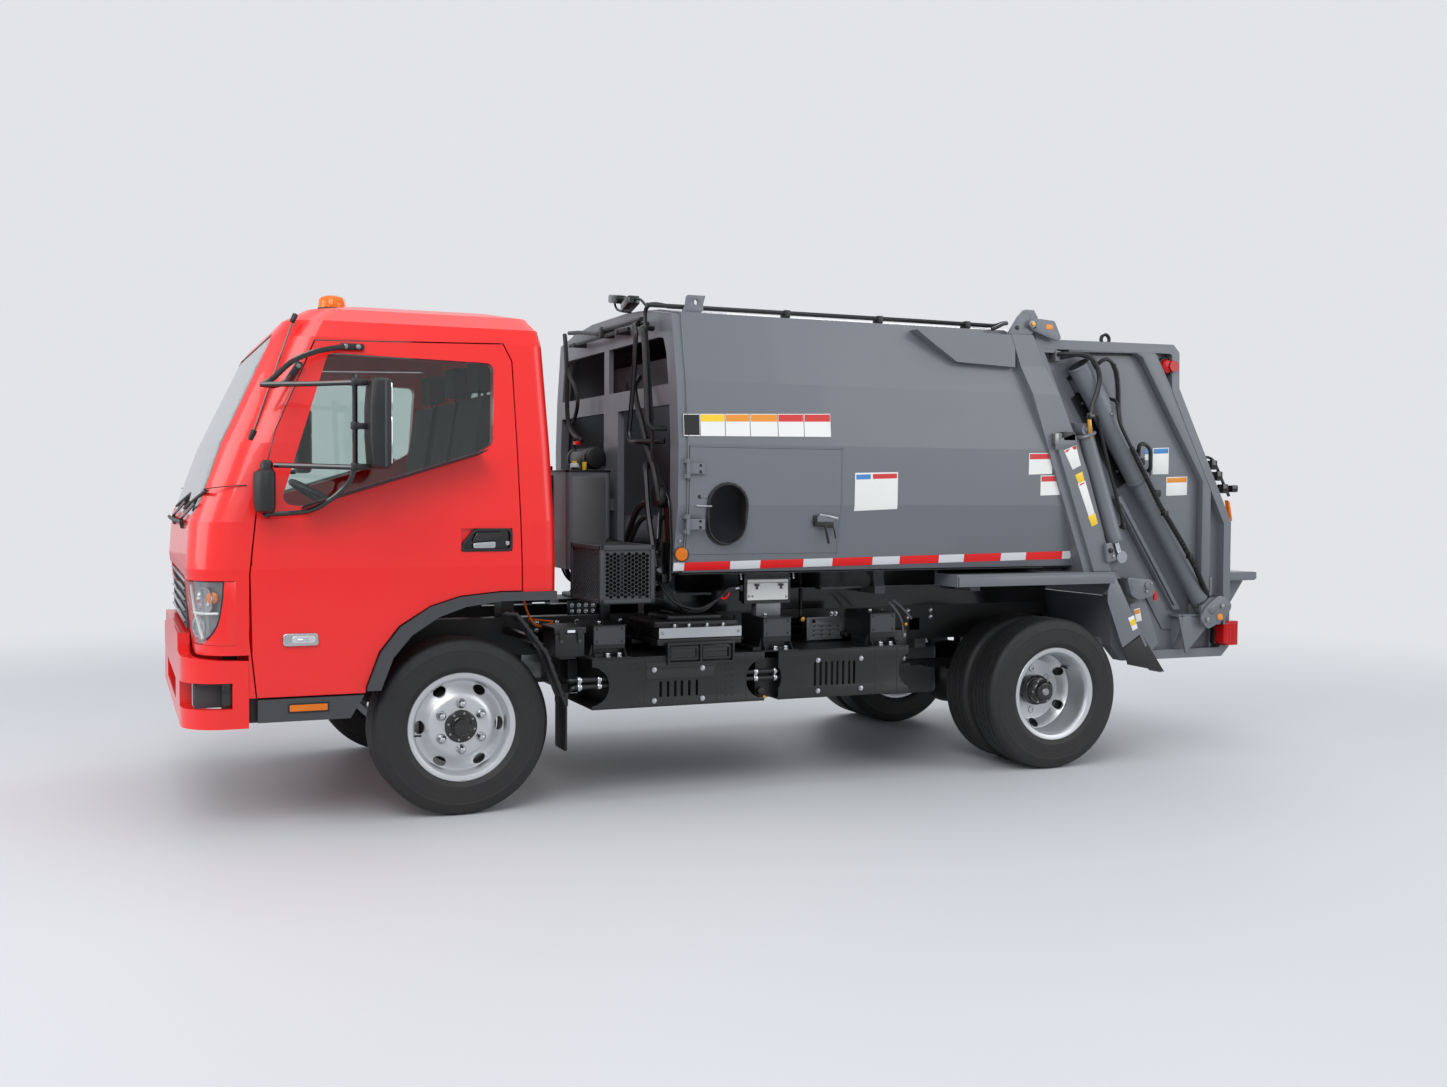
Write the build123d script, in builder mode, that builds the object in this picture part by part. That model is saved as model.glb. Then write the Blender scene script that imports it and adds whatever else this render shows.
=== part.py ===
"""Rear-loading refuse truck on a cab-over chassis, as an assembly of separate bodies.

Units are millimetres. +X is forward, +Y the driver's side, +Z up, and the tyres stand on z = 0.
"""
import os
from math import cos, radians, sin, sqrt

from build123d import *

# ---------------------------------------------------------------- overall sizes
axleFront = 1660.0
wheelbase = 3020.0
axleRear = axleFront - wheelbase
tyreRadius = 383.5
tyreWidth = 208.0
frontTrackHalf = 828.0
rearOuterHalf = 909.0
twinSpacing = 245.0
railTop = 800.0
railBottom = 620.0
railOuter = 385.0
gap = 8.0
pinFit = 0.8
rodFit = 0.6

# ---------------------------------------------------------------- cab sizes
cabBack = 1255.0
cabTop = 2190.0
cabWall = 50.0
doorGap = 6.0
doorHingeX = 2545.0
doorHingeY = 965.0
glassThick = 6.0
cabPivotX = 2640.0
cabPivotZ = 520.0

# ---------------------------------------------------------------- load body sizes
bodyFront = 690.0
bodyFloor = 930.0
bodyWall = 24.0
rearTopX = -1236.0
rearTopZ = 2195.0
rearLowX = -1774.0
rearLowZ = 1058.0

# ---------------------------------------------------------------- tailgate sizes
tailHalf = 850.0
tailPlate = 24.0
pivotX = -1225.0
pivotZ = 2250.0
packTopX = -1535.0
packTopZ = 2060.0
packLowX = -2382.0
packLowZ = 787.0
packY = tailHalf + 75.0
bladeX = -1850.0
bladeZ = 1420.0
carriageStroke = 500.0
bladeReach = 430.0
liftTopX = -1537.0
liftTopZ = 1727.0
liftEyeX = -1772.0
liftEyeZ = 1074.0
liftY = packY + 50.0

trackLen = sqrt((packLowX - packTopX) ** 2 + (packLowZ - packTopZ) ** 2)
trackX = (packLowX - packTopX) / trackLen
trackZ = (packLowZ - packTopZ) / trackLen
rearSlope = (rearLowX - rearTopX) / (rearLowZ - rearTopZ)


def onTrack(x, z, along, across=0.0):
    """A point moved down the packer track, and off it towards the rear."""
    return (x + trackX * along + trackZ * across, z + trackZ * along - trackX * across)


def rearLine(z, back=0.0):
    """A point of the load body's sloping rear line."""
    return (rearTopX + rearSlope * (z - rearTopZ) - back, z)


# ---------------------------------------------------------------- shape helpers (used inside a BuildPart)
def block(x0, x1, y0, y1, z0, z1, mode=Mode.ADD):
    with Locations(((x0 + x1) / 2, (y0 + y1) / 2, (z0 + z1) / 2)):
        Box(abs(x1 - x0), abs(y1 - y0), abs(z1 - z0), mode=mode)


def blocks(rows, mode=Mode.ADD):
    for x0, x1, y0, y1, z0, z1 in rows:
        block(x0, x1, y0, y1, z0, z1, mode)


def twinBlocks(rows, mode=Mode.ADD):
    for x0, x1, y0, y1, z0, z1 in rows:
        block(x0, x1, y0, y1, z0, z1, mode)
        block(x0, x1, -y1, -y0, z0, z1, mode)


def plate(points, y0, y1, mode=Mode.ADD, radius=0.0):
    """An outline in x and z, from y0 to y1."""
    with BuildSketch(Plane.XZ.offset(-y1)) as sk:
        with BuildLine():
            Polyline(*points, close=True)
        make_face()
        if radius:
            fillet(sk.vertices(), radius)
    extrude(sk.sketch, amount=y1 - y0, mode=mode)


def twinPlates(points, y0, y1, mode=Mode.ADD, radius=0.0):
    plate(points, y0, y1, mode, radius)
    plate(points, -y1, -y0, mode, radius)


def slab(points, z0, z1, mode=Mode.ADD, radius=0.0):
    """An outline in x and y, from z0 to z1."""
    with BuildSketch(Plane.XY.offset(z0)) as sk:
        with BuildLine():
            Polyline(*points, close=True)
        make_face()
        if radius:
            fillet(sk.vertices(), radius)
    extrude(sk.sketch, amount=z1 - z0, mode=mode)


def wall(points, x0, x1, mode=Mode.ADD, radius=0.0):
    """An outline in y and z, from x0 to x1."""
    with BuildSketch(Plane.YZ.offset(x0)) as sk:
        with BuildLine():
            Polyline(*points, close=True)
        make_face()
        if radius:
            fillet(sk.vertices(), radius)
    extrude(sk.sketch, amount=x1 - x0, mode=mode)


def rod(p, q, radius, mode=Mode.ADD):
    along = Vector(*q) - Vector(*p)
    with BuildSketch(Plane(origin=p, z_dir=along)) as sk:
        Circle(radius)
    extrude(sk.sketch, amount=along.length, mode=mode)


def disc(x, y0, y1, z, radius, mode=Mode.ADD):
    rod((x, y0, z), (x, y1, z), radius, mode)


def twinDiscs(x, y0, y1, z, radius, mode=Mode.ADD):
    disc(x, y0, y1, z, radius, mode)
    disc(x, -y1, -y0, z, radius, mode)


def tube(points, radius, bend=40.0, mode=Mode.ADD):
    """A round bar along straight legs with arcs at the corners."""
    with BuildLine() as path:
        if len(points) > 2:
            FilletPolyline(*points, radius=bend)
        else:
            Line(*points)
    with BuildSketch(Plane(origin=path.line @ 0, z_dir=path.line % 0)) as sk:
        Circle(radius)
    sweep(sk.sketch, path=path.line, mode=mode)


def lathe(rows, x, z, y0=0.0):
    """A turned shape about a line along y: rows of radius and y."""
    with BuildSketch(Plane.XY.offset(z)) as sk:
        with BuildLine():
            Polyline(*[(x + r, y0 + y) for r, y in rows], close=True)
        make_face()
    revolve(sk.sketch, axis=Axis((x, 0, z), (0, 1, 0)), revolution_arc=360)


# ---------------------------------------------------------------- cab form
# height, front x, back x, half width, front corner radius
cabRows = [
    (560.0, 2712.0, 1255.0, 972.0, 150.0),
    (1080.0, 2766.0, 1255.0, 985.0, 175.0),
    (1270.0, 2752.0, 1258.0, 980.0, 190.0),
    (1590.0, 2640.0, 1270.0, 950.0, 200.0),
    (2030.0, 2432.0, 1290.0, 888.0, 170.0),
    (2100.0, 2376.0, 1300.0, 866.0, 150.0),
    (2157.0, 2275.0, 1335.0, 802.0, 120.0),
    (2190.0, 2130.0, 1460.0, 640.0, 90.0),
]


def cabForm(inset, bottom=560.0):
    """The cab's outer form, or the same form drawn in all round by inset."""
    with BuildPart() as form:
        sections = []
        for z, xf, xb, half, rf in cabRows:
            level = z if z > 560.0 else bottom
            if z == cabTop:
                level = z - inset
            with BuildSketch(Plane.XY.offset(level)) as sk:
                with BuildLine():
                    Polyline(
                        (xf - inset, half - inset),
                        (xb + inset, half - inset),
                        (xb + inset, -half + inset),
                        (xf - inset, -half + inset),
                        close=True,
                    )
                make_face()
                front = sk.vertices().sort_by(Axis.X)[2:]
                rear = sk.vertices().sort_by(Axis.X)[:2]
                fillet(front, max(rf - inset, 30.0))
                fillet(sk.vertices().sort_by(Axis.X)[:2], 55.0 - min(inset, 20.0))
            sections.append(sk.sketch)
        loft(sections, ruled=True)
    return form.part


# the side door's outline
doorLine = [
    (2505.0, 558.0),
    (2530.0, 798.0),
    (2529.0, 1067.0),
    (2500.0, 1330.0),
    (2424.0, 1640.0),
    (2262.0, 2012.0),
    (1475.0, 2032.0),
    (1440.0, 1960.0),
    (1417.0, 1100.0),
    (1415.0, 966.0),
    (1509.0, 966.0),
    (1682.0, 950.0),
    (1809.0, 911.0),
    (1935.0, 827.0),
    (2017.0, 717.0),
    (2067.0, 582.0),
    (2067.0, 558.0),
]
windowLine = [
    (2412.0, 1345.0),
    (2212.0, 1965.0),
    (1515.0, 1948.0),
    (1532.0, 1600.0),
    (1590.0, 1565.0),
    (2330.0, 1332.0),
]


def grown(points, amount, y0, y1, radius=0.0):
    """A block with a plate's outline drawn out or in by amount."""
    with BuildPart() as shape:
        with BuildSketch(Plane.XZ.offset(-y1)) as sk:
            with BuildLine():
                Polyline(*points, close=True)
            make_face()
            if amount:
                offset(amount=amount, kind=Kind.INTERSECTION)
            if radius:
                fillet(sk.vertices(), radius)
        extrude(amount=y1 - y0)
    return shape.part


def under(lift, side):
    """What lies under the cab's floor: frame tunnel, and wheel wells with their arches."""
    with BuildPart() as shape:
        block(1000, 2700 + lift, -side, side, 300, 835 + lift)
        outline = [(1000, 300), (2072 + lift, 300), (2072 + lift, 582), (2017 + lift, 725 + lift),
                   (1935 + lift, 830 + lift), (1809, 911 + lift), (1682, 950 + lift), (1509, 966 + lift),
                   (1000, 966 + lift)]
        plate(outline, -1100, 1100)
        # room for the tyre's front corner at full lock
        block(1000, 2110 + lift, -880, 880, 300, 640 + lift)
    return shape.part


# a door hinge's arm, drawn from its pin
hingeArm = [(-8, 7), (8, 7), (8, -41), (-60, -41), (-60, -29), (-8, -29)]
hingeLevels = (870.0, 1090.0)
hingePin = 4.0
outer = cabForm(0.0)
inner = cabForm(cabWall, bottom=590.0)
doorInner = cabForm(cabWall + 15.0, bottom=540.0)
holeInner = cabForm(cabWall + 21.0, bottom=530.0)
paneOuter = cabForm(6.0, bottom=570.0)
paneInner = cabForm(6.0 + glassThick, bottom=580.0)
doorHole = grown(doorLine, doorGap, 400, 1100) - holeInner
doorBody = grown(doorLine, 0.0, 400, 1100)
paneHole = grown(windowLine, -0.5, 400, 1100, 34.5)
liningForm = cabForm(cabWall + 24.0, bottom=595.0)
underFloor = under(0.0, 430.0)
underDoor = under(5.0, 430.0)
cabRoom = inner - under(30.0, 460.0)

# windshield seen from the front: half width at the sill and at the roof
windshield = [
    (-862.0, 1292.0),
    (862.0, 1292.0),
    (772.0, 2050.0),
    (-772.0, 2050.0),
]

with BuildPart() as cab_shell:
    add(outer)
    add(underFloor, mode=Mode.SUBTRACT)
    add(cabRoom, mode=Mode.SUBTRACT)
    add(doorHole, mode=Mode.SUBTRACT)
    add(mirror(doorHole, about=Plane.XZ), mode=Mode.SUBTRACT)
    wall(windshield, 2300, 2900, Mode.SUBTRACT, 60.0)
    wall([(-640, 1420), (640, 1420), (600, 1930), (-600, 1930)], 1150, 1400, Mode.SUBTRACT, 60.0)
    # seats for the grille and the headlamps in the nose
    block(2700, 2900, -610, 610, 812, 1040, Mode.SUBTRACT)
    twinBlocks([(2585, 2900, 615, 1050, 775, 1035)], Mode.SUBTRACT)
    block(2537, 2900, -1050, 1050, 400, 735, Mode.SUBTRACT)
    # frame behind the grille and headlamps
    block(2640, 2700, -615, 615, 735, 1060)
    # arms down to the tilt pivot
    for side in (-1, 1):
        plate([(2560, 870), (2700, 870), (2700, 760), (2680, 500), (2640, 480), (2600, 500)],
              side * 330 - 12, side * 330 + 12)
        disc(cabPivotX, side * 330 - 30, side * 330 + 30, cabPivotZ, 42)
    disc(cabPivotX, -400, 400, cabPivotZ, 20 + pinFit, Mode.SUBTRACT)
    # pockets and pins of the door hinges
    for z in hingeLevels:
        twinBlocks([(doorHingeX - 26, doorHingeX + 14, doorHingeY - 50, doorHingeY + 12, z - 36, z + 36)],
                   Mode.SUBTRACT)
        for side in (-1, 1):
            rod((doorHingeX, side * doorHingeY, z - 40), (doorHingeX, side * doorHingeY, z + 40), hingePin)

cabKeep = cab_shell.part.solids().sort_by(SortBy.VOLUME)[-1]

with BuildPart() as door_left:
    add(outer)
    add(doorInner, mode=Mode.SUBTRACT)
    add(doorBody, mode=Mode.INTERSECT)
    plate(windowLine, 400, 1100, Mode.SUBTRACT, 35.0)
    add(underDoor, mode=Mode.SUBTRACT)
    # hollow front edge, so that the door swings clear, and the hinge arms
    rod((doorHingeX, doorHingeY, 600), (doorHingeX, doorHingeY, 1095), 25, Mode.SUBTRACT)
    rod((doorHingeX, doorHingeY, 1095), (doorHingeX, doorHingeY, 1300), 30, Mode.SUBTRACT)
    for z in hingeLevels:
        slab([(doorHingeX + dx, doorHingeY + dy) for dx, dy in hingeArm], z - 30, z + 30)
        rod((doorHingeX, doorHingeY, z - 31), (doorHingeX, doorHingeY, z + 31), hingePin + rodFit,
            Mode.SUBTRACT)
    # recess of the pull handle
    block(1457, 1678, 965, 1100, 1142, 1240, Mode.SUBTRACT)

with BuildPart() as glass_left:
    add(paneOuter)
    add(paneInner, mode=Mode.SUBTRACT)
    add(paneHole, mode=Mode.INTERSECT)

with BuildPart() as cab_glass:
    add(paneOuter)
    add(paneInner, mode=Mode.SUBTRACT)
    wall([(y * 0.9995, z + (0.4 if z < 1500 else -0.4)) for y, z in windshield], 2300, 2900,
         Mode.INTERSECT, 60.0)
    # rear pane
    wall([(-639.6, 1420.4), (639.6, 1420.4), (599.6, 1929.6), (-599.6, 1929.6)], 1278, 1284, Mode.ADD, 60.0)

# ---------------------------------------------------------------- nose
with BuildPart() as bumper:
    slab([(2538, 978), (2790, 978), (2790, -978), (2538, -978)], 440, 800)
    corners = bumper.edges().filter_by(Axis.Z).sort_by(Axis.X)[2:]
    fillet(corners, 170)
    slab([(2400, 935), (2742, 935), (2742, -935), (2400, -935)], 430, 810, Mode.SUBTRACT, 130.0)
    # the top falls away at the sides under the headlamps
    twinPlates([(2400, 706), (2640, 716), (2800, 729), (2800, 850), (2400, 850)], 615, 1100, Mode.SUBTRACT)
    # fog lamp recesses and the lower intake
    twinBlocks([(2600, 2900, 770, 1000, 520, 625)], Mode.SUBTRACT)
    block(2700, 2900, -420, 420, 500, 590, Mode.SUBTRACT)
    # ties to the cab's nose
    twinBlocks([(2650, 2745, 480, 520, 650, 735)])

with BuildPart() as cab_trim:
    twinBlocks([(2640, 2740, 770, 900, 520, 625)])
    block(2730, 2742, -432, 432, 492, 598)
    block(2700, 2752, -604, 604, 818, 1034)
    blocks([(2735, 2760, -560, 560, z, z + 22) for z in (835, 880, 925, 970, 1010)], Mode.SUBTRACT)
    # wheel arch edges and sill steps
    twinPlates([(2072, 570), (2072, 582), (2017, 725), (1935, 830), (1809, 911), (1682, 950), (1509, 966),
                (1262, 966),
                (1262, 928), (1509, 928), (1660, 908), (1775, 868), (1890, 794), (1966, 704), (2018,
                                                                                               570)], 884, 1000)
    twinPlates([(2084, 552), (2504, 552), (2504, 460), (2140, 460)], 805, 985)
    twinBlocks([(2150, 2460, 600, 815, 500, 548), (2150, 2460, 600, 640, 540, 560)])

with BuildPart() as headlamps:
    add(outer)
    add(inner, mode=Mode.SUBTRACT)
    block(2590, 2900, -1050, 1050, 779, 1031, Mode.INTERSECT)
    block(2400, 2900, -615, 615, 700, 1100, Mode.SUBTRACT)

# ---------------------------------------------------------------- cab furniture
with BuildPart() as dashboard:
    plate([(2250, 1060), (2330, 900), (2640, 900), (2640, 1062), (2690, 1066), (2690, 1270), (2480, 1300),
           (2300, 1240)], -950, 950)
    block(2180, 2420, -180, 180, 870, 1100)
    add(liningForm, mode=Mode.INTERSECT)
    # steering wheel and column
    with Locations(Location((2150, 480, 1340), (0, -30, 0))):
        Torus(185, 14)
        Box(370, 34, 12)
        Cylinder(48, 40)
    rod((2145, 480, 1348), (2300, 480, 1080), 24)

seatCross = [(1520, 1120), (1560, 1040), (2010, 1050), (2030, 1130), (1990, 1160), (1640, 1140),
             (1530, 1820),
             (1450, 1830), (1420, 1780)]
with BuildPart() as seats:
    for centre, half in ((520, 235), (40, 185), (-520, 235)):
        plate(seatCross, centre - half, centre + half, radius=18)
        block(1600, 1960, centre - half + 40, centre + half - 40, 860, 1060)
        block(1440, 1520, centre - 110, centre + 110, 1850, 1985)
        twinRails = [(1470, 1482, centre - 60, centre - 48, 1815, 1860),
                     (1470, 1482, centre + 48, centre + 60, 1815, 1860)]
        blocks(twinRails)
    add(cabRoom, mode=Mode.INTERSECT)

# ---------------------------------------------------------------- frame and running gear
railFront = 2560.0
railRear = axleRear - 390.0
with BuildPart() as chassis_frame:
    for side in (1, -1):
        block(railRear, railFront, side * 305, side * railOuter, railBottom, railTop)
        block(railRear - 1, railFront + 1, side * 300, side * (railOuter - 8), railBottom + 8, railTop - 8,
              Mode.SUBTRACT)
        plate([(2440, 790), (2560, 790), (2600, 640), (2680, 540), (2680, 500), (2650, 480), (2600, 490),
               (2440, 625)],
              side * 372 - 8, side * 372 + 8)
    for x in (2420, 1180, 520, -200, -900, -1690):
        block(x - 40, x + 40, -378, 378, 660, 740)
        block(x - 32, x + 32, -390, 390, 668, 732, Mode.SUBTRACT)
    disc(cabPivotX, -382, 382, cabPivotZ, 20)
    # rear cab rest
    twinBlocks([(1290, 1350, 250, 384, 795, 900), (1290, 1350, 250, 260, 900, 905)])
    block(1290, 1350, -384, 384, 880, 925)
    # spring hangers
    hangers = ((axleFront + 560, 499), (axleFront - 560, 499), (axleRear + 570, 504), (axleRear - 310, 504))
    for x, level in hangers:
        twinBlocks([(x - 35, x + 35, 310, 380, level, 625)])
    # engine bay cross member behind the pivot, and battery brackets
    for x in (1040, 260, 130, -500):
        twinBlocks([(x - 20, x + 20, 380, 900, 655, 672), (x - 20, x + 20, 380, 392, 600, 780)])

with BuildPart() as leaf_springs:
    springEnds = ((axleFront + 575, axleFront - 575, 499), (axleRear + 585, axleRear - 325, 504))
    for front, rear, top in springEnds:
        for side in (1, -1):
            for k in range(4):
                y0, y1 = sorted((side * 315, side * 375))
                block(rear + k * 110, front - k * 110, y0, y1, top - 14 * (k + 1), top - 14 * k)

with BuildPart() as front_axle:
    plate([(axleFront - 38, 300), (axleFront + 38, 300), (axleFront + 38, 395), (axleFront - 38, 395)],
          -500, 500)
    for side in (1, -1):
        block(axleFront - 35, axleFront + 35, side * 480, side * 600, 330, 430)
        with Locations((axleFront, side * 640, tyreRadius)):
            Cylinder(44, 130)
        with Locations((axleFront, side * 640, tyreRadius)):
            Cylinder(22 + pinFit, 400, mode=Mode.SUBTRACT)
    twinBlocks([(axleFront - 60, axleFront + 60, 310, 380, 394, 443)])

knuckles = []
for side in (1, -1):
    with BuildPart() as knuckle:
        with Locations((axleFront, side * 640, tyreRadius)):
            Cylinder(22, 240)
        for z in (288, 479):
            with Locations((axleFront, side * 640, z)):
                Cylinder(42, 42)
            y0, y1 = sorted((side * 640, side * 705))
            block(axleFront - 40, axleFront + 40, y0, y1, z - 21, z + 21)
        disc(axleFront, side * 694, side * 712, tyreRadius, 150)
        disc(axleFront, side * 705, side * 868, tyreRadius, 34)
        # steering arm
        y0, y1 = sorted((side * 560, side * 640))
        block(axleFront - 200, axleFront - 20, y0, y1, 262, 284)
    knuckles.append(knuckle.part)
knuckle_left, knuckle_right = knuckles

with BuildPart() as tie_rod:
    rod((axleFront - 185, -600, 240), (axleFront - 185, 600, 240), 14)
    for y in (-600, 600):
        rod((axleFront - 185, y, 240), (axleFront - 185, y, 261.7), 12)

with BuildPart() as rear_axle:
    disc(axleRear, -540, 540, tyreRadius, 62)
    disc(axleRear, -790, 790, tyreRadius, 39)
    with Locations((axleRear, 0, tyreRadius)):
        Sphere(175)
    twinBlocks([(axleRear - 60, axleRear + 60, 310, 380, 430, 448)])

with BuildPart() as drive_motor:
    block(axleRear + 175.3, axleRear + 520, -200, 160, 290, 560)
    fillet(drive_motor.edges(), 25)
    block(axleRear + 330, axleRear + 400, -290, 290, 560, 660)


# half sections of the wheels: radius, and distance from the tyre's middle with outboard positive
barrelRows = [(203, -88), (214, -92), (236, -92), (236, -84), (222, -80), (216, -56), (216, 56), (222, 80),
              (236, 84), (236, 92), (214, 92), (203, 88)]
frontDiscRows = [(36, 46), (120, 46), (165, 52), (196, 36), (209, 28), (209, 44), (196, 52), (165, 66),
                 (120, 60),
                 (36, 60)]
rearDiscRows = [(66, -121), (150, -121), (196, -72), (209, -62), (209, -46), (196, -58), (150, -108),
                (66, -108)]
tyreRows = [(216.5, -56), (222.5, -79.5), (236.5, -83.5), (236.5, -93), (262, -104), (330, -102),
            (372, -90),
            (tyreRadius, -72), (tyreRadius, 72), (372, 90), (330, 102), (262, 104), (236.5, 93), (236.5,
                                                                                                  83.5), (222.5, 79.5),
            (216.5, 56)]


def outboard(rows):
    """The same half section turned to face the other way."""
    return [(r, -y) for r, y in reversed(rows)]


with BuildPart() as front_rim_left:
    lathe(barrelRows, axleFront, tyreRadius, frontTrackHalf)
    lathe(frontDiscRows, axleFront, tyreRadius, frontTrackHalf)
    disc(axleFront, frontTrackHalf + 40, frontTrackHalf + 96, tyreRadius, 72)
    disc(axleFront, frontTrackHalf - 92, frontTrackHalf + 43, tyreRadius, 110)
    disc(axleFront, frontTrackHalf - 100, frontTrackHalf + 42, tyreRadius, 34 + pinFit, Mode.SUBTRACT)
    for k in range(6):
        a = radians(60 * k)
        disc(axleFront + 158 * cos(a), frontTrackHalf + 20, frontTrackHalf + 100,
             tyreRadius + 158 * sin(a), 24,
             Mode.SUBTRACT)
        a = radians(60 * k + 30)
        disc(axleFront + 100 * cos(a), frontTrackHalf + 50, frontTrackHalf + 86, tyreRadius + 100 * sin(a),
             15)

with BuildPart() as front_tyre_left:
    lathe(tyreRows, axleFront, tyreRadius, frontTrackHalf)

rearInnerHalf = rearOuterHalf - twinSpacing
rearDiscs = []
for rows, middle in ((rearDiscRows, rearOuterHalf), (outboard(rearDiscRows), rearInnerHalf)):
    with BuildPart() as wheelDisc:
        lathe(rows, axleRear, tyreRadius, middle)
        for k in range(6):
            a = radians(60 * k)
            disc(axleRear + 172 * cos(a), middle - 150, middle + 150, tyreRadius + 172 * sin(a), 20,
                 Mode.SUBTRACT)
    rearDiscs.append(wheelDisc.part)

with BuildPart() as rear_rims_left:
    disc(axleRear, 600, 930, tyreRadius, 78)
    disc(axleRear, 570, 786.5, tyreRadius, 130)
    disc(axleRear, 560, 800, tyreRadius, 39 + pinFit, Mode.SUBTRACT)
    for k in range(6):
        a = radians(60 * k + 30)
        disc(axleRear + 108 * cos(a), 782, 832, tyreRadius + 108 * sin(a), 17)
    lathe(barrelRows, axleRear, tyreRadius, rearOuterHalf)
    lathe(outboard(barrelRows), axleRear, tyreRadius, rearInnerHalf)
    add(rearDiscs[0])
    add(rearDiscs[1])

with BuildPart() as rear_tyres_left:
    lathe(tyreRows, axleRear, tyreRadius, rearOuterHalf)
    lathe(tyreRows, axleRear, tyreRadius, rearInnerHalf)

# ---------------------------------------------------------------- things hung on the frame
with BuildPart() as battery_packs:
    twinBlocks([(-540, 165, 420, 935, 425, 652), (235, 1080, 420, 935, 425, 652)])
    for side in (1, -1):
        y0, y1 = sorted((side * 420, side * 905))
        block(150, 250, y0, y1, 470, 620)
    blocks([(-500, 120, -430, 430, 430, 600), (280, 1040, -430, 430, 430, 600)])

with BuildPart() as side_boxes:
    twinBlocks([(345, 765, 560, 925, 676, 781), (81, 225, 640, 900, 676, 810),
                (-487, -347, 640, 900, 676, 815),
                (912, 1062, 640, 900, 676, 800)])
    # what they stand on
    twinBlocks([(-507, -327, 392.3, 660, 676, 700), (61, 225, 392.3, 660, 676, 700),
                (335, 775, 385.3, 580, 676, 700),
                (902, 1072, 392.3, 660, 676, 700)])
    # the upright box under the load body, on its arm
    twinBlocks([(42, 285, 725, 805, 868, 974), (90, 219, 740, 800, 805, 870)])

with BuildPart() as frame_fittings:
    block(800, 1060, 540, 980, 900, 1160)
    block(806, 1054, 546, 974, 906, 1154, Mode.SUBTRACT)
    block(810, 870, 385, 600, 880, 900)
    block(810, 870, 385, 400, 770, 900)
    # front mudguards and their flaps
    for side in (1, -1):
        y0, y1 = sorted((side * 852, side * 985))
        plate([(1490, 880), (1430, 870), (1300, 700), (1212, 470), (1222, 466), (1312, 690), (1440, 855),
               (1490, 866)],
              y0, y1)
        y0, y1 = sorted((side * 802, side * 965))
        block(1204, 1214, y0, y1, 250, 520)
        y0, y1 = sorted((side * (railOuter + 0.3), side * 862))
        block(1306, 1342, y0, y1, 722, 758)

with BuildPart() as mirror_left:
    block(2020, 2105, 1120, 1290, 1480, 1845)
    block(2440, 2500, 1030, 1190, 1310, 1500)
    tube([(2200, 870, 1985), (2250, 970, 1985), (2425, 1060, 1760), (2300, 1160, 1760),
          (2090, 1200, 1790)], 11, 30)
    tube([(2440, 940, 1300), (2470, 1060, 1300), (2470, 1110, 1400), (2090, 1200, 1515)], 11, 30)
    add(outer, mode=Mode.SUBTRACT)

with BuildPart() as marker_lamps:
    for y in (-300, 300):
        slab([(2040, y - 70), (2180, y - 70), (2180, y + 70), (2040, y + 70)], 2170, 2218)
        with Locations((2110, y, 2246)):
            Cylinder(62, 62)
    fillet(marker_lamps.faces().sort_by(Axis.Z)[-2:].edges(), 24)
    add(outer, mode=Mode.SUBTRACT)
    twinBlocks([(2220, 2380, 985, 992, 500, 530)])

with BuildPart() as side_lamp_left:
    block(2267, 2408, 960, 998, 752, 822)
    add(outer, mode=Mode.SUBTRACT)

# ---------------------------------------------------------------- load body
# half section of the body: half width and height
bodyRows = [(560, 930), (902, 1030), (926, 1158), (966, 1340), (970, 1620), (941, 1904), (911, 2042),
            (874, 2220),
            (600, 2262), (300, 2286)]


def bodySection(inset, low=0.0):
    """The body's closed section, drawn in by inset."""
    right = [(y - inset, z if z < 2200 else z - inset) for y, z in bodyRows]
    right[0] = (right[0][0], 930 + low)
    right[1] = (right[1][0], 1030 + low * 0.6)
    left = [(-y, z) for y, z in reversed(right)]
    return right + left


shellFront = 640.0
sideHingeX = 644.0
sideHingeY = 982.0
sideHingeLevels = (1505.0, 1253.0)
postFront = [(-1105, 2300), (-1105, 2195), (-1521, 1058), (-1575, 900)]
with BuildPart() as body_shell:
    wall(bodySection(0.0), -2100, shellFront)
    wall(bodySection(bodyWall, bodyWall), -2200, shellFront + 10, Mode.SUBTRACT)
    # the sloping rear end, where the rear frame takes over
    plate(postFront + [(-2600, 900), (-2600, 2300)], -1100, 1100, Mode.SUBTRACT)
    # side door opening
    plate([(shellFront + 5, 1105), (-150, 1105), (-150, 1610), (shellFront + 5, 1610)], 800, 1100,
          Mode.SUBTRACT)
    # lifting ears
    twinPlates([(545, 2210), (520, 2300), (600, 2300), (638, 2210)], 860, 872)
    twinDiscs(562, 850, 880, 2268, 14, Mode.SUBTRACT)
    # sub-frame on the rails
    twinBlocks([(-1740, 636, 300, 385, 800, 930)])
    twinBlocks([(-1730, 626, 308, 377, 808, 923)], Mode.SUBTRACT)
    for x in (560, -20, -600, -1180):
        block(x - 30, x + 30, -540, 540, 880, 930)

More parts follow.
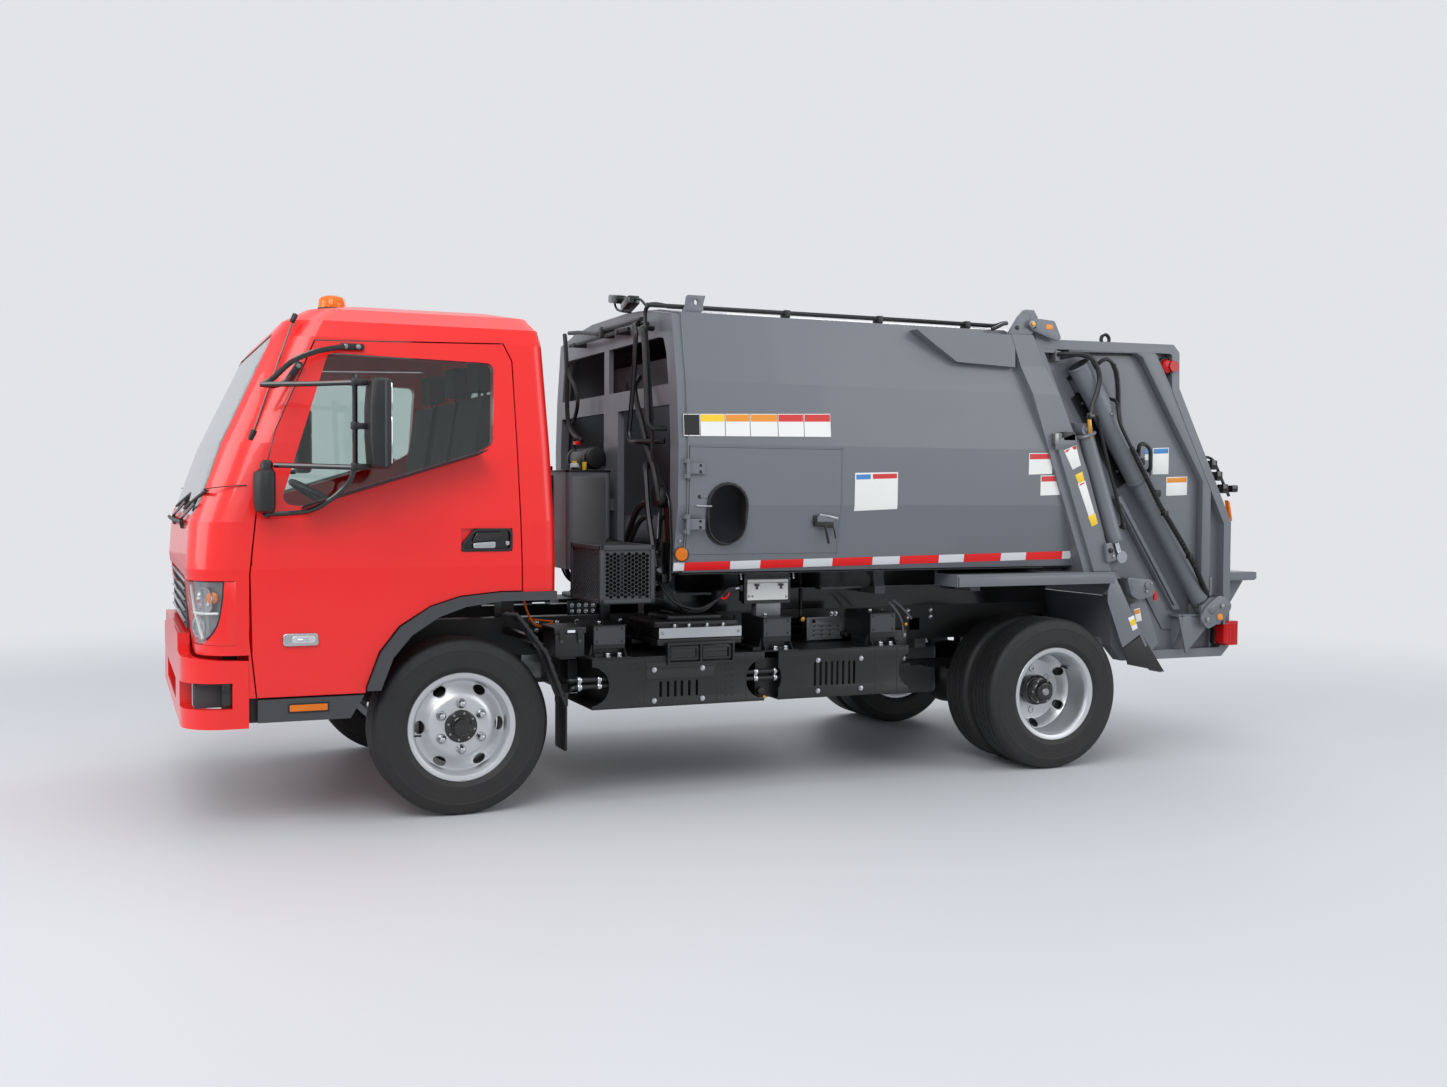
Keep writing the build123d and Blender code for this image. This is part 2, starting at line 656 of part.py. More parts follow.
with BuildPart() as side_door:
    wall(bodySection(0.0), -200, bodyFront)
    wall(bodySection(bodyWall, bodyWall), -300, bodyFront + 10, Mode.SUBTRACT)
    plate([(632, 1105 + gap), (-150 + gap, 1105 + gap), (-150 + gap, 1610 - gap), (632, 1610 - gap)], 800,
          1100,
          Mode.INTERSECT)
    with BuildSketch(Plane.XZ.offset(-1100)):
        with Locations((443, 1299)):
            SlotOverall(279, 194, rotation=90)
    extrude(amount=300, mode=Mode.SUBTRACT)
    # hinge leaves and the latch
    blocks([(560, 636, 950, 982, 1481, 1529), (560, 636, 930, 982, 1229, 1277),
            (-110, -20, 930, 966, 1240, 1290)])
    for z in sideHingeLevels:
        rod((sideHingeX, sideHingeY, z - 24), (sideHingeX, sideHingeY, z + 24), 9)
        rod((sideHingeX, sideHingeY, z - 25), (sideHingeX, sideHingeY, z + 25), 4 + rodFit, Mode.SUBTRACT)
    wall(bodySection(bodyWall, bodyWall), -300, bodyFront + 10, Mode.SUBTRACT)

with BuildPart() as hydraulic_tank:
    block(730, 960, -500, 160, 1010, 1500)
    fillet(hydraulic_tank.edges().filter_by(Axis.Z), 25)
    blocks([(684, 740, -120, 60, 1100, 1160), (684, 740, -120, 60, 1300, 1360)])

with BuildPart() as body_fittings:
    tube([(684, 640, 2175), (760, 640, 2175), (760, 660, 1620), (684, 660, 1620)], 12, 50)
    tube([(684, 800, 2130), (760, 800, 2130), (760, 820, 1620), (684, 820, 1620)], 12, 50)
    # work lamps on their stalks
    for y, level in ((290, 2279), (500, 2262)):
        block(700, 740, y, y + 110, 2310, 2375)
        tube([(662, y + 55, level - 4), (662, y + 55, 2335), (702, y + 55, 2342)], 9, 15)

with BuildPart() as rear_ring:
    with BuildSketch(Plane.YZ.offset(-2000)) as ring:
        with BuildLine():
            Polyline((985, 960), (985, 1900), (950, 2040), (950, 2195), (874, 2222), (600, 2264),
                     (300, 2288),
                     (-300, 2288), (-600, 2264), (-874, 2222), (-950, 2195), (-950, 2040), (-985, 1900),
                     (-985, 960), (-560, 930), (560, 930), close=True)
        make_face()
        with BuildLine():
            Polyline(*bodySection(60.0, bodyWall), close=True)
        make_face(mode=Mode.SUBTRACT)
    extrude(amount=1100)
    plate(postFront + [(-300, 900), (-300, 2300)], -1100, 1100, Mode.SUBTRACT)
    plate([rearLine(2400), rearLine(800), (-2600, 800), (-2600, 2400)], -1100, 1100, Mode.SUBTRACT)

with BuildPart() as fender_form:
    twinPlates([(-760, 1000), (-1712, 1000), (-1712, 988), (-772, 988), (-772, 940), (-760, 940)], 812,
               1020)
    twinPlates([(-1700, 988), (-1712, 988), (-1930, 610), (-1918, 604)], 910, 1015)
    twinPlates([(-1905, 640), (-1917, 640), (-2040, 470), (-2028, 464)], 915, 1010)
    add(rear_ring.part, mode=Mode.SUBTRACT)

with BuildPart() as body_frames:
    # open frame of the front bulkhead
    wall(bodySection(8.0), shellFront, shellFront + 44)
    wall(bodySection(110.0, 70.0), 600, 700, Mode.SUBTRACT)
    blocks([(640, 684, -880, 880, 1800, 1895), (650, 684, -95, 125, 960, 1820),
            (660, 684, -90, -15, 1880, 2140)])
    wall([(-820, 2120), (820, 2120), (820, 2205), (600, 2244), (300, 2268), (-300, 2268), (-600, 2244),
          (-820, 2205)],
         662, 684)
    # knuckles and pins that carry the side door
    for z in sideHingeLevels:
        rod((sideHingeX, sideHingeY, z - 44), (sideHingeX, sideHingeY, z + 44), 4)
        for z0 in (z - 44, z + 25):
            rod((sideHingeX, sideHingeY, z0), (sideHingeX, sideHingeY, z0 + 19), 9)
            block(sideHingeX, sideHingeX + 16, 915, sideHingeY, z0, z0 + 19)
    # raised beams along the top, standing proud of the body's sides
    twinPlates([(-1130, 2193), (-560, 2193), (-670, 2120), (-790, 2045), (-1130, 2032)], 800, 948)
    wall(bodySection(0.0), -1200, -500, Mode.SUBTRACT)
    add(rear_ring.part)
    # pockets that the lift cylinders lie in
    twinPlates([(liftTopX + 70, liftTopZ + 60), (liftEyeX + 70, liftEyeZ), (liftEyeX + 70, 900),
                (-1900, 900),
                (-1900, liftTopZ)], 926, 1100, Mode.SUBTRACT)
    # pivot lugs
    twinPlates([(-1100, 2190), (-1165, 2290), (-1200, 2325), (-1250, 2325), (-1275, 2290), (-1236, 2190)],
               905, 930)
    twinDiscs(pivotX, 860, 960, pivotZ, 16 + pinFit, Mode.SUBTRACT)
    # cover posts over the lift cylinders, standing on the fenders
    twinPlates([(-1330, 1700), (-1450, 1715), (-1700, 1002), (-1590, 1002)], 985, 1005)
    add(fender_form.part)
    # lugs for the lift rods
    twinPlates([(-1660, 1001), (-1665, 1080), (-1740, 1118), (-1790, 1110), (-1812, 1062), (-1800, 1001)],
               926, 940)

# telescopic ejector cylinder: each tube with its outer and inner radius and its two ends
ejectorAxis = 1200.0
ejectorRows = [(75, 60 + rodFit, 636, 95), (60, 46 + rodFit, 628, 85), (46, 32 + rodFit, 620, 75)]
ejectorTubes = []
for outside, inside, front, rear in ejectorRows:
    with BuildPart() as stage:
        rod((front, 0, ejectorAxis), (rear, 0, ejectorAxis), outside)
        rod((front + 5, 0, ejectorAxis), (rear - 5, 0, ejectorAxis), inside, Mode.SUBTRACT)
        if outside == 75:
            block(632, 650, -130, 65, 1060, 1340)
    ejectorTubes.append(stage.part)

with BuildPart() as ejector_panel:
    wall(bodySection(bodyWall + 12, bodyWall + 16), -200, 620)
    plate([(-90, 940), (-60, 940), (400, 2085), (370, 2085)], -960, 960, Mode.INTERSECT)
    for y in (-640, 640):
        plate([(-60, 990), (560, 990), (560, 1030), (370, 2040)], y - 10, y + 10)
    rod((610, 0, ejectorAxis), (20, 0, ejectorAxis), 32)
    twinBlocks([(-84, -50, 320, 420, 954.4, 980)])

# ---------------------------------------------------------------- tailgate
tailOutline = [rearLine(2185, 15), rearLine(955, 15), (-1852, 914), (-1785, 868), (-1785, 600),
               (-1860, 520), (-2533, 518),
               (-2585, 570), (-2584, 1252), (-2212, 1965), (-2208, 2154), (-2168, 2195)]
hopperX, hopperZ = onTrack(bladeX, bladeZ, carriageStroke)
hopperRadius = bladeReach + 20.0


def arcRow(radius, first, last, steps):
    return [(hopperX + radius * sin(radians(first + (last - first) * k / steps)),
             hopperZ - radius * cos(radians(first + (last - first) * k / steps))) for k in range(steps + 1)]


slotOutline = [onTrack(bladeX, bladeZ, a, c) for a, c in ((-668, 42), (-38, 42), (-38, 142), (-668, 142))]


def guardAt(along, side):
    """A point on a packer cylinder's line, measured from its top."""
    x, z = onTrack(packTopX, packTopZ, along)
    return (x, side * packY, z)


with BuildPart() as tail_flange:
    with BuildSketch(Plane.XZ.offset(-tailHalf - 50)):
        with BuildLine():
            Polyline(*tailOutline, close=True)
        make_face()
        offset(amount=-48, mode=Mode.SUBTRACT, kind=Kind.INTERSECTION)
    extrude(amount=50)

with BuildPart() as tailgate:
    twinPlates(tailOutline, tailHalf - tailPlate, tailHalf)
    add(tail_flange.part)
    add(mirror(tail_flange.part, about=Plane.XZ))
    # roof, header and hopper floor
    plate([(-1262, 2185), (-2168, 2193), (-2205, 2154), (-2208, 1970), (-2330, 1740), (-2310, 1730),
           (-2184, 1966),
           (-2181, 2145), (-2160, 2165), (-1275, 2160)], -tailHalf + 1, tailHalf - 1)
    hopperIn = arcRow(hopperRadius, 44, -82, 16)
    hopperOut = arcRow(hopperRadius + 20, 44, -82, 16)
    plate(hopperIn + hopperOut[::-1], -tailHalf + 1, tailHalf - 1)
    block(-1806, -1786, -tailHalf + 1, tailHalf - 1, 640, 862)
    block(-2584, -2574, -tailHalf + 1, tailHalf - 1, 560, 970)
    block(-2781, -2560, -tailHalf - 40, tailHalf + 40, 935, 972)
    twinPlates([(-2584, 935), (-2770, 935), (-2640, 757), (-2584, 757)], tailHalf - 60, tailHalf - 40)
    # slots for the carriage arms
    twinPlates(slotOutline, 800, 1000, Mode.SUBTRACT)
    # brackets of the packer cylinders, pins of the lift cylinders, and the arms to the pivots
    for y0 in (875, 960):
        twinPlates([(-2490, 850), (-2380, 845), (-2320, 800), (-2330, 700), (-2450, 700), (-2490, 750)],
                   y0, y0 + 14)
    twinPlates([(-2490, 860), (-2475, 860), (-2475, 700), (-2490, 700)], tailHalf - 5, 974)
    twinDiscs(packLowX, 875, 974, packLowZ, 16)
    twinBlocks([(-1590, -1512, tailHalf - 5, 930, liftTopZ - 36, liftTopZ + 36)])
    twinDiscs(liftTopX, 920, 1004, liftTopZ, 15)
    twinPlates([(-1205, 2232), (-1205, 2268), (-1225, 2278), (-1320, 2270), (-1420, 2190), (-1420, 2120),
                (-1310, 2120), (-1275, 2232)], 866, 897)
    twinDiscs(pivotX, 866, 945, pivotZ, 16)
blTop = onTrack(bladeX, bladeZ, -520, 90)

with BuildPart() as packer_carriage:
    plate([onTrack(bladeX, bladeZ, a, c) for a, c in ((-700, 20), (-60, 20), (-60, -20), (-700, -20))],
          -800, 800)
    for y in (315, 715):
        twinPlates([onTrack(bladeX, bladeZ, a, c) for a, c in ((-160, 20), (-20, 40), (10, 30), (10, -30),
                                                               (-20, -40), (-160, -20))], y - 15, y + 15)
        twinDiscs(bladeX, y - 15, y + 15, bladeZ, 46)
    twinDiscs(bladeX, 290, 740, bladeZ, 24 + pinFit, Mode.SUBTRACT)
    # arms out through the side plates to the cylinders
    twinPlates([onTrack(bladeX, bladeZ, a, c) for a,
                c in ((-640, 130), (-570, 130), (-570, 0), (-640, 0))], 760, 800)
    twinPlates([onTrack(bladeX, bladeZ, a, c) for a,
                c in ((-640, 130), (-570, 130), (-570, 54), (-640, 54))],
               790, 880)
    # lugs for the blade cylinders
    for y in (407, 483):
        twinPlates([onTrack(bladeX, bladeZ, a, c) for a,
                    c in ((-560, 20), (-550, 116), (-490, 116), (-470, 20))],
                   y - 6, y + 6)
    for y in (-445, 445):
        disc(blTop[0], y - 44, y + 44, blTop[1], 10)
    # upper tubes that hide the packer cylinders
    for side in (1, -1):
        rod(guardAt(0, side), guardAt(707, side), 60)
        rod(guardAt(30, side), guardAt(720, side), 54, Mode.SUBTRACT)

with BuildPart() as packer_rods:
    for side in (1, -1):
        rod(guardAt(30, side), guardAt(700, side), 28)

with BuildPart() as packer_barrels:
    for side in (1, -1):
        rod(guardAt(575, side), guardAt(trackLen - 60, side), 48)
        rod(guardAt(570, side), guardAt(trackLen - 120, side), 28 + rodFit, Mode.SUBTRACT)
        y0, y1 = sorted((side * (packY - 30), side * (packY + 30)))
        disc(packLowX, y0, y1, packLowZ, 38)
        rod(guardAt(trackLen - 70, side), guardAt(trackLen - 20, side), 26)
    twinDiscs(packLowX, 850, 1000, packLowZ, 16 + pinFit, Mode.SUBTRACT)

with BuildPart() as packer_blade:
    plate([(bladeX + 14, bladeZ - 60), (bladeX + 14, bladeZ - bladeReach),
           (bladeX - 14, bladeZ - bladeReach),
           (bladeX - 34, bladeZ - 60)], -805, 805)
    for y in (355, 755):
        twinPlates([(bladeX + 30, bladeZ + 10), (bladeX + 14, bladeZ - 160), (bladeX - 34, bladeZ - 160),
                    (bladeX - 40, bladeZ + 10)], y - 15, y + 15)
        twinDiscs(bladeX, y - 15, y + 15, bladeZ, 46)
    twinDiscs(bladeX, 296, 770, bladeZ, 24)
    for y in (407, 483):
        twinPlates([(bladeX - 16, bladeZ - 62), (bladeX - 140, bladeZ - 20), (bladeX - 146, bladeZ - 60),
                    (bladeX - 20, bladeZ - 180)], y - 6, y + 6)

blLow = (bladeX - 122, bladeZ - 44)
blLen = sqrt((blTop[0] - blLow[0]) ** 2 + (blTop[1] - blLow[1]) ** 2)


def between(a, b, part, y):
    """A point part of the way in mm from a towards b, at a side distance y."""
    d = sqrt((b[0] - a[0]) ** 2 + (b[1] - a[1]) ** 2)
    return (a[0] + (b[0] - a[0]) * part / d, y, a[1] + (b[1] - a[1]) * part / d)


with BuildPart() as blade_barrels:
    for y in (445, -445):
        rod(between(blTop, blLow, 20, y), between(blTop, blLow, 400, y), 27)
        rod(between(blTop, blLow, 60, y), between(blTop, blLow, 410, y), 14 + rodFit, Mode.SUBTRACT)
        disc(blTop[0], y - 22, y + 22, blTop[1], 24)
        disc(blTop[0], y - 30, y + 30, blTop[1], 10 + pinFit, Mode.SUBTRACT)

with BuildPart() as blade_rods:
    for y in (445, -445):
        rod(between(blTop, blLow, 270, y), between(blTop, blLow, blLen - 10, y), 14)
        disc(blLow[0], y - 22, y + 22, blLow[1], 22)

liftTop = (liftTopX, liftTopZ)
liftEye = (liftEyeX, liftEyeZ)
with BuildPart() as lift_barrels:
    for y in (liftY, -liftY):
        rod(between(liftTop, liftEye, 26, y), between(liftTop, liftEye, 610, y), 38)
        rod(between(liftTop, liftEye, 80, y), between(liftTop, liftEye, 620, y), 20 + rodFit, Mode.SUBTRACT)
        disc(liftTopX, y - 26, y + 26, liftTopZ, 32)
    twinDiscs(liftTopX, 900, 1010, liftTopZ, 15 + pinFit, Mode.SUBTRACT)

with BuildPart() as lift_rods:
    for y in (liftY, -liftY):
        rod(between(liftTop, liftEye, 100, y), between(liftTop, liftEye, 680, y), 20)
        disc(liftEyeX, y - 24, y + 24, liftEyeZ, 32)

with BuildPart() as tail_lamps:
    twinBlocks([(-2578, -2500, 900, 972, 585, 715)])
    twinDiscs(-2165, 900, 914, 2080, 30)

# ---------------------------------------------------------------- names and files
pieces = {
    "chassis_frame": chassis_frame.part,
    "leaf_springs": leaf_springs.part,
    "front_axle": front_axle.part,
    "knuckle_left": knuckle_left,
    "knuckle_right": knuckle_right,
    "tie_rod": tie_rod.part,
    "rear_axle": rear_axle.part,
    "drive_motor": drive_motor.part,
    "front_rim_left": front_rim_left.part,
    "front_rim_right": mirror(front_rim_left.part, about=Plane.XZ),
    "front_tyre_left": front_tyre_left.part,
    "front_tyre_right": mirror(front_tyre_left.part, about=Plane.XZ),
    "rear_rims_left": rear_rims_left.part,
    "rear_rims_right": mirror(rear_rims_left.part, about=Plane.XZ),
    "rear_tyres_left": rear_tyres_left.part,
    "rear_tyres_right": mirror(rear_tyres_left.part, about=Plane.XZ),
    "battery_packs": battery_packs.part,
    "side_boxes": side_boxes.part,
    "frame_fittings": frame_fittings.part,
    "cab_shell": cabKeep,
    "door_left": door_left.part,
    "door_right": mirror(door_left.part, about=Plane.XZ),
    "glass_left": glass_left.part,
    "glass_right": mirror(glass_left.part, about=Plane.XZ),
    "cab_glass": cab_glass.part,
    "bumper": bumper.part,
    "cab_trim": cab_trim.part,
    "headlamps": headlamps.part,
    "marker_lamps": marker_lamps.part,
    "side_lamp_left": side_lamp_left.part,
    "side_lamp_right": mirror(side_lamp_left.part, about=Plane.XZ),
    "dashboard": dashboard.part,
    "seats": seats.part,
    "mirror_left": mirror_left.part,
    "mirror_right": mirror(mirror_left.part, about=Plane.XZ),
    "body_shell": body_shell.part,
    "body_frames": body_frames.part,
    "side_door": side_door.part,
    "hydraulic_tank": hydraulic_tank.part,
    "body_fittings": body_fittings.part,
    "ejector_barrel": ejectorTubes[0],
    "ejector_stage_one": ejectorTubes[1],
    "ejector_stage_two": ejectorTubes[2],
    "ejector_panel": ejector_panel.part,
    "tailgate": tailgate.part,
    "packer_carriage": packer_carriage.part,
    "packer_rods": packer_rods.part,
    "packer_barrels": packer_barrels.part,
    "packer_blade": packer_blade.part,
    "blade_barrels": blade_barrels.part,
    "blade_rods": blade_rods.part,
    "lift_barrels": lift_barrels.part,
    "lift_rods": lift_rods.part,
    "tail_lamps": tail_lamps.part,
}
os.makedirs("parts", exist_ok=True)
for name, shape in pieces.items():
    shape.label = name
    export_step(shape, "parts/" + name + ".step")
    print(name, round(shape.volume / 1e6, 2), len(shape.solids()))
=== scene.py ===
# Looks for a small rear-loading refuse truck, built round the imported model.
import bpy
import math
from math import cos, pi, radians, sin
from mathutils import Matrix, Vector


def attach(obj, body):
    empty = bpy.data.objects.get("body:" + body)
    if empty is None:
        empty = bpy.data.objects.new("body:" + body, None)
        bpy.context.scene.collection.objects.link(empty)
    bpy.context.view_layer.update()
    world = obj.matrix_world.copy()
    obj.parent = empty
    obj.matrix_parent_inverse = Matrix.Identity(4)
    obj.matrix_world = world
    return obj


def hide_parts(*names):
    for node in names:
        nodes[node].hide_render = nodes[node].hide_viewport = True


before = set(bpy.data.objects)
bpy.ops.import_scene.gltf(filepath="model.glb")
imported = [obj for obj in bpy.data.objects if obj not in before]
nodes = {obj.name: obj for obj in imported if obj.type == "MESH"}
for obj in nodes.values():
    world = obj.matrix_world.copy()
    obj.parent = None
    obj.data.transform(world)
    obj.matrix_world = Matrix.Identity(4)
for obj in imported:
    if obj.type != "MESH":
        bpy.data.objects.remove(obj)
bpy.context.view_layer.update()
print("frame loaded")


# ---- small tools, all in metres ----
def clearSelection():
    active = bpy.context.view_layer.objects.active
    if active is not None and active.mode != "OBJECT":
        bpy.ops.object.mode_set(mode="OBJECT")
    bpy.ops.object.select_all(action="DESELECT")


def pick(obj):
    clearSelection()
    obj.select_set(True)
    bpy.context.view_layer.objects.active = obj
    return obj


def settle(obj):
    # the place goes into the mesh
    pick(obj)
    bpy.ops.object.transform_apply(location=True, rotation=True, scale=True)
    return obj


def addModifier(obj, kind, **values):
    pick(obj)
    modifier = obj.modifiers.new(kind.lower(), kind)
    for key, value in values.items():
        setattr(modifier, key, value)
    bpy.ops.object.modifier_apply(modifier=modifier.name)
    return obj


def soften(obj, width, segments=2, angle=30):
    return addModifier(obj, "BEVEL", width=width, segments=segments, limit_method="ANGLE",
        angle_limit=radians(angle), harden_normals=False)


def cleanMesh(obj, distance=0.00005, inside=False):
    pick(obj)
    bpy.ops.object.mode_set(mode="EDIT")
    bpy.ops.mesh.select_all(action="SELECT")
    bpy.ops.mesh.remove_doubles(threshold=distance)
    bpy.ops.mesh.normals_make_consistent(inside=inside)
    bpy.ops.object.mode_set(mode="OBJECT")
    return obj


def boxPart(low, high, bevel=0.0, segments=2):
    clearSelection()
    middle = [(a + b) / 2 for a, b in zip(low, high)]
    bpy.ops.mesh.primitive_cube_add(size=1, location=middle)
    obj = bpy.context.object
    obj.scale = [abs(b - a) for a, b in zip(low, high)]
    settle(obj)
    if bevel:
        soften(obj, bevel, segments)
    return obj


def rodPart(start, end, radius, sides=20, bevel=0.0, endRadius=None):
    clearSelection()
    start, end = Vector(start), Vector(end)
    along = end - start
    bpy.ops.mesh.primitive_cone_add(vertices=sides, radius1=radius, radius2=endRadius or radius,
        depth=along.length, location=(start + end) / 2)
    obj = bpy.context.object
    obj.rotation_euler = along.to_track_quat("Z", "Y").to_euler()
    settle(obj)
    if bevel:
        soften(obj, bevel, 2, 40)
    return obj


def ballPart(centre, radius, scale=(1, 1, 1), sides=20):
    clearSelection()
    bpy.ops.mesh.primitive_uv_sphere_add(segments=sides, ring_count=sides // 2, radius=radius,
        location=centre)
    obj = bpy.context.object
    obj.scale = scale
    return settle(obj)


def outlinePart(points, start, end, plane="xz", bevel=0.0, holes=(), round=1):
    # a flat outline given thickness: xz runs along y, yz along x, xy along z
    clearSelection()
    curve = bpy.data.curves.new("outline", "CURVE")
    curve.dimensions = "2D"
    curve.fill_mode = "BOTH"
    for loop in [points] + list(holes):
        spline = curve.splines.new("POLY")
        spline.points.add(len(loop) - 1)
        for point, (a, b) in zip(spline.points, loop):
            point.co = (a, b, 0, 1)
        spline.use_cyclic_u = True
    depth = abs(end - start)
    curve.bevel_depth = min(bevel, depth / 2 - 0.0001)
    curve.offset = -curve.bevel_depth
    curve.bevel_resolution = round
    curve.extrude = depth / 2 - curve.bevel_depth
    obj = bpy.data.objects.new("outline", curve)
    bpy.context.collection.objects.link(obj)
    middle = (start + end) / 2
    if plane == "xz":
        obj.rotation_euler, obj.location = (pi / 2, 0, 0), (0, middle, 0)
    elif plane == "yz":
        obj.rotation_euler, obj.location = (pi / 2, 0, pi / 2), (middle, 0, 0)
    else:
        obj.location = (0, 0, middle)
    pick(obj)
    bpy.ops.object.convert(target="MESH")
    return cleanMesh(settle(bpy.context.object))


def tubePart(points, radius, bend=0.03, sides=10, closed=False, hose=False):
    # pipes keep straight legs and round corners, hoses hang in one smooth line
    clearSelection()
    curve = bpy.data.curves.new("tube", "CURVE")
    curve.dimensions = "3D"
    curve.bevel_depth = radius
    curve.bevel_resolution = max(0, sides // 4 - 1)
    curve.use_fill_caps = not closed
    curve.resolution_u = 5
    points = [Vector(p) for p in points]
    if hose:
        spline = curve.splines.new("NURBS")
        spline.points.add(len(points) - 1)
        for point, p in zip(spline.points, points):
            point.co = (*p, 1)
        spline.order_u = min(4, len(points))
        spline.use_endpoint_u = True
    else:
        marks = []
        count = len(points)
        for k, p in enumerate(points):
            if not closed and k in (0, count - 1):
                marks.append((p, p, p))
                continue
            back, on = points[k - 1] - p, points[(k + 1) % count] - p
            reach = min(bend, back.length * 0.48, on.length * 0.48)
            a, b = p + back.normalized() * reach, p + on.normalized() * reach
            marks += [(a, a, a + (p - a) * 0.56), (b, b + (p - b) * 0.56, b)]
        spline = curve.splines.new("BEZIER")
        spline.bezier_points.add(len(marks) - 1)
        for point, (middle, left, right) in zip(spline.bezier_points, marks):
            point.handle_left_type = point.handle_right_type = "FREE"
            point.co, point.handle_left, point.handle_right = middle, left, right
        spline.use_cyclic_u = closed
    obj = bpy.data.objects.new("tube", curve)
    bpy.context.collection.objects.link(obj)
    pick(obj)
    bpy.ops.object.convert(target="MESH")
    return cleanMesh(bpy.context.object)


def turnedPart(rows, centre, axis=(0, 1, 0), steps=48, face=1):
    # rows of radius and distance along the axis, spun from a drawn line
    clearSelection()
    axis, centre = Vector(axis), Vector(centre)
    across = Vector((1, 0, 0)) if abs(axis.x) < 0.5 else Vector((0, 0, 1))
    across = (across - axis * across.dot(axis)).normalized()
    places = [centre + across * r + axis * (t * face) for r, t in rows]
    bpy.ops.mesh.primitive_plane_add(size=0.01, location=places[0])
    obj = bpy.context.object
    settle(obj)
    bpy.ops.object.mode_set(mode="EDIT")
    bpy.ops.mesh.select_all(action="SELECT")
    bpy.ops.mesh.merge(type="CENTER")
    for here, there in zip(places, places[1:]):
        bpy.ops.mesh.extrude_region_move(TRANSFORM_OT_translate={"value": there - here})
    bpy.ops.mesh.select_all(action="SELECT")
    bpy.ops.mesh.spin(steps=steps, angle=2 * pi, center=centre, axis=axis)
    bpy.ops.object.mode_set(mode="OBJECT")
    return cleanMesh(obj)


def ringHoles(obj, centre, holeRadius, stretch, pitch, count, depth, turn=0.0):
    # oval or round holes cut through a wheel's disc, or through anything round its axis along y
    for k in range(count):
        a = 2 * pi * k / count + turn
        clearSelection()
        bpy.ops.mesh.primitive_cylinder_add(vertices=24, radius=holeRadius, depth=depth)
        cutter = bpy.context.object
        cutter.scale = (stretch, 1, 1)
        cutter.rotation_euler = (pi / 2, 0, 0)
        settle(cutter)
        cutter.rotation_euler = (0, pi / 2 - a, 0)
        cutter.location = (centre[0] + pitch * cos(a), centre[1], centre[2] + pitch * sin(a))
        settle(cutter)
        addModifier(obj, "BOOLEAN", operation="DIFFERENCE", object=cutter, solver="EXACT")
        bpy.data.objects.remove(cutter)
    return obj


def copyPart(obj, move=(0, 0, 0), turn=None, about=(0, 0, 0)):
    # a copy with its own mesh, turned about a point by (angle, axis), then moved
    new = obj.copy()
    new.data = obj.data.copy()
    bpy.context.collection.objects.link(new)
    matrix = Matrix.Translation(move)
    if turn:
        matrix = matrix @ Matrix.Translation(about) @ Matrix.Rotation(turn[0], 4,
            turn[1]) @ Matrix.Translation(-Vector(about))
    new.data.transform(matrix)
    return new


def mirrorPart(obj):
    # the same on the other side of the truck
    new = obj.copy()
    new.data = obj.data.copy()
    bpy.context.collection.objects.link(new)
    pick(new)
    new.scale = (1, -1, 1)
    settle(new)
    bpy.ops.object.mode_set(mode="EDIT")
    bpy.ops.mesh.select_all(action="SELECT")
    bpy.ops.mesh.normals_make_consistent(inside=False)
    bpy.ops.object.mode_set(mode="OBJECT")
    return new


def foldLines(obj, places, direction=(0, 0, 1)):
    # cuts the mesh where it crosses planes square to a direction
    pick(obj)
    bpy.ops.object.mode_set(mode="EDIT")
    for place in places:
        bpy.ops.mesh.select_all(action="SELECT")
        bpy.ops.mesh.bisect(plane_co=Vector(direction) * place, plane_no=direction)
    bpy.ops.object.mode_set(mode="OBJECT")


def pressOn(obj, target, direction="-y", offset=0.0004, cuts=()):
    # lays a flat piece on a curved panel, with fold lines at the given heights
    foldLines(obj, cuts)
    axis = direction[-1]
    values = {"use_project_" + axis: True, "use_negative_direction": direction[0] == "-",
        "use_positive_direction": direction[0] != "-"}
    return addModifier(obj, "SHRINKWRAP", target=target, wrap_method="PROJECT", offset=offset,
        wrap_mode="ABOVE_SURFACE", **values)


def paintWith(obj, material):
    obj.data.materials.clear()
    obj.data.materials.append(material)


def joinParts(objects):
    pick(objects[0])
    for obj in objects[1:]:
        obj.select_set(True)
    if len(objects) > 1:
        bpy.ops.object.join()
    return bpy.context.view_layer.objects.active


def mirrored(parts):
    # (object, material) pairs for the other side
    return [(mirrorPart(obj), material) for obj, material in parts]


def twoSides(parts):
    # the same parts again on the right
    return parts + mirrored(parts)


def finishPiece(name, body, parts, smooth=32, stands=()):
    # parts are (object, material) pairs that become one piece
    for obj, material in parts:
        paintWith(obj, material)
    piece = joinParts([obj for obj, material in parts])
    piece.name = name
    piece.data.name = name
    pick(piece)
    bpy.ops.object.shade_smooth_by_angle(angle=radians(smooth))
    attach(piece, body)
    if stands:
        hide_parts(*stands)
    return piece


def bothSides(name, body, parts, smooth=32):
    # one piece for the left side and a mirrored one for the right
    copies = mirrored(parts)
    rightBody = body.replace("left", "right")
    left = finishPiece(name + "Left", body, parts, smooth)
    right = finishPiece(name + "Right", rightBody, copies, smooth)
    return left, right


def between(rows, value):
    # reads a two-column table, sorted by the first column
    if value <= rows[0][0]:
        return rows[0][1]
    for (a, b), (c, d) in zip(rows, rows[1:]):
        if value <= c:
            return b + (d - b) * (value - a) / (c - a)
    return rows[-1][1]


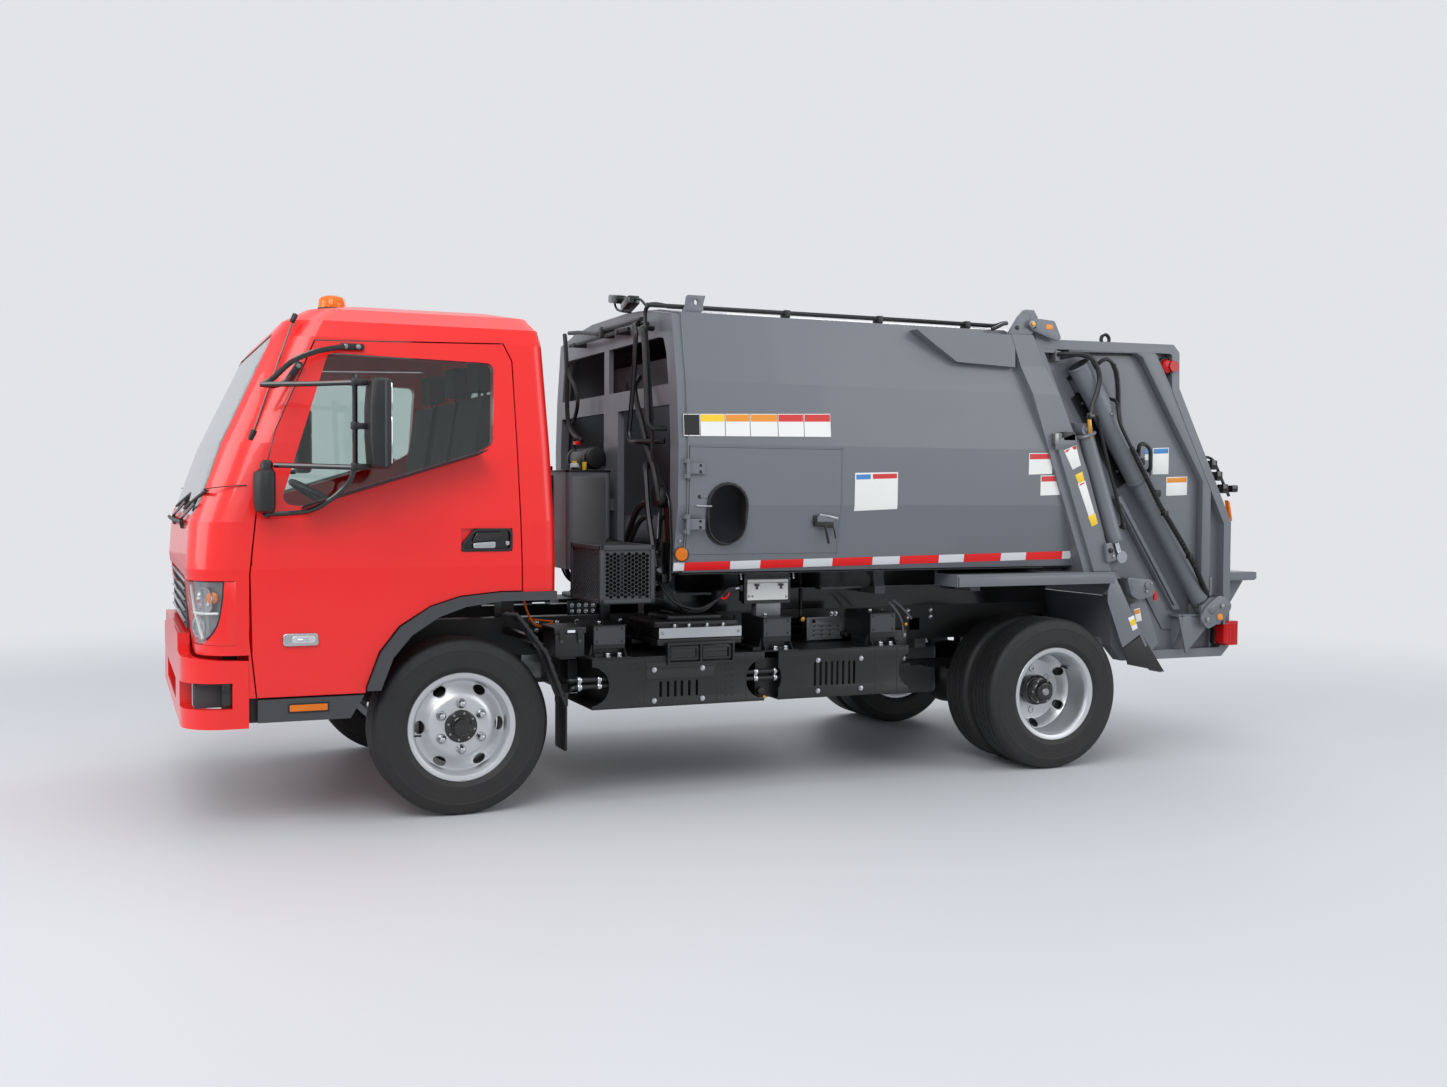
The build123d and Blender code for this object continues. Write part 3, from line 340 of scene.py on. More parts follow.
# half-widths of the cab's side and the body's side, each after its height, and the packer track's direction
cabSide = [(0.56, 0.972), (1.08, 0.985), (1.27, 0.98), (1.59, 0.95), (2.03, 0.888), (2.1, 0.866)]
bodySide = [(0.93, 0.56), (1.03, 0.902), (1.158, 0.926), (1.34, 0.966), (1.62, 0.97), (1.904, 0.941),
    (2.042, 0.911), (2.22, 0.874)]
trackDown = Vector((-0.55395, 0, -0.83256))


def hexBolt(centre, axis, size=0.011, height=0.008):
    # a hexagon head on its washer
    centre, axis = Vector(centre), Vector(axis).normalized()
    washer = rodPart(centre, centre + axis * height * 0.25, size * 1.25, 16)
    head = rodPart(centre + axis * height * 0.25, centre + axis * height, size, 6, size * 0.12)
    return joinParts([washer, head])


def boltRow(places, size=0.011, height=0.008, axis=(0, 1, 0)):
    first = hexBolt(places[0], axis, size, height)
    rest = [copyPart(first, Vector(p) - Vector(places[0])) for p in places[1:]]
    return joinParts([first] + rest)


# ---- finishes ----
def linear(r, g, b):
    return tuple((c / 255 / 12.92) if c <= 10 else ((c / 255 + 0.055) / 1.055) ** 2.4 for c in (r, g, b))


dustColour = linear(150, 142, 130)


def feed(node, values):
    # fills inputs by name or number: another node's output is linked, anything else is a plain value
    for socket, value in values.items():
        if isinstance(value, bpy.types.NodeSocket):
            node.id_data.links.new(value, node.inputs[socket])
        else:
            node.inputs[socket].default_value = value
    return node


def addNode(tree, kind, values=None, **settings):
    node = tree.nodes.new("ShaderNode" + kind)
    for key, value in settings.items():
        setattr(node, key, value)
    return feed(node, values or {})


def finish(name, colour, rough, metal=0.0, coat=0.0, swing=0.06, patch=0.06, patchScale=3.0, grain=300.0,
        relief=0.02, dust=0.0, dustTop=1.0, streak=1.0):
    # colour is red, green and blue from 0 to 255
    colour = linear(*colour)
    material = bpy.data.materials.new(name)
    material.use_nodes = True
    tree = material.node_tree
    place = addNode(tree, "TexCoord").outputs["Object"]
    height = place
    if streak != 1.0:
        place = addNode(tree, "Mapping", {"Scale": (1, 1, 1 / streak), "Vector": place}).outputs["Vector"]
    cloud = addNode(tree, "TexNoise", {"Scale": patchScale, "Detail": 5, "Vector": place}).outputs["Fac"]
    dark = (*[max(0, c * (1 - patch)) for c in colour], 1)
    light = (*[min(1, c * (1 + patch)) for c in colour], 1)
    last = addNode(tree, "Mix", {0: cloud, 6: dark, 7: light}, data_type="RGBA").outputs[2]
    if dust:
        level = addNode(tree, "SeparateXYZ", {0: height}).outputs["Z"]
        fade = addNode(tree, "MapRange", {"From Min": dustTop, "From Max": 0.0, "To Max": dust,
            "Value": level})
        share = addNode(tree, "Math", {0: fade.outputs["Result"], 1: cloud},
            operation="MULTIPLY").outputs[0]
        last = addNode(tree, "Mix", {0: share, 6: last, 7: (*dustColour, 1)}, data_type="RGBA").outputs[2]
    speck = addNode(tree, "TexNoise", {"Scale": patchScale * 4, "Detail": 3,
        "Vector": place}).outputs["Fac"]
    spread = addNode(tree, "MapRange", {"To Min": max(0.02, rough - swing),
        "To Max": min(1.0, rough + swing), "Value": speck})
    fine = addNode(tree, "TexNoise", {"Scale": grain, "Detail": 2, "Vector": place}).outputs["Fac"]
    bump = addNode(tree, "Bump", {"Strength": relief, "Distance": 0.002, "Height": fine})
    feed(tree.nodes["Principled BSDF"], {"Metallic": metal, "Coat Weight": coat, "Coat Roughness": 0.04,
        "Base Color": last, "Roughness": spread.outputs["Result"], "Normal": bump.outputs["Normal"]})
    return material


def clearFinish(name, colour, rough, weight=1.0, alpha=1.0):
    # glass and lens plastic
    material = finish(name, colour, rough, swing=0.01, patch=0.03, relief=0.0)
    feed(material.node_tree.nodes["Principled BSDF"], {"Transmission Weight": weight, "IOR": 1.45,
        "Alpha": alpha})
    return material


cabPaint = finish("cabPaint", (228, 12, 6), 0.34, coat=0.45, patch=0.015, patchScale=1.2, swing=0.02,
    grain=90, relief=0.004)
bodyPaint = finish("bodyPaint", (104, 107, 113), 0.4, coat=0.15, patch=0.06, patchScale=1.6, swing=0.08,
    grain=220, relief=0.05, dust=0.1, dustTop=1.3)
framePaint = finish("framePaint", (19, 20, 21), 0.38, patch=0.2, patchScale=6, swing=0.1, grain=160,
    relief=0.06, dust=0.05, dustTop=0.7)
trimPlastic = finish("trimPlastic", (56, 58, 61), 0.62, patch=0.08, grain=700, relief=0.18)
blackPlastic = finish("blackPlastic", (17, 17, 18), 0.46, patch=0.1, grain=600, relief=0.12)
glossBlack = finish("glossBlack", (14, 14, 15), 0.16, coat=0.4, patch=0.05, relief=0.0)
tyreRubber = finish("tyreRubber", (22, 22, 23), 0.62, patch=0.16, patchScale=9, swing=0.1, grain=260,
    relief=0.12, dust=0.05, dustTop=0.5)
hoseRubber = finish("hoseRubber", (20, 20, 21), 0.48, patch=0.12, grain=500, relief=0.1)
wheelSilver = finish("wheelSilver", (196, 198, 200), 0.34, metal=0.75, patch=0.05, swing=0.07, grain=400,
    relief=0.03)
brightSteel = finish("brightSteel", (190, 192, 195), 0.24, metal=1.0, patch=0.06, swing=0.08, grain=300,
    relief=0.02)
boltSteel = finish("boltSteel", (150, 150, 150), 0.4, metal=0.9, patch=0.15, patchScale=20, relief=0.05)
chromeRod = finish("chromeRod", (215, 217, 220), 0.1, metal=1.0, patch=0.02, swing=0.04, relief=0.0)
goldSteel = finish("goldSteel", (196, 150, 70), 0.35, metal=0.9, patch=0.12, patchScale=18, relief=0.04)
whitePlate = finish("whitePlate", (228, 228, 224), 0.4, patch=0.04, relief=0.02)
seatCloth = finish("seatCloth", (44, 45, 48), 0.9, patch=0.15, patchScale=30, grain=900, relief=0.35)
motorGrey = finish("motorGrey", (120, 122, 124), 0.5, metal=0.6, patch=0.12, patchScale=8, grain=200,
    relief=0.15, dust=0.1)
amberLens = clearFinish("amberLens", (255, 132, 10), 0.12, 0.35)
redLens = clearFinish("redLens", (200, 12, 14), 0.14, 0.25)
clearLens = clearFinish("clearLens", (238, 242, 244), 0.03, 0.95)
lampGlass = clearFinish("lampGlass", (240, 243, 245), 0.02, 0.9, alpha=0.28)
cabGlass = clearFinish("cabGlass", (214, 226, 222), 0.02, 1.0)
lampSilver = finish("lampSilver", (196, 199, 203), 0.26, metal=0.35, patch=0.05, swing=0.06, relief=0.0)
mirrorGlass = finish("mirrorGlass", (225, 228, 230), 0.03, metal=1.0, swing=0.01, relief=0.0)
reflectRed = finish("reflectRed", (232, 6, 12), 0.32, patch=0.05, grain=900, relief=0.2)
reflectWhite = finish("reflectWhite", (218, 220, 224), 0.3, patch=0.04, grain=900, relief=0.2)
plateRed = finish("plateRed", (200, 46, 44), 0.4, patch=0.04)
plateYellow = finish("plateYellow", (236, 196, 40), 0.4, patch=0.04)
plateOrange = finish("plateOrange", (224, 140, 40), 0.4, patch=0.04)
plateBlue = finish("plateBlue", (60, 130, 190), 0.4, patch=0.04)
cableOrange = finish("cableOrange", (214, 110, 30), 0.5, patch=0.08, relief=0.05)
print("finishes ready")

nodeFinish = ((framePaint, ("chassis_frame", "leaf_springs", "front_axle", "knuckle_left", "knuckle_right",
    "tie_rod", "rear_axle", "battery_packs", "side_boxes")),
    (bodyPaint, ("body_shell", "body_frames", "side_door", "hydraulic_tank", "body_fittings",
    "ejector_barrel", "ejector_panel", "tailgate", "packer_carriage", "packer_barrels", "packer_blade",
    "blade_barrels", "lift_barrels")), (cabPaint, ("cab_shell", "door_left", "door_right", "bumper")),
    (cabGlass, ("glass_left", "glass_right", "cab_glass")),
    (chromeRod, ("ejector_stage_one", "ejector_stage_two", "packer_rods", "blade_rods", "lift_rods")),
    (tyreRubber, ("rear_tyres_left", "rear_tyres_right", "front_tyre_left", "front_tyre_right")),
    (wheelSilver, ("front_rim_left", "front_rim_right", "rear_rims_left", "rear_rims_right")),
    (blackPlastic, ("frame_fittings", "dashboard", "mirror_left", "mirror_right")),
    (clearLens, ("headlamps", "side_lamp_left", "side_lamp_right")), (trimPlastic, ("cab_trim",)),
    (amberLens, ("marker_lamps",)), (seatCloth, ("seats",)), (redLens, ("tail_lamps",)),
    (motorGrey, ("drive_motor",)))
for nodeMaterial, nodeNames in nodeFinish:
    for nodeName in nodeNames:
        paintWith(nodes[nodeName], nodeMaterial)


# ---- outlines ----
def roundLoop(points, radius, steps=4):
    loop = []
    count = len(points)
    for k, p in enumerate(points):
        p = Vector(p)
        back, on = Vector(points[k - 1]) - p, Vector(points[(k + 1) % count]) - p
        reach = min(radius, back.length * 0.48, on.length * 0.48)
        a, b = p + back.normalized() * reach, p + on.normalized() * reach
        for s in range(steps + 1):
            t = s / steps
            q = a * (1 - t) ** 2 + p * 2 * t * (1 - t) + b * t ** 2
            loop.append((q.x, q.y))
    return loop


def insetLoop(points, amount):
    # every edge moved in by amount, whichever way the loop runs
    area = sum(a[0] * b[1] - b[0] * a[1] for a, b in zip(points, points[1:] + points[:1]))
    sign = 1 if area > 0 else -1
    edges = []
    for a, b in zip(points, points[1:] + points[:1]):
        d = (Vector(b) - Vector(a)).normalized()
        n = Vector((-d.y, d.x)) * sign * amount
        edges.append((Vector(a) + n, d))
    loop = []
    for (p, d), (q, e) in zip(edges[-1:] + edges[:-1], edges):
        cross = d.x * e.y - d.y * e.x
        if abs(cross) < 1e-6:
            loop.append(tuple(q))
            continue
        t = ((q.x - p.x) * e.y - (q.y - p.y) * e.x) / cross
        loop.append(tuple(p + d * t))
    return loop


def bandPart(outer, inner, target, direction, offset, thick, cuts=(), plane="xz", stand=1.2):
    # a flat ring pressed on to a panel, then thickened outwards
    ring = outlinePart(outer, stand - 0.0001, stand + 0.0001, plane, holes=[inner] if inner else ())
    pick(ring)
    bpy.ops.object.mode_set(mode="EDIT")
    bpy.ops.mesh.select_all(action="DESELECT")
    bpy.ops.object.mode_set(mode="OBJECT")
    away = Vector((1, 0, 0)) if plane == "yz" else Vector((0, 1, 0))
    for face in ring.data.polygons:
        face.select = face.normal.dot(away) < 0.5
    bpy.ops.object.mode_set(mode="EDIT")
    bpy.ops.mesh.delete(type="FACE")
    bpy.ops.object.mode_set(mode="OBJECT")
    pressOn(ring, target, direction, offset, cuts)
    return addModifier(ring, "SOLIDIFY", thickness=thick, offset=1.0)


# ---- cab side glass and its seals ----
doorWindow = {"line": [(2.412, 1.345), (2.212, 1.965), (1.515, 1.948), (1.532, 1.6), (1.59, 1.565),
    (2.33, 1.332)], "seal": 0.016, "frit": 0.03, "kinks": (1.59,), "rear": 0.05}
line = doorWindow["line"]
sealOuter = roundLoop(insetLoop(line, -0.007), 0.042)
sealInner = roundLoop(insetLoop(line, doorWindow["seal"]), 0.03)
doorSeal = bandPart(sealOuter, sealInner, nodes["door_left"], "-y", 0.0, 0.005, doorWindow["kinks"])
for vertex in doorSeal.data.vertices:
    # where the ring passes over the glass it keeps the door's own slope
    if vertex.co.y < between([(a, b - 0.004) for a, b in cabSide], vertex.co.z):
        vertex.co.y += 0.006
fritInner = [(x + (doorWindow["rear"] - 0.03 if x < 1.66 else 0), z) for x,
    z in insetLoop(line, doorWindow["frit"])]
doorFrit = bandPart(roundLoop(insetLoop(line, 0.006), 0.036), roundLoop(fritInner, 0.05),
    nodes["glass_left"], "-y", 0.0012, 0.0006, doorWindow["kinks"])
beltLine = outlinePart([(1.59, 1.572), (1.59, 1.556), (2.33, 1.323), (2.33, 1.339)], 1.1, 1.1002)
pressOn(beltLine, nodes["door_left"], "-y", 0.004, (1.59,))
addModifier(beltLine, "SOLIDIFY", thickness=0.008, offset=0)
bothSides("windowSurround", "door_left", [(doorSeal, trimPlastic), (doorFrit, glossBlack),
    (beltLine, trimPlastic)])

# windshield surround, painted on the glass's edge
shieldOuter = roundLoop([(-0.861, 1.293), (0.861, 1.293), (0.771, 2.049), (-0.771, 2.049)], 0.06)
shieldInner = roundLoop([(-0.775, 1.4), (0.775, 1.4), (0.705, 1.975), (-0.705, 1.975)], 0.09)
shieldFrit = bandPart(shieldOuter, shieldInner, nodes["cab_glass"], "-x", 0.0004, 0.0008, (1.59,), "yz",
    3.2)
shieldSeal = bandPart(roundLoop([(-0.876, 1.279), (0.876, 1.279), (0.785, 2.064), (-0.785, 2.064)], 0.07),
    roundLoop([(-0.85, 1.305), (0.85, 1.305), (0.761, 2.038), (-0.761, 2.038)], 0.055), nodes["cab_shell"],
    "-x", 0.0, 0.004, (1.59,), "yz", 3.2)
for vertex in shieldSeal.data.vertices:
    vertex.co.x = max(vertex.co.x, between([(1.27, 2.754), (1.59, 2.642), (2.03, 2.434), (2.1, 2.38)],
        vertex.co.z) - 0.3 * max(0, abs(vertex.co.y) - 0.7) - 0.004)
rearPane = outlinePart(roundLoop([(-0.652, 1.408), (0.652, 1.408), (0.612, 1.942), (-0.612, 1.942)], 0.07),
    1.262, 1.276, "yz", 0.003,
    holes=[roundLoop([(-0.622, 1.44), (0.622, 1.44), (0.584, 1.912), (-0.584, 1.912)], 0.06)])
finishPiece("windshieldSurround", "cab", [(shieldFrit, glossBlack), (shieldSeal, hoseRubber),
    (rearPane, hoseRubber)])
print("window seals done")

# ---- door handle ----
handle = {"outline": [(1.678, 1.141), (1.678, 1.17), (1.62, 1.24), (1.456, 1.24), (1.456, 1.141)],
    "face": 0.9885, "floor": 0.9655, "pull": [(1.53, 1.154), (1.628, 1.154), (1.628, 1.178), (1.53, 1.184)]}
bezel = outlinePart(roundLoop(handle["outline"], 0.022), 0.976, handle["face"], bevel=0.003,
    holes=[roundLoop(insetLoop(handle["outline"], 0.011), 0.016)])
bowl = outlinePart(roundLoop(handle["outline"], 0.02), handle["floor"], handle["floor"] + 0.003)
bowlWall = outlinePart(roundLoop(insetLoop(handle["outline"], 0.002), 0.02), handle["floor"], 0.98,
    holes=[roundLoop(insetLoop(handle["outline"], 0.006), 0.018)])
pull = outlinePart(roundLoop(handle["pull"], 0.01), 0.974, 0.986, bevel=0.004, round=3)
gripBar = outlinePart(roundLoop([(1.5, 1.19), (1.634, 1.182), (1.612, 1.224), (1.5, 1.226)], 0.012), 0.97,
    0.984, bevel=0.005, round=3)
lockBarrel = rodPart((1.478, 0.966, 1.176), (1.478, 0.984, 1.176), 0.009, 20, 0.001)
bothSides("doorHandle", "door_left", [(bezel, blackPlastic), (bowl, glossBlack), (bowlWall, blackPlastic),
    (pull, brightSteel), (gripBar, glossBlack), (lockBarrel, brightSteel)])

# the panel joint on each side of the nose
noseLine = [(2.7, 0.905, 1.4), (2.64, 0.955, 1.412), (2.56, 0.966, 1.416), (2.54, 0.9675, 1.417)]
noseJoint = tubePart([(x, between(cabSide, z) + 0.0004 if x < 2.6 else y, z) for x, y, z in noseLine],
    0.0022, hose=True, sides=8)
finishPiece("noseJoints", "cab", twoSides([(noseJoint, glossBlack)]))

# ---- mirrors ----
mirrorTube = {"radius": 0.0105, "bend": 0.05}
housing = {"low": (2.022, 1.118, 1.487), "high": (2.108, 1.2885, 1.842), "bevel": 0.03}
shell = boxPart(housing["low"], housing["high"], 0.0)
pick(shell)
bpy.ops.object.mode_set(mode="EDIT")
bpy.ops.mesh.select_all(action="SELECT")
bpy.ops.mesh.subdivide(number_cuts=2)
bpy.ops.object.mode_set(mode="OBJECT")
for vertex in shell.data.vertices:
    # the shell's front bulges and its back stays flat for the glass
    if vertex.co.x > 2.1:
        lift = 1 - ((vertex.co.z - 1.665) / 0.18) ** 2 * 0.35
        vertex.co.x = 2.078 + 0.028 * max(0.0, lift)
soften(shell, housing["bevel"], 4, 40)
glassPlate = boxPart((2.0175, 1.136, 1.506), (2.0235, 1.276, 1.69), 0.002)
glassLow = boxPart((2.0175, 1.136, 1.7), (2.0235, 1.276, 1.824), 0.002)
ridge = outlinePart([(2.04, 1.492), (2.05, 1.492), (2.05, 1.838), (2.04, 1.838)], 1.285, 1.2895,
    bevel=0.002)
upperArm = tubePart([(2.15, 0.912, 1.992), (2.262, 0.962, 1.966), (2.365, 1.0, 1.92), (2.447, 1.052, 1.838),
    (2.488, 1.078, 1.812)], 0.0115, 0.04, 12)
crossRod = tubePart([(2.497, 1.08, 1.813), (2.3, 1.15, 1.818), (2.15, 1.19, 1.826)], mirrorTube["radius"],
    0.05, 12)
frontRod = tubePart([(2.15, 1.19, 1.858), (2.15, 1.192, 1.462), (2.2, 1.14, 1.387), (2.301, 1.082, 1.314),
    (2.406, 1.055, 1.305), (2.478, 1.06, 1.303)], mirrorTube["radius"], 0.05, 12)
lowerRod = tubePart([(2.448, 1.09, 1.497), (2.3, 1.14, 1.494), (2.15, 1.19, 1.49)], mirrorTube["radius"],
    0.04, 12)
innerLeg = tubePart([(2.488, 1.078, 1.812), (2.43, 1.02, 1.81), (2.36, 0.934, 1.858)], 0.0095, 0.03, 12)
footPlate = outlinePart(roundLoop([(2.17, 1.978), (2.17, 2.006), (2.066, 2.006), (2.066, 1.98)], 0.013),
    0.901, 0.916, bevel=0.004)
sidePlate = outlinePart(roundLoop([(2.336, 1.928), (2.312, 1.914), (2.366, 1.826), (2.392, 1.84)], 0.012),
    0.908, 0.93, bevel=0.004)
lowerFoot = tubePart([(2.478, 1.06, 1.303), (2.478, 1.01, 1.298), (2.46, 0.979, 1.296)], 0.012, 0.02, 12)
footBolts = boltRow([(2.145, 0.916, 1.993), (2.092, 0.916, 1.993)], 0.0085, 0.006)
sideBolts = boltRow([(2.333, 0.93, 1.904), (2.369, 0.93, 1.852)], 0.0075, 0.006)
clamps = [rodPart((2.15, 1.19, z), (2.15, 1.19, z + 0.03), 0.017, 16, 0.003) for z in (1.812, 1.478, 1.64)]
clampArm = [boxPart((2.1, 1.176, z), (2.15, 1.206, z + 0.024), 0.004) for z in (1.815, 1.481, 1.642)]
lowBody = turnedPart([(0.0, 0.0), (0.03, 0.001), (0.046, 0.01), (0.052, 0.035), (0.053, 0.13), (0.05, 0.16),
    (0.034, 0.17), (0.026, 0.176), (0.025, 0.196), (0.017, 0.208), (0.0, 0.211)], (2.474, 1.075, 1.308),
    (0, 0, 1), 28)
for vertex in lowBody.data.vertices:
    # the small mirror's back half is round and its face is cut off flat
    if vertex.co.x < 2.452:
        vertex.co.x = 2.452 - (2.452 - vertex.co.x) * 0.35
    vertex.co.y = 1.075 + (vertex.co.y - 1.075) * 1.25
parts = [(shell, blackPlastic), (glassPlate, mirrorGlass), (glassLow, mirrorGlass), (ridge, trimPlastic),
    (upperArm, glossBlack), (crossRod, glossBlack), (frontRod, glossBlack), (lowerRod, glossBlack),
    (innerLeg, glossBlack), (footPlate, blackPlastic), (sidePlate, blackPlastic), (lowerFoot, glossBlack),
    (footBolts, boltSteel), (sideBolts, boltSteel), (lowBody, blackPlastic)]
parts += [(obj, blackPlastic) for obj in clamps + clampArm]
copies = mirrored(parts)
finishPiece("mirrorLeft", "door_left", parts, stands=("mirror_left",))
finishPiece("mirrorRight", "door_right", copies, stands=("mirror_right",))
print("mirrors done")

# ---- headlamps: lens, bezel, reflectors and the painted corner behind ----
lampLine = [(2.59, 0.98), (2.651, 0.965), (2.702, 0.929), (2.736, 0.876), (2.747, 0.816), (2.747, 0.618)]
lampSkin = [(2.56, 0.9805)] + lampLine[:4]


def lampLean(x, z):
    # how far the cab's leaning front carries the lamp forward at a place
    return (z - 0.9) * 0.105 * max(0.0, x - 2.59) / 0.157


def lampSheet(inset, thick):
    # a curved sheet following the lamp's outer line, leaning with the cab's front
    outer = insetLoop([(2.59, 0.618)] + lampLine, inset)[1:]
    inner = insetLoop([(2.59, 0.618)] + lampLine, inset + thick)[1:]
    sheet = outlinePart(outer + inner[::-1], 0.781, 1.029, "xy")
    for vertex in sheet.data.vertices:
        vertex.co.x += lampLean(vertex.co.x, vertex.co.z)
    return sheet


lens = lampSheet(0.0012, 0.003)
reflector = lampSheet(0.03, 0.004)
corner = outlinePart([(2.583, 1.034), (2.583, 0.776), (2.708, 0.776), (2.69, 0.8), (2.668, 0.825),
    (2.65, 0.86), (2.64, 0.91), (2.632, 0.97), (2.628, 1.034)], -0.012, 0.0, bevel=0.001)
foldLines(corner, (2.62, 2.651, 2.68), (1, 0, 0))
for vertex in corner.data.vertices:
    vertex.co.y += between(lampSkin, vertex.co.x - lampLean(vertex.co.x, vertex.co.z)) + 0.0004
lampFill = boxPart((2.592, 0.64, 0.784), (2.612, 0.94, 1.026), 0.004)
aim = Vector((0.86, 0.5, 0.0)).normalized()
bulbs = []
for x, y, z, r in ((2.686, 0.896, 0.955, 0.048), (2.706, 0.846, 0.845, 0.036)):
    cup = turnedPart([(0.01, -0.03), (r * 0.55, -0.022), (r * 0.9, 0.0), (r, 0.018), (r + 0.006, 0.018),
        (r + 0.006, 0.01)], (x, y, z), aim, 28)
    bulbs += [(cup, chromeRod), (ballPart(Vector((x, y, z)) - aim * 0.008, r * 0.42, sides=16), clearLens)]
amberCup = turnedPart([(0.0, -0.012), (0.018, -0.008), (0.024, 0.012), (0.016, 0.016), (0.0, 0.017)],
    (2.668, 0.928, 0.965), (0.45, 0.89, 0), 20)
bars = [
    (tubePart([(2.733, 0.812, 0.902), (2.726, 0.868, 0.902), (2.694, 0.919, 0.902), (2.649, 0.952, 0.904)],
        0.0055, 0.02, 8), whitePlate),
    (tubePart([(2.744, 0.795, 1.012), (2.736, 0.818, 0.93), (2.726, 0.848, 0.88), (2.706, 0.895, 0.8)],
        0.0055, 0.03, 8), whitePlate)]
edge = [(2.63, 1.027), (2.634, 0.97), (2.642, 0.91), (2.652, 0.862), (2.67, 0.827), (2.694, 0.8)]
rim = tubePart([(x, between(lampSkin, x) - 0.0035, z) for x, z in edge], 0.004, 0.03, 8)
parts = [(lens, lampGlass), (reflector, motorGrey), (lampFill, lampSilver), (amberCup, amberLens),
    (rim, glossBlack)]
parts += [(corner, cabPaint)] + bulbs + bars
finishPiece("headlampPair", "cab", twoSides(parts), stands=("headlamps",))

# ---- beacons, side lamps and sill reflectors ----
beacon = {"x": 2.11, "y": 0.3, "roof": 2.19}
places = []
for y in (beacon["y"], -beacon["y"]):
    base = turnedPart([(0.0, 0.0), (0.071, 0.0), (0.073, 0.006), (0.07, 0.02), (0.064, 0.026),
        (0.064, 0.036), (0.0, 0.036)], (beacon["x"], y, beacon["roof"] - 0.008), (0, 0, 1), 36)
    dome = turnedPart([(0.06, 0.03), (0.061, 0.048), (0.058, 0.072), (0.048, 0.086), (0.028, 0.0925),
        (0.0, 0.094)], (beacon["x"], y, beacon["roof"] - 0.008), (0, 0, 1), 36)
    lampRod = rodPart((beacon["x"], y, beacon["roof"] + 0.02), (beacon["x"], y, beacon["roof"] + 0.066),
        0.016, 16, 0.004)
    ribs = [rodPart((beacon["x"] + 0.0605 * cos(a), y + 0.0605 * sin(a), beacon["roof"] + 0.026),
        (beacon["x"] + 0.055 * cos(a), y + 0.055 * sin(a), beacon["roof"] + 0.07), 0.0022, 6)
        for a in (k * pi / 8 for k in range(16))]
    places += [(base, blackPlastic), (dome, amberLens), (lampRod, brightSteel)] + [(rib, amberLens)
        for rib in ribs]
sideLamp = outlinePart(roundLoop([(2.264, 0.766), (2.407, 0.766), (2.407, 0.818), (2.27, 0.818)], 0.016),
    0.976, 0.9905, bevel=0.004, round=3)
sideLens = outlinePart(roundLoop([(2.276, 0.776), (2.372, 0.776), (2.372, 0.808), (2.28, 0.808)], 0.012),
    0.984, 0.9965, bevel=0.005, round=3)
sideBulb = rodPart((2.3, 0.994, 0.792), (2.35, 0.994, 0.792), 0.006, 12, 0.002)
lampSet = [(sideLamp, brightSteel), (sideLens, lampSilver), (sideBulb, chromeRod)]
lampCopies = mirrored(lampSet)
finishPiece("sideLampLeft", "door_left", lampSet, stands=["side_lamp_left"])
finishPiece("sideLampRight", "door_right", lampCopies, stands=["side_lamp_right"])
sill = outlinePart(roundLoop([(2.232, 0.5), (2.382, 0.5), (2.382, 0.527), (2.232, 0.527)], 0.004), 0.984,
    0.9915, bevel=0.002)
sillFrame = outlinePart(roundLoop([(2.226, 0.494), (2.388, 0.494), (2.388, 0.533), (2.226, 0.533)], 0.006),
    0.984, 0.9885, bevel=0.001)
for pair in ((sill, amberLens), (sillFrame, blackPlastic)):
    places += twoSides([pair])
finishPiece("markerLamps", "cab", places, stands=("marker_lamps",))

# ---- wipers, aerial and grille ----
wiper = {"pivots": ((2.752, 0.42, 1.245), (2.752, -0.32, 1.245)), "reach": 0.62}
wiperParts = []
for x, y, z in wiper["pivots"]:
    wiperParts += [
        (rodPart((x - 0.02, y, z), (x + 0.012, y, z + 0.006), 0.02, 20, 0.004), blackPlastic),
        (tubePart([(x + 0.012, y, z), (x + 0.012, y + 0.03, z + 0.03), (x - 0.022, y + 0.44, z + 0.1)],
            0.007, 0.02, 8), glossBlack)]
    start, end = Vector((x, y + 0.05, z + 0.072)), Vector((x - 0.06, y + 0.5, z + 0.15))
    wiperParts += [
        (tubePart([start, (start + end) / 2 + Vector((0.006, 0, 0)), end], 0.0055, hose=True),
            blackPlastic),
        (tubePart([start + Vector((-0.008, 0, 0)), (start + end) / 2 + Vector((-0.003, 0, 0)),
            end + Vector((-0.008, 0, 0))], 0.0035, hose=True), hoseRubber)]
aerial = [((2.521, 0.925, 1.6), (2.508, 0.928, 1.64)), ((2.508, 0.928, 1.64), (2.345, 0.868, 2.1))]
wiperParts += [
    (rodPart(aerial[0][0], aerial[0][1], 0.012, 14, 0.003), blackPlastic),
    (rodPart(aerial[1][0], aerial[1][1], 0.0035, 10), glossBlack),
    (rodPart((2.352, 0.871, 2.085), (2.336, 0.865, 2.12), 0.011, 14, 0.004), blackPlastic)]
cowl = tubePart([(2.772, -0.62, 1.262), (2.786, 0.0, 1.262), (2.772, 0.62, 1.262)], 0.008, hose=True)
# dark backs for the bumper's recess and the gap beside the step: painted shade, dark boxes standing in for
# the shadow inside them
shadeBacks = [
    (boxPart((2.592, 0.88, 0.5), (2.64, 0.9455, 0.64), 0.003), glossBlack),
    (boxPart((2.5, 0.88, 0.456), (2.545, 0.945, 0.6), 0.003), blackPlastic)]
finishPiece("wipersAndAerial", "cab", wiperParts + twoSides(shadeBacks) + [(cowl, hoseRubber)])

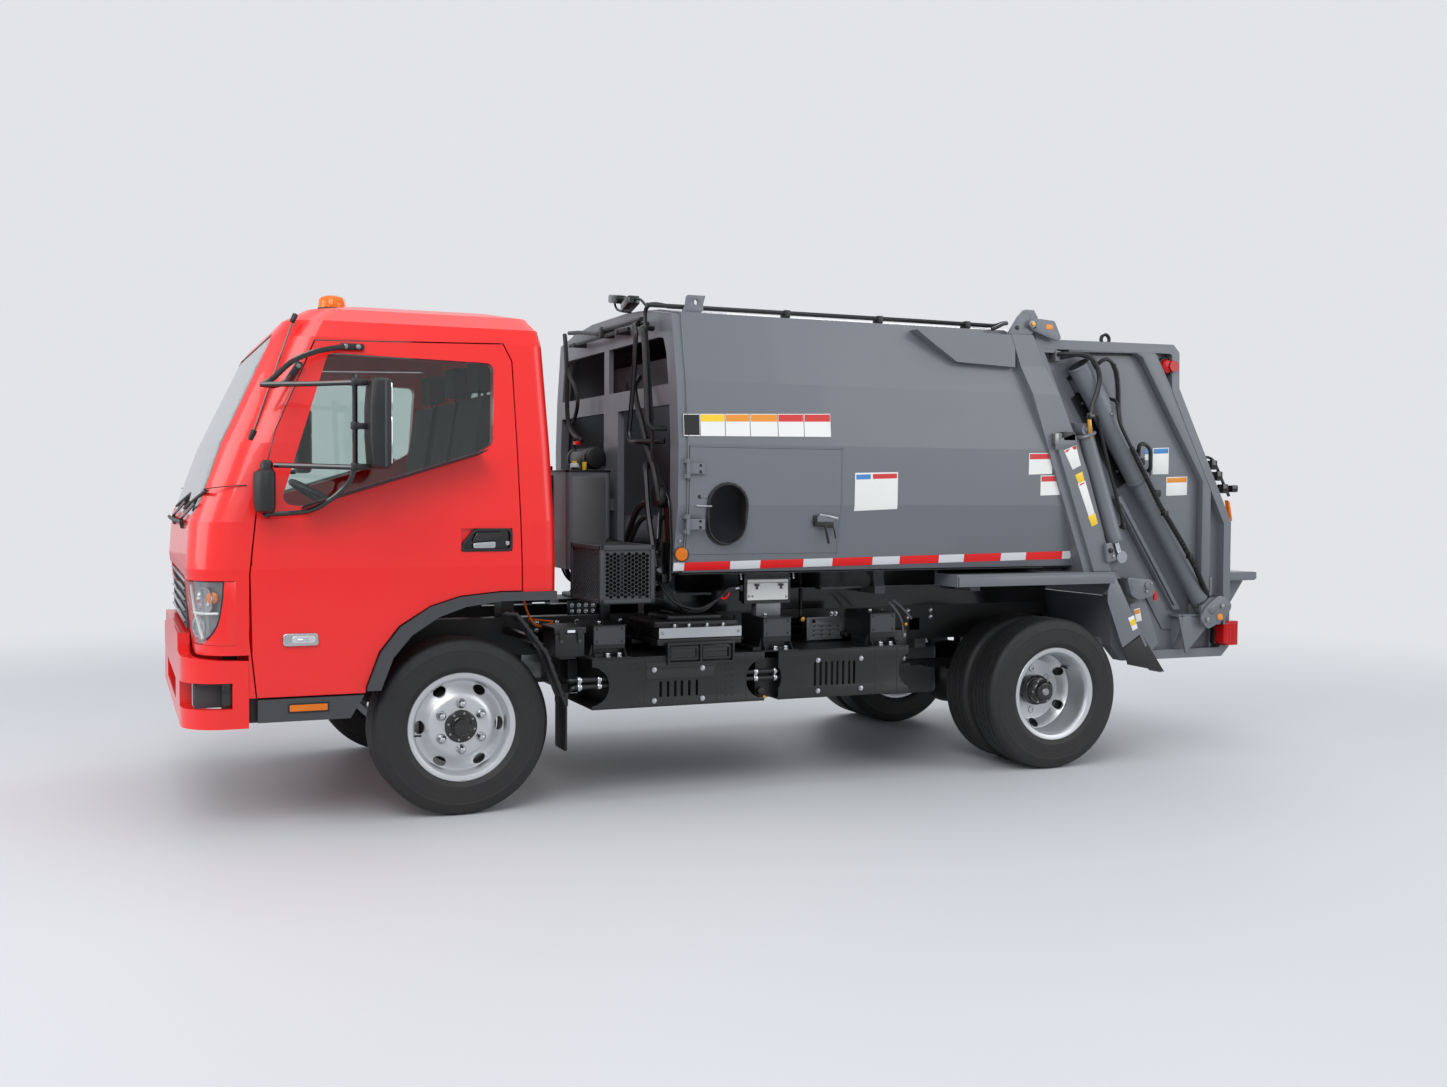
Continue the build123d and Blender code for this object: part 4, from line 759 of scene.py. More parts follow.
grille = {"x": 2.752, "half": 0.565, "levels": (0.846, 0.891, 0.936, 0.981, 1.021)}
grilleParts = []
for z in grille["levels"]:
    grilleParts.append((outlinePart([(2.738, z - 0.006), (2.761, z - 0.009), (2.764, z - 0.004),
        (2.738, z + 0.004)], -grille["half"], grille["half"], bevel=0.001),
        brightSteel if z > 1.0 else glossBlack))
for k in range(23):
    y = -0.55 + k * 0.05
    grilleParts.append((boxPart((2.736, y - 0.002, 0.832), (2.75, y + 0.002, 1.026), 0.0006, 1),
        blackPlastic))
lowGrille = [(boxPart((2.742, -0.41, z), (2.762, 0.41, z + 0.006), 0.001, 1), blackPlastic) for z in (0.515,
    0.54, 0.565)]
grilleParts += lowGrille
finishPiece("grilleBars", "cab", grilleParts)
print("cab front done")


# ---- wheels ----
wheel = {"height": 0.3835, "front": 1.66, "rear": -1.36, "frontMiddle": 0.828, "rearOuter": 0.909,
    "rearInner": 0.664, "steps": 96}
tyreRows = [(0.219, -0.056), (0.225, -0.078), (0.2365, -0.0837), (0.2368, -0.0925), (0.246, -0.0985),
    (0.256, -0.102), (0.258, -0.1034), (0.27, -0.1038), (0.296, -0.1037), (0.302, -0.103), (0.306, -0.1036),
    (0.322, -0.1018), (0.33, -0.1012), (0.332, -0.102), (0.348, -0.0985), (0.354, -0.096), (0.36, -0.0955),
    (0.369, -0.091), (0.3765, -0.0845), (0.3815, -0.076)]
treadRows = [(0.3828, -0.07), (0.3832, -0.05), (0.3755, -0.049), (0.3755, -0.0435), (0.3834, -0.0425),
    (0.3835, -0.017), (0.3755, -0.016), (0.3755, -0.01), (0.3835, -0.009)]
tyreHalf = tyreRows + treadRows
tyreLoop = tyreHalf + [(r, -y) for r, y in reversed(tyreHalf)]


def tyrePart(x, middle):
    steps = wheel["steps"]
    obj = turnedPart(tyreLoop + tyreLoop[:1], (x, middle, wheel["height"]), steps=steps)
    pick(obj)
    # shallow slots cut across the shoulders and the ribs
    for face in obj.data.polygons:
        c = face.center
        out = abs(c.y - middle)
        radius = math.hypot(c.x - x, c.z - wheel["height"])
        turn = int(round(math.atan2(c.z - wheel["height"], c.x - x) / (2 * pi) * steps - 0.5)) % steps
        shoulder = radius > 0.3605 and 0.06 < out < 0.0945 and turn % 3 == 0
        rib = radius > 0.381 and out < 0.06 and turn % 3 == (1 if out > 0.03 else 2)
        face.select = shoulder or rib
    bpy.ops.object.mode_set(mode="EDIT")
    bpy.ops.mesh.select_mode(type="FACE")
    bpy.ops.mesh.extrude_region_shrink_fatten(TRANSFORM_OT_shrink_fatten={"value": -0.0045})
    bpy.ops.mesh.select_mode(type="VERT")
    bpy.ops.object.mode_set(mode="OBJECT")
    return obj


def coneNut(centre, size=0.021, length=0.036):
    # a round-topped wheel nut on its collar
    return turnedPart([(size * 1.05, 0.0), (size * 1.05, 0.005), (size * 0.92, 0.008),
        (size * 0.8, length * 0.62), (size * 0.5, length * 0.92), (size * 0.2, length), (0.0, length)],
        centre, steps=24)


innerFlange = [(0.201, -0.088), (0.212, -0.092), (0.2355, -0.092), (0.2355, -0.085), (0.219, -0.079),
    (0.213, -0.055)]
outerFlange = [(0.2185, 0.081), (0.228, 0.084), (0.235, 0.0865), (0.2362, 0.0905), (0.2335, 0.0935),
    (0.225, 0.0925), (0.212, 0.088)]


def around(centre, radius, angle, out):
    # a place round a wheel's axis, moved along the axis
    return (centre[0] + radius * cos(angle), centre[1] + out, centre[2] + radius * sin(angle))


def shifted(centre, x, y, z):
    return (centre[0] + x, centre[1] + y, centre[2] + z)


def frontRim():
    centre = (wheel["front"], wheel["frontMiddle"], wheel["height"])
    bowl = turnedPart([(0.068, 0.0655), (0.118, 0.0655), (0.13, 0.064), (0.146, 0.052), (0.158, 0.043),
        (0.176, 0.033), (0.19, 0.03), (0.201, 0.032), (0.201, 0.023), (0.188, 0.02), (0.172, 0.023),
        (0.152, 0.034), (0.138, 0.046), (0.124, 0.056), (0.068, 0.056), (0.068, 0.0655)], centre, steps=64)
    ringHoles(bowl, centre, 0.0205, 1.45, 0.1735, 6, 0.3)
    soften(bowl, 0.0016, 1, 50)
    dropCentre = [(0.213, -0.01), (0.201, 0.0), (0.201, 0.05), (0.206, 0.068), (0.213, 0.078)]
    inside = [(0.205, 0.079), (0.1985, 0.065), (0.196, 0.045), (0.196, -0.075), (0.201, -0.088)]
    well = turnedPart(innerFlange + dropCentre + outerFlange + inside, centre, steps=80)
    gutter = turnedPart([(0.1962, 0.0235), (0.202, 0.0235), (0.202, 0.03), (0.1962, 0.0275),
        (0.1962, 0.0235)], centre, steps=64)
    hub = turnedPart([(0.0, 0.102), (0.02, 0.102), (0.034, 0.1), (0.039, 0.094), (0.04, 0.086),
        (0.044, 0.083), (0.046, 0.078), (0.046, 0.074), (0.064, 0.073), (0.07, 0.07), (0.072, 0.064),
        (0.072, 0.04), (0.0, 0.04)], centre)
    drum = turnedPart([(0.0, 0.043), (0.11, 0.043), (0.114, 0.038), (0.166, 0.01), (0.17, 0.004),
        (0.17, -0.086), (0.15, -0.09), (0.0, -0.09)], centre)
    parts = [(bowl, wheelSilver), (well, wheelSilver), (gutter, glossBlack), (hub, glossBlack),
        (drum, framePaint)]
    for k in range(6):
        a = radians(60 * k + 30)
        place = around(centre, 0.1, a, 0.065)
        parts.append((coneNut(place), brightSteel))
    for k in range(8):
        a = radians(45 * k + 12)
        place = around(centre, 0.058, a, 0.0725)
        parts.append((rodPart(place, shifted(place, 0, 0.005, 0), 0.0052, 6), boltSteel))
    parts += [
        (rodPart(shifted(centre, 0.203, 0.07, -0.03), shifted(centre, 0.178, 0.098, -0.026), 0.0042, 10,
            0.001), blackPlastic),
        (boxPart(shifted(centre, -0.02, 0.086, -0.237), shifted(centre, 0.01, 0.0945, -0.229), 0.002),
            boltSteel)]
    return parts


def rearRim():
    middle = (wheel["rear"], wheel["rearOuter"], wheel["height"])
    inner = (wheel["rear"], wheel["rearInner"], wheel["height"])
    dish = [(0.078, -0.1085), (0.144, -0.1085), (0.156, -0.106), (0.176, -0.086), (0.19, -0.066),
        (0.202, -0.058), (0.202, -0.068), (0.184, -0.077), (0.168, -0.096), (0.152, -0.118), (0.078, -0.12),
        (0.078, -0.1085)]
    well = innerFlange + [(0.213, 0.055), (0.216, 0.072)] + outerFlange + [(0.203, 0.076), (0.1985, 0.06),
        (0.1985, -0.05), (0.196, -0.075), (0.201, -0.088)]
    parts = []
    for centre, face in ((middle, 1), (inner, -1)):
        bowl = turnedPart(dish, centre, (0, 1, 0), 64, face)
        if face == 1:
            ringHoles(bowl, centre, 0.021, 1.15, 0.173, 6, 0.5, radians(90))
            soften(bowl, 0.0014, 1, 50)
        parts += [(bowl, wheelSilver), (turnedPart(well, centre, (0, 1, 0), 80, face), wheelSilver)]
    hub = turnedPart([(0.0, 0.018), (0.03, 0.018), (0.044, 0.015), (0.05, 0.008), (0.052, -0.002),
        (0.058, -0.008), (0.066, -0.012), (0.066, -0.05), (0.074, -0.054), (0.078, -0.06), (0.078, -0.13),
        (0.0, -0.13)], middle)
    cap = turnedPart([(0.0, 0.024), (0.016, 0.023), (0.02, 0.018), (0.0, 0.018)], middle, steps=24)
    drum = turnedPart([(0.0, -0.124), (0.12, -0.124), (0.13, -0.13), (0.13, -0.336), (0.0, -0.336)], middle)
    parts += [(hub, glossBlack), (cap, boltSteel), (drum, framePaint)]
    for k in range(6):
        a = radians(60 * k + 30)
        place = around(middle, 0.108, a, -0.109)
        parts.append((turnedPart([(0.0175, 0.0), (0.0175, 0.006), (0.016, 0.0075), (0.0095, 0.0075),
            (0.009, 0.002), (0.0, 0.002)], place, steps=24), wheelSilver))
        a = radians(60 * k)
        place = around(middle, 0.06, a, -0.012)
        parts.append((rodPart(place, shifted(place, 0, 0.006, 0), 0.0065, 6), boltSteel))
    parts.append((tubePart([shifted(middle, -0.15, -0.105, 0.11), shifted(middle, -0.158, -0.06, 0.116),
        shifted(middle, -0.152, -0.01, 0.112)], 0.0045, hose=True), blackPlastic))
    return parts


frontTyre = tyrePart(wheel["front"], wheel["frontMiddle"])
finishPiece("tyreFrontRight", "wheel_front_right", [(mirrorPart(frontTyre), tyreRubber)], 28,
    ("front_tyre_right",))
rearOuterTyre = tyrePart(wheel["rear"], wheel["rearOuter"])
rearInnerTyre = copyPart(rearOuterTyre, (0, wheel["rearInner"] - wheel["rearOuter"], 0))
rearRight = [(mirrorPart(rearOuterTyre), tyreRubber), (mirrorPart(rearInnerTyre), tyreRubber)]
finishPiece("tyreFrontLeft", "wheel_front_left", [(frontTyre, tyreRubber)], 28,
    ("front_tyre_left",))
finishPiece("tyresRearRight", "wheel_rear_right", rearRight, 28, ("rear_tyres_right",))
finishPiece("tyresRearLeft", "wheel_rear_left", [(rearOuterTyre, tyreRubber), (rearInnerTyre, tyreRubber)],
    28, ("rear_tyres_left",))
parts = frontRim()
copies = mirrored(parts)
finishPiece("rimFrontLeft", "wheel_front_left", parts, 30, ("front_rim_left",))
finishPiece("rimFrontRight", "wheel_front_right", copies, 30, ("front_rim_right",))
parts = rearRim()
copies = mirrored(parts)
finishPiece("rimsRearLeft", "wheel_rear_left", parts, 30, ("rear_rims_left",))
finishPiece("rimsRearRight", "wheel_rear_right", copies, 30, ("rear_rims_right",))
print("wheels done")


# ---- chassis: shared pieces ----
def arcPoints(cx, cz, radius, first, last, steps=12):
    turns = [radians(first + (last - first) * k / steps) for k in range(steps + 1)]
    return [(cx + radius * cos(a), cz + radius * sin(a)) for a in turns]


def slotHole(x, low, high, half=0.006):
    return arcPoints(x, high - half, half, 0, 180, 6) + arcPoints(x, low + half, half, 180, 360, 6)


def rectLoop(x0, x1, z0, z1):
    return [(x0, z0), (x1, z0), (x1, z1), (x0, z1)]


def rivetRow(places, radius=0.0038, height=0.0022):
    axis = Vector((0, 1, 0))
    start = Vector(places[0])
    first = rodPart(start, start + axis * height, radius, 8, 0.0, radius * 0.6)
    return joinParts([first] + [copyPart(first, Vector(p) - start) for p in places[1:]])


# ---- battery packs ----
pack = {"low": 0.425, "high": 0.652, "in": 0.42, "skin": 0.925, "face": 0.935, "pipeY": 0.902,
    "pipe": 0.0115}
frontSheet = ([(0.236, pack["low"]), (1.08, pack["low"])] + arcPoints(1.088, 0.53, 0.088, 264.8, 95.2)
    + [(1.08, pack["high"]), (0.236, pack["high"])] + arcPoints(0.24, 0.53, 0.092, 92.5, -92.5))
rearSheet = ([(-0.54, pack["low"]), (0.164, pack["low"])] + arcPoints(0.24, 0.53, 0.092, 214.3, 145.7)
    + [(0.164, pack["high"]), (-0.54, pack["high"])] + arcPoints(-0.575, 0.535, 0.09, 67.1, -67.1))
frontSlots = [slotHole(x, 0.467, 0.54) for x in (0.755, 0.719, 0.684, 0.652, 0.615, 0.578)]
rearSlots = [slotHole(x, 0.48, 0.595) for x in (-0.028, -0.058, -0.088, -0.119, -0.148, -0.179, -0.212,
    -0.239)]
packSide = [
    (outlinePart(frontSheet, pack["skin"], pack["face"], bevel=0.0012, holes=frontSlots), framePaint),
    (outlinePart(rearSheet, pack["skin"], pack["face"], bevel=0.0012, holes=rearSlots), framePaint)]
# the dark plate over the front pack, cut round the slots by ending above them
packSide.append((outlinePart([(0.826, 0.63), (0.479, 0.615), (0.492, 0.58), (0.503, 0.552), (0.826, 0.552)],
    0.935, 0.9385, bevel=0.0008), glossBlack))
for x in (0.832, 0.476, 0.33, 0.034, -0.355, -0.476):
    packSide.append((boxPart((x - 0.0012, 0.9335, 0.428), (x + 0.0012, 0.9358, 0.65)), glossBlack))
for x0, x1, ends in ((0.236, 1.08, (0.345, 0.992)), (-0.54, 0.164, (-0.478, 0.142))):
    packSide += [
        (boxPart((ends[0], pack["in"], 0.431), (ends[1], 0.905, 0.645), 0.006), blackPlastic),
        (outlinePart(roundLoop([(x0, pack["in"]), (x1, pack["in"]), (x1, 0.93), (x0, 0.93)], 0.008), 0.645,
            pack["high"], "xy", 0.001), framePaint),
        (outlinePart([(x0, pack["in"]), (x1, pack["in"]), (x1, 0.926), (x0, 0.926)], pack["low"], 0.431,
            "xy", 0.001), framePaint)]
    # folded edges along the top and the bottom
    packSide.append((boxPart((x0, 0.926, 0.6515), (x1, 0.94, 0.656), 0.001), framePaint))
packBolts = [(0.787, 0.594), (0.551, 0.593), (0.787, 0.453), (0.551, 0.453), (-0.043, 0.603),
    (-0.275, 0.603), (-0.043, 0.457), (-0.275, 0.459)]
packSide.append((boltRow([(x, 0.937, z) for x, z in packBolts], 0.0095, 0.008), brightSteel))
dots = [(x, 0.935, z) for x in (0.432, 0.402) for z in (0.462, 0.492, 0.522, 0.552, 0.582, 0.61)]
dots += [(x, 0.935, z) for x in (0.968, 0.86) for z in (0.45, 0.52, 0.6)] + [(0.88, 0.935, 0.626),
    (0.905, 0.935, 0.618)]
dots += [(x, 0.935, z) for x in (0.066, -0.39) for z in (0.47, 0.62)]
packSide.append((rivetRow(dots), glossBlack))
# pipes between the packs and at the front, with bright collars
for x0, x1, collars in ((0.14, 0.35, (0.168, 0.27)), (0.985, 1.15, (1.038, 1.131))):
    for z in (0.558, 0.527):
        packSide.append((rodPart((x0, pack["pipeY"], z), (x1, pack["pipeY"], z), pack["pipe"], 16),
            hoseRubber))
        for x in collars:
            packSide.append((turnedPart([(0.0115, -0.009), (0.0165, -0.009), (0.018, -0.006),
                (0.018, 0.006), (0.0165, 0.009), (0.0115, 0.009), (0.0115, -0.009)], (x, pack["pipeY"], z),
                (1, 0, 0), 16), brightSteel))
packSide += [
    (tubePart([(1.15, 0.902, 0.558), (1.175, 0.9, 0.558), (1.195, 0.86, 0.548), (1.2, 0.7, 0.54)], 0.01,
        0.02), hoseRubber),
    (tubePart([(1.15, 0.902, 0.527), (1.168, 0.9, 0.52), (1.178, 0.86, 0.49), (1.18, 0.7, 0.48)], 0.01,
        0.02), hoseRubber),
    (rodPart((0.242, 0.88, 0.466), (0.242, 0.912, 0.466), 0.016, 18, 0.002), blackPlastic),
    (rodPart((0.232, 0.905, 0.44), (0.232, 0.925, 0.44), 0.008, 12, 0.001), goldSteel)]
packParts = twoSides(packSide)
packParts += [
    (boxPart((-0.5, -0.43, 0.432), (0.12, 0.43, 0.6), 0.008), framePaint),
    (boxPart((0.28, -0.43, 0.432), (1.04, 0.43, 0.6), 0.008), framePaint)]
finishPiece("batteryPacks", "chassis", packParts, stands=["battery_packs"])
print("battery packs done")

# ---- boxes on the packs ----
boxSide = []
for x0, x1, z0, z1 in ((0.912, 1.062, 0.712, 0.8), (0.081, 0.225, 0.72, 0.81),
        (-0.487, -0.347, 0.72, 0.815)):
    boxSide += [
        (boxPart((x0, 0.64, 0.692), (x1, 0.893, z1 - 0.002), 0.003), framePaint),
        (outlinePart(roundLoop(rectLoop(x0 + 0.002, x1 - 0.002, z0, z1), 0.006), 0.893, 0.8985,
            bevel=0.0012), trimPlastic),
        (outlinePart([(0.64, z1 - 0.003), (0.905, z1 - 0.003), (0.905, z1), (0.64, z1 + 0.002)], x0 - 0.003,
            x1 + 0.003, "yz", 0.0006), framePaint),
        (boltRow([(x, 0.8985, z) for x in (x0 + 0.016, x1 - 0.016) for z in (z0 + 0.015, z1 - 0.016)],
            0.005, 0.003), glossBlack),
        (rodPart(((x0 + x1) / 2 + 0.02, 0.8, z1), ((x0 + x1) / 2 + 0.02, 0.8, z1 + 0.011), 0.011, 12,
            0.002), brightSteel)]
    # tapered foot and its bolted base
    foot = [(x0 + 0.002, 0.722), (x0 - 0.016, 0.657), (x1 + 0.016, 0.657), (x1 - 0.002, 0.722)]
    boxSide.append((outlinePart(foot, 0.868, 0.872, bevel=0.0008), framePaint))
    for x in (x0 + 0.001, x1 - 0.005):
        boxSide.append((outlinePart([(0.7, 0.72), (0.7, 0.656), (0.925, 0.656), (0.87, 0.72)], x, x + 0.004,
            "yz", 0.0008), framePaint))
    boxSide += [
        (boxPart((x0 - 0.022, 0.7, 0.6525), (x1 + 0.022, 0.925, 0.6575), 0.0012), framePaint),
        (boltRow([(x, 0.902, 0.6575) for x in (x0 + 0.03, x0 + 0.085)], 0.012, 0.018, axis=(0, 0, 1)),
            brightSteel),
        (boxPart((x0 - 0.01, 0.386, 0.676), (x1 + 0.01, 0.66, 0.7), 0.003), framePaint)]
# tray with its bright edge, moulded cover and framed boxes below
boxSide += [
    (outlinePart(roundLoop(rectLoop(0.345, 0.765, 0.56, 0.918), 0.01), 0.7, 0.728, "xy", 0.002),
        framePaint),
    (outlinePart([(0.9175, 0.729), (0.925, 0.733), (0.925, 0.779), (0.916, 0.784), (0.88, 0.786),
        (0.88, 0.783), (0.914, 0.781), (0.9215, 0.777), (0.9215, 0.735)], 0.351, 0.76, "yz", 0.0004),
        brightSteel),
    (boltRow([(x, 0.925, 0.757) for x in (0.366, 0.742)], 0.006, 0.004), boltSteel),
    (boxPart((0.352, 0.57, 0.728), (0.758, 0.914, 0.776), 0.006), blackPlastic)]
cover = outlinePart(roundLoop([(0.338, 0.59), (0.782, 0.56), (0.77, 0.89), (0.352, 0.905)], 0.03), 0.776,
    0.806, "xy", 0.006, round=2)
boxSide.append((cover, blackPlastic))
lid = outlinePart(roundLoop([(0.395, 0.61), (0.7, 0.6), (0.69, 0.84), (0.41, 0.85)], 0.03), 0.804, 0.828,
    "xy", 0.008, round=2)
boxSide.append((lid, blackPlastic))
for x in (0.43, 0.5, 0.57, 0.64):
    boxSide.append((tubePart([(x, 0.625, 0.826), (x, 0.64, 0.835), (x, 0.8, 0.835), (x, 0.832, 0.824)],
        0.006, 0.01), blackPlastic))
for x in (0.44, 0.52, 0.61, 0.68):
    boxSide += [
        (rodPart((x, 0.896, 0.79), (x, 0.916, 0.79), 0.007, 12, 0.002), brightSteel),
        (boxPart((x - 0.016, 0.895, 0.78), (x + 0.016, 0.912, 0.787), 0.002), glossBlack)]
boxSide.append((tubePart([(0.36, 0.9, 0.79), (0.6, 0.905, 0.797), (0.77, 0.89, 0.8)], 0.006, 0.01),
    hoseRubber))
tray = rectLoop(0.398, 0.728, 0.614, 0.714)
boxSide += [
    (outlinePart(tray, 0.925, 0.955, bevel=0.002, holes=[rectLoop(0.408, 0.56, 0.626, 0.702),
        rectLoop(0.57, 0.718, 0.626, 0.702)]), framePaint),
    (boxPart((0.404, 0.7, 0.618), (0.722, 0.94, 0.7), 0.003), glossBlack)]
for x0, x1 in ((0.412, 0.556), (0.574, 0.714)):
    boxSide.append((outlinePart(roundLoop(rectLoop(x0, x1, 0.632, 0.696), 0.005), 0.938, 0.948, bevel=0.002,
        holes=[rectLoop(x0 + 0.012, x1 - 0.012, 0.644, 0.684)]), blackPlastic))
boxSide.append((boxPart((0.335, 0.3855, 0.676), (0.775, 0.6, 0.7), 0.003), framePaint))
# upright box with its two latches, on a light stand
boxSide += [
    (outlinePart(rectLoop(0.043, 0.285, 0.87, 1.002), 0.772, 0.806, bevel=0.002,
        holes=[rectLoop(0.054, 0.272, 0.884, 0.986)]), glossBlack),
    (boxPart((0.05, 0.726, 0.878), (0.278, 0.79, 0.992), 0.003), framePaint),
    (outlinePart(roundLoop(rectLoop(0.056, 0.27, 0.886, 0.968), 0.004), 0.79, 0.809, bevel=0.002),
        whitePlate),
    (outlinePart(roundLoop(rectLoop(0.056, 0.27, 0.97, 0.985), 0.003), 0.79, 0.811, bevel=0.002),
        whitePlate)]
for x in (0.095, 0.222):
    boxSide.append((outlinePart([(x - 0.013, 0.965), (x + 0.013, 0.965), (x + 0.013, 0.955),
        (x + 0.004, 0.95), (x + 0.004, 0.938), (x - 0.006, 0.938), (x - 0.006, 0.95), (x - 0.013, 0.955)],
        0.809, 0.815, bevel=0.001), glossBlack))
boxSide += [
    (boltRow([(x, 0.809, z) for x, z in ((0.066, 0.9), (0.244, 0.905), (0.262, 0.905))], 0.005, 0.003),
        boltSteel),
    (boxPart((0.091, 0.742, 0.806), (0.219, 0.8, 0.872), 0.003), motorGrey)]
for x in (0.298, 0.022):
    boxSide.append((boxPart((x - 0.004, 0.77, 0.985), (x + 0.004, 0.8, 1.028), 0.001), brightSteel))
boxSide.append((tubePart([(-0.04, 0.79, 1.026), (-0.04, 0.79, 1.012), (0.02, 0.79, 1.012)], 0.004, 0.006),
    boltSteel))
# junction box behind the mudguard
boxSide += [
    (boxPart((1.104, 0.7, 0.663), (1.24, 0.896, 0.77), 0.005), blackPlastic),
    (boxPart((1.098, 0.695, 0.768), (1.246, 0.904, 0.797), 0.005), blackPlastic)]
for x in (1.128, 1.212):
    boxSide += [
        (boxPart((x - 0.011, 0.896, 0.742), (x + 0.011, 0.907, 0.784), 0.002), blackPlastic),
        (boxPart((x - 0.007, 0.898, 0.726), (x + 0.007, 0.905, 0.744), 0.002), trimPlastic)]
boxSide += [
    (boxPart((1.15, 0.902, 0.772), (1.186, 0.906, 0.784), 0.001), reflectWhite),
    (boxPart((1.13, 0.386, 0.65), (1.21, 0.86, 0.664), 0.002), framePaint)]
finishPiece("sideBoxes", "chassis", twoSides(boxSide), stands=["side_boxes"])
print("side boxes done")


# ---- cage and mudguards ----
cage = {"back": 0.8, "front": 1.06, "in": 0.54, "out": 0.98, "low": 0.9, "high": 1.16, "bar": 0.02}


def meshHoles(a0, a1, b0, b1, wide=0.034, high=0.009, strand=0.0024):
    # six-sided openings, every second row half a cell across, as in expanded metal
    loops = []
    w, flat, h = wide / 2 - 0.0048 - strand * 0.8, 0.0046, high - strand * 0.5
    row, b = 0, b0 + high
    while b + high < b1:
        a = a0 + wide * (0.4 if row % 2 == 0 else 0.9)
        while a + w < a1 - 0.001:
            loops.append([(a - w, b), (a - flat, b - h), (a + flat, b - h), (a + w, b), (a + flat, b + h),
                (a - flat, b + h)])
            a += wide
        b += high
        row += 1
    return loops


def meshPanel(a0, a1, b0, b1, start, end, plane):
    return outlinePart(rectLoop(a0, a1, b0, b1), start, end, plane, 0.0,
        holes=meshHoles(a0 + 0.003, a1 - 0.003, b0 + 0.003, b1 - 0.003))


bar = cage["bar"]
cageParts = [
    (meshPanel(cage["back"] + bar, cage["front"] - bar, cage["low"] + bar, cage["high"] - bar, 0.97, 0.9725,
        "xz"), trimPlastic),
    (meshPanel(cage["in"] + bar, cage["out"] - bar, cage["low"] + bar, cage["high"] - bar, 1.05, 1.0525,
        "yz"), trimPlastic),
    (meshPanel(cage["back"] + bar, cage["front"] - bar, cage["in"] + bar, cage["out"] - bar, 1.15, 1.1525,
        "xy"), trimPlastic),
    (outlinePart(rectLoop(cage["in"], cage["out"], cage["low"], cage["high"]), 0.8, 0.804, "yz"),
        framePaint),
    (outlinePart(rectLoop(cage["back"], cage["front"], cage["low"], cage["high"]), 0.54, 0.544, "xz"),
        framePaint),
    (outlinePart(rectLoop(cage["back"], cage["front"], cage["in"], cage["out"]), 0.9, 0.904, "xy"),
        framePaint)]
for x in (cage["back"], cage["front"] - bar):
    for y in (cage["in"], cage["out"] - bar):
        cageParts.append((boxPart((x, y, cage["low"]), (x + bar, y + bar, cage["high"]), 0.002),
            trimPlastic))
for z in (cage["low"], cage["high"] - bar):
    for y in (cage["in"], cage["out"] - bar):
        cageParts.append((boxPart((cage["back"] + 0.001, y, z), (cage["front"] - 0.001, y + bar, z + bar),
            0.002), trimPlastic))
    for x in (cage["back"], cage["front"] - bar):
        cageParts.append((boxPart((x, cage["in"] + 0.001, z), (x + bar, cage["out"] - 0.001, z + bar),
            0.002), trimPlastic))
cageParts += [
    (boltRow([(x, 0.98, z) for x in (0.811, 1.049) for z in (0.911, 1.149)], 0.006, 0.004), framePaint),
    (boxPart((0.815, 0.3855, 0.882), (0.865, 0.64, 0.9), 0.003), framePaint),
    (boxPart((0.815, 0.3855, 0.77), (0.865, 0.398, 0.884), 0.002), framePaint)]
guardLine = [(1.49, 0.88), (1.43, 0.87), (1.365, 0.786), (1.3, 0.7), (1.256, 0.586), (1.212, 0.47)]


def steppedLine(points, drop, steps):
    # a stepped outline along the guard, like overlapping leaves
    low, high = [], []
    for (x0, z0), (x1, z1) in zip(points, points[1:]):
        d = (Vector((x1, z1)) - Vector((x0, z0)))
        n = Vector((-d.y, d.x)).normalized()
        n = n if n.x > 0 else -n
        for k in range(steps):
            a, b = k / steps, (k + 0.86) / steps
            high += [(x0 + d.x * a, z0 + d.y * a), (x0 + d.x * b - n.x * 0.006, z0 + d.y * b - n.y * 0.006)]
            low += [(x0 + d.x * a + n.x * drop, z0 + d.y * a + n.y * drop)]
    return high + low[::-1]


guardSide = [
    (outlinePart(steppedLine(guardLine, 0.01, 3), 0.852, 0.984, bevel=0.0008), blackPlastic),
    (outlinePart(guardLine + [(x + 0.012, z - 0.006) for x, z in guardLine[::-1]], 0.972, 0.985,
        bevel=0.002), blackPlastic),
    (outlinePart(roundLoop([(0.804, 0.255), (0.963, 0.255), (0.965, 0.47), (0.955, 0.515), (0.804, 0.515)],
        0.012), 1.204, 1.213, "yz", 0.002), hoseRubber),
    (boxPart((1.2, 0.806, 0.455), (1.216, 0.962, 0.515), 0.002), blackPlastic),
    (boxPart((1.308, 0.3855, 0.724), (1.34, 0.862, 0.756), 0.006), framePaint)]
guardSide.append((boltRow([(1.2, y, 0.485) for y in (0.83, 0.88, 0.93)], 0.007, 0.004, axis=(-1, 0, 0)),
    boltSteel))
for y in (0.84, 0.885, 0.93):
    guardSide.append((boxPart((1.2015, y - 0.004, 0.27), (1.205, y + 0.004, 0.45), 0.001), hoseRubber))
finishPiece("frameFittings", "chassis", cageParts + twoSides(guardSide),
    stands=["frame_fittings"])
print("cage done")

# ---- small things along the frame ----
frameSide = []
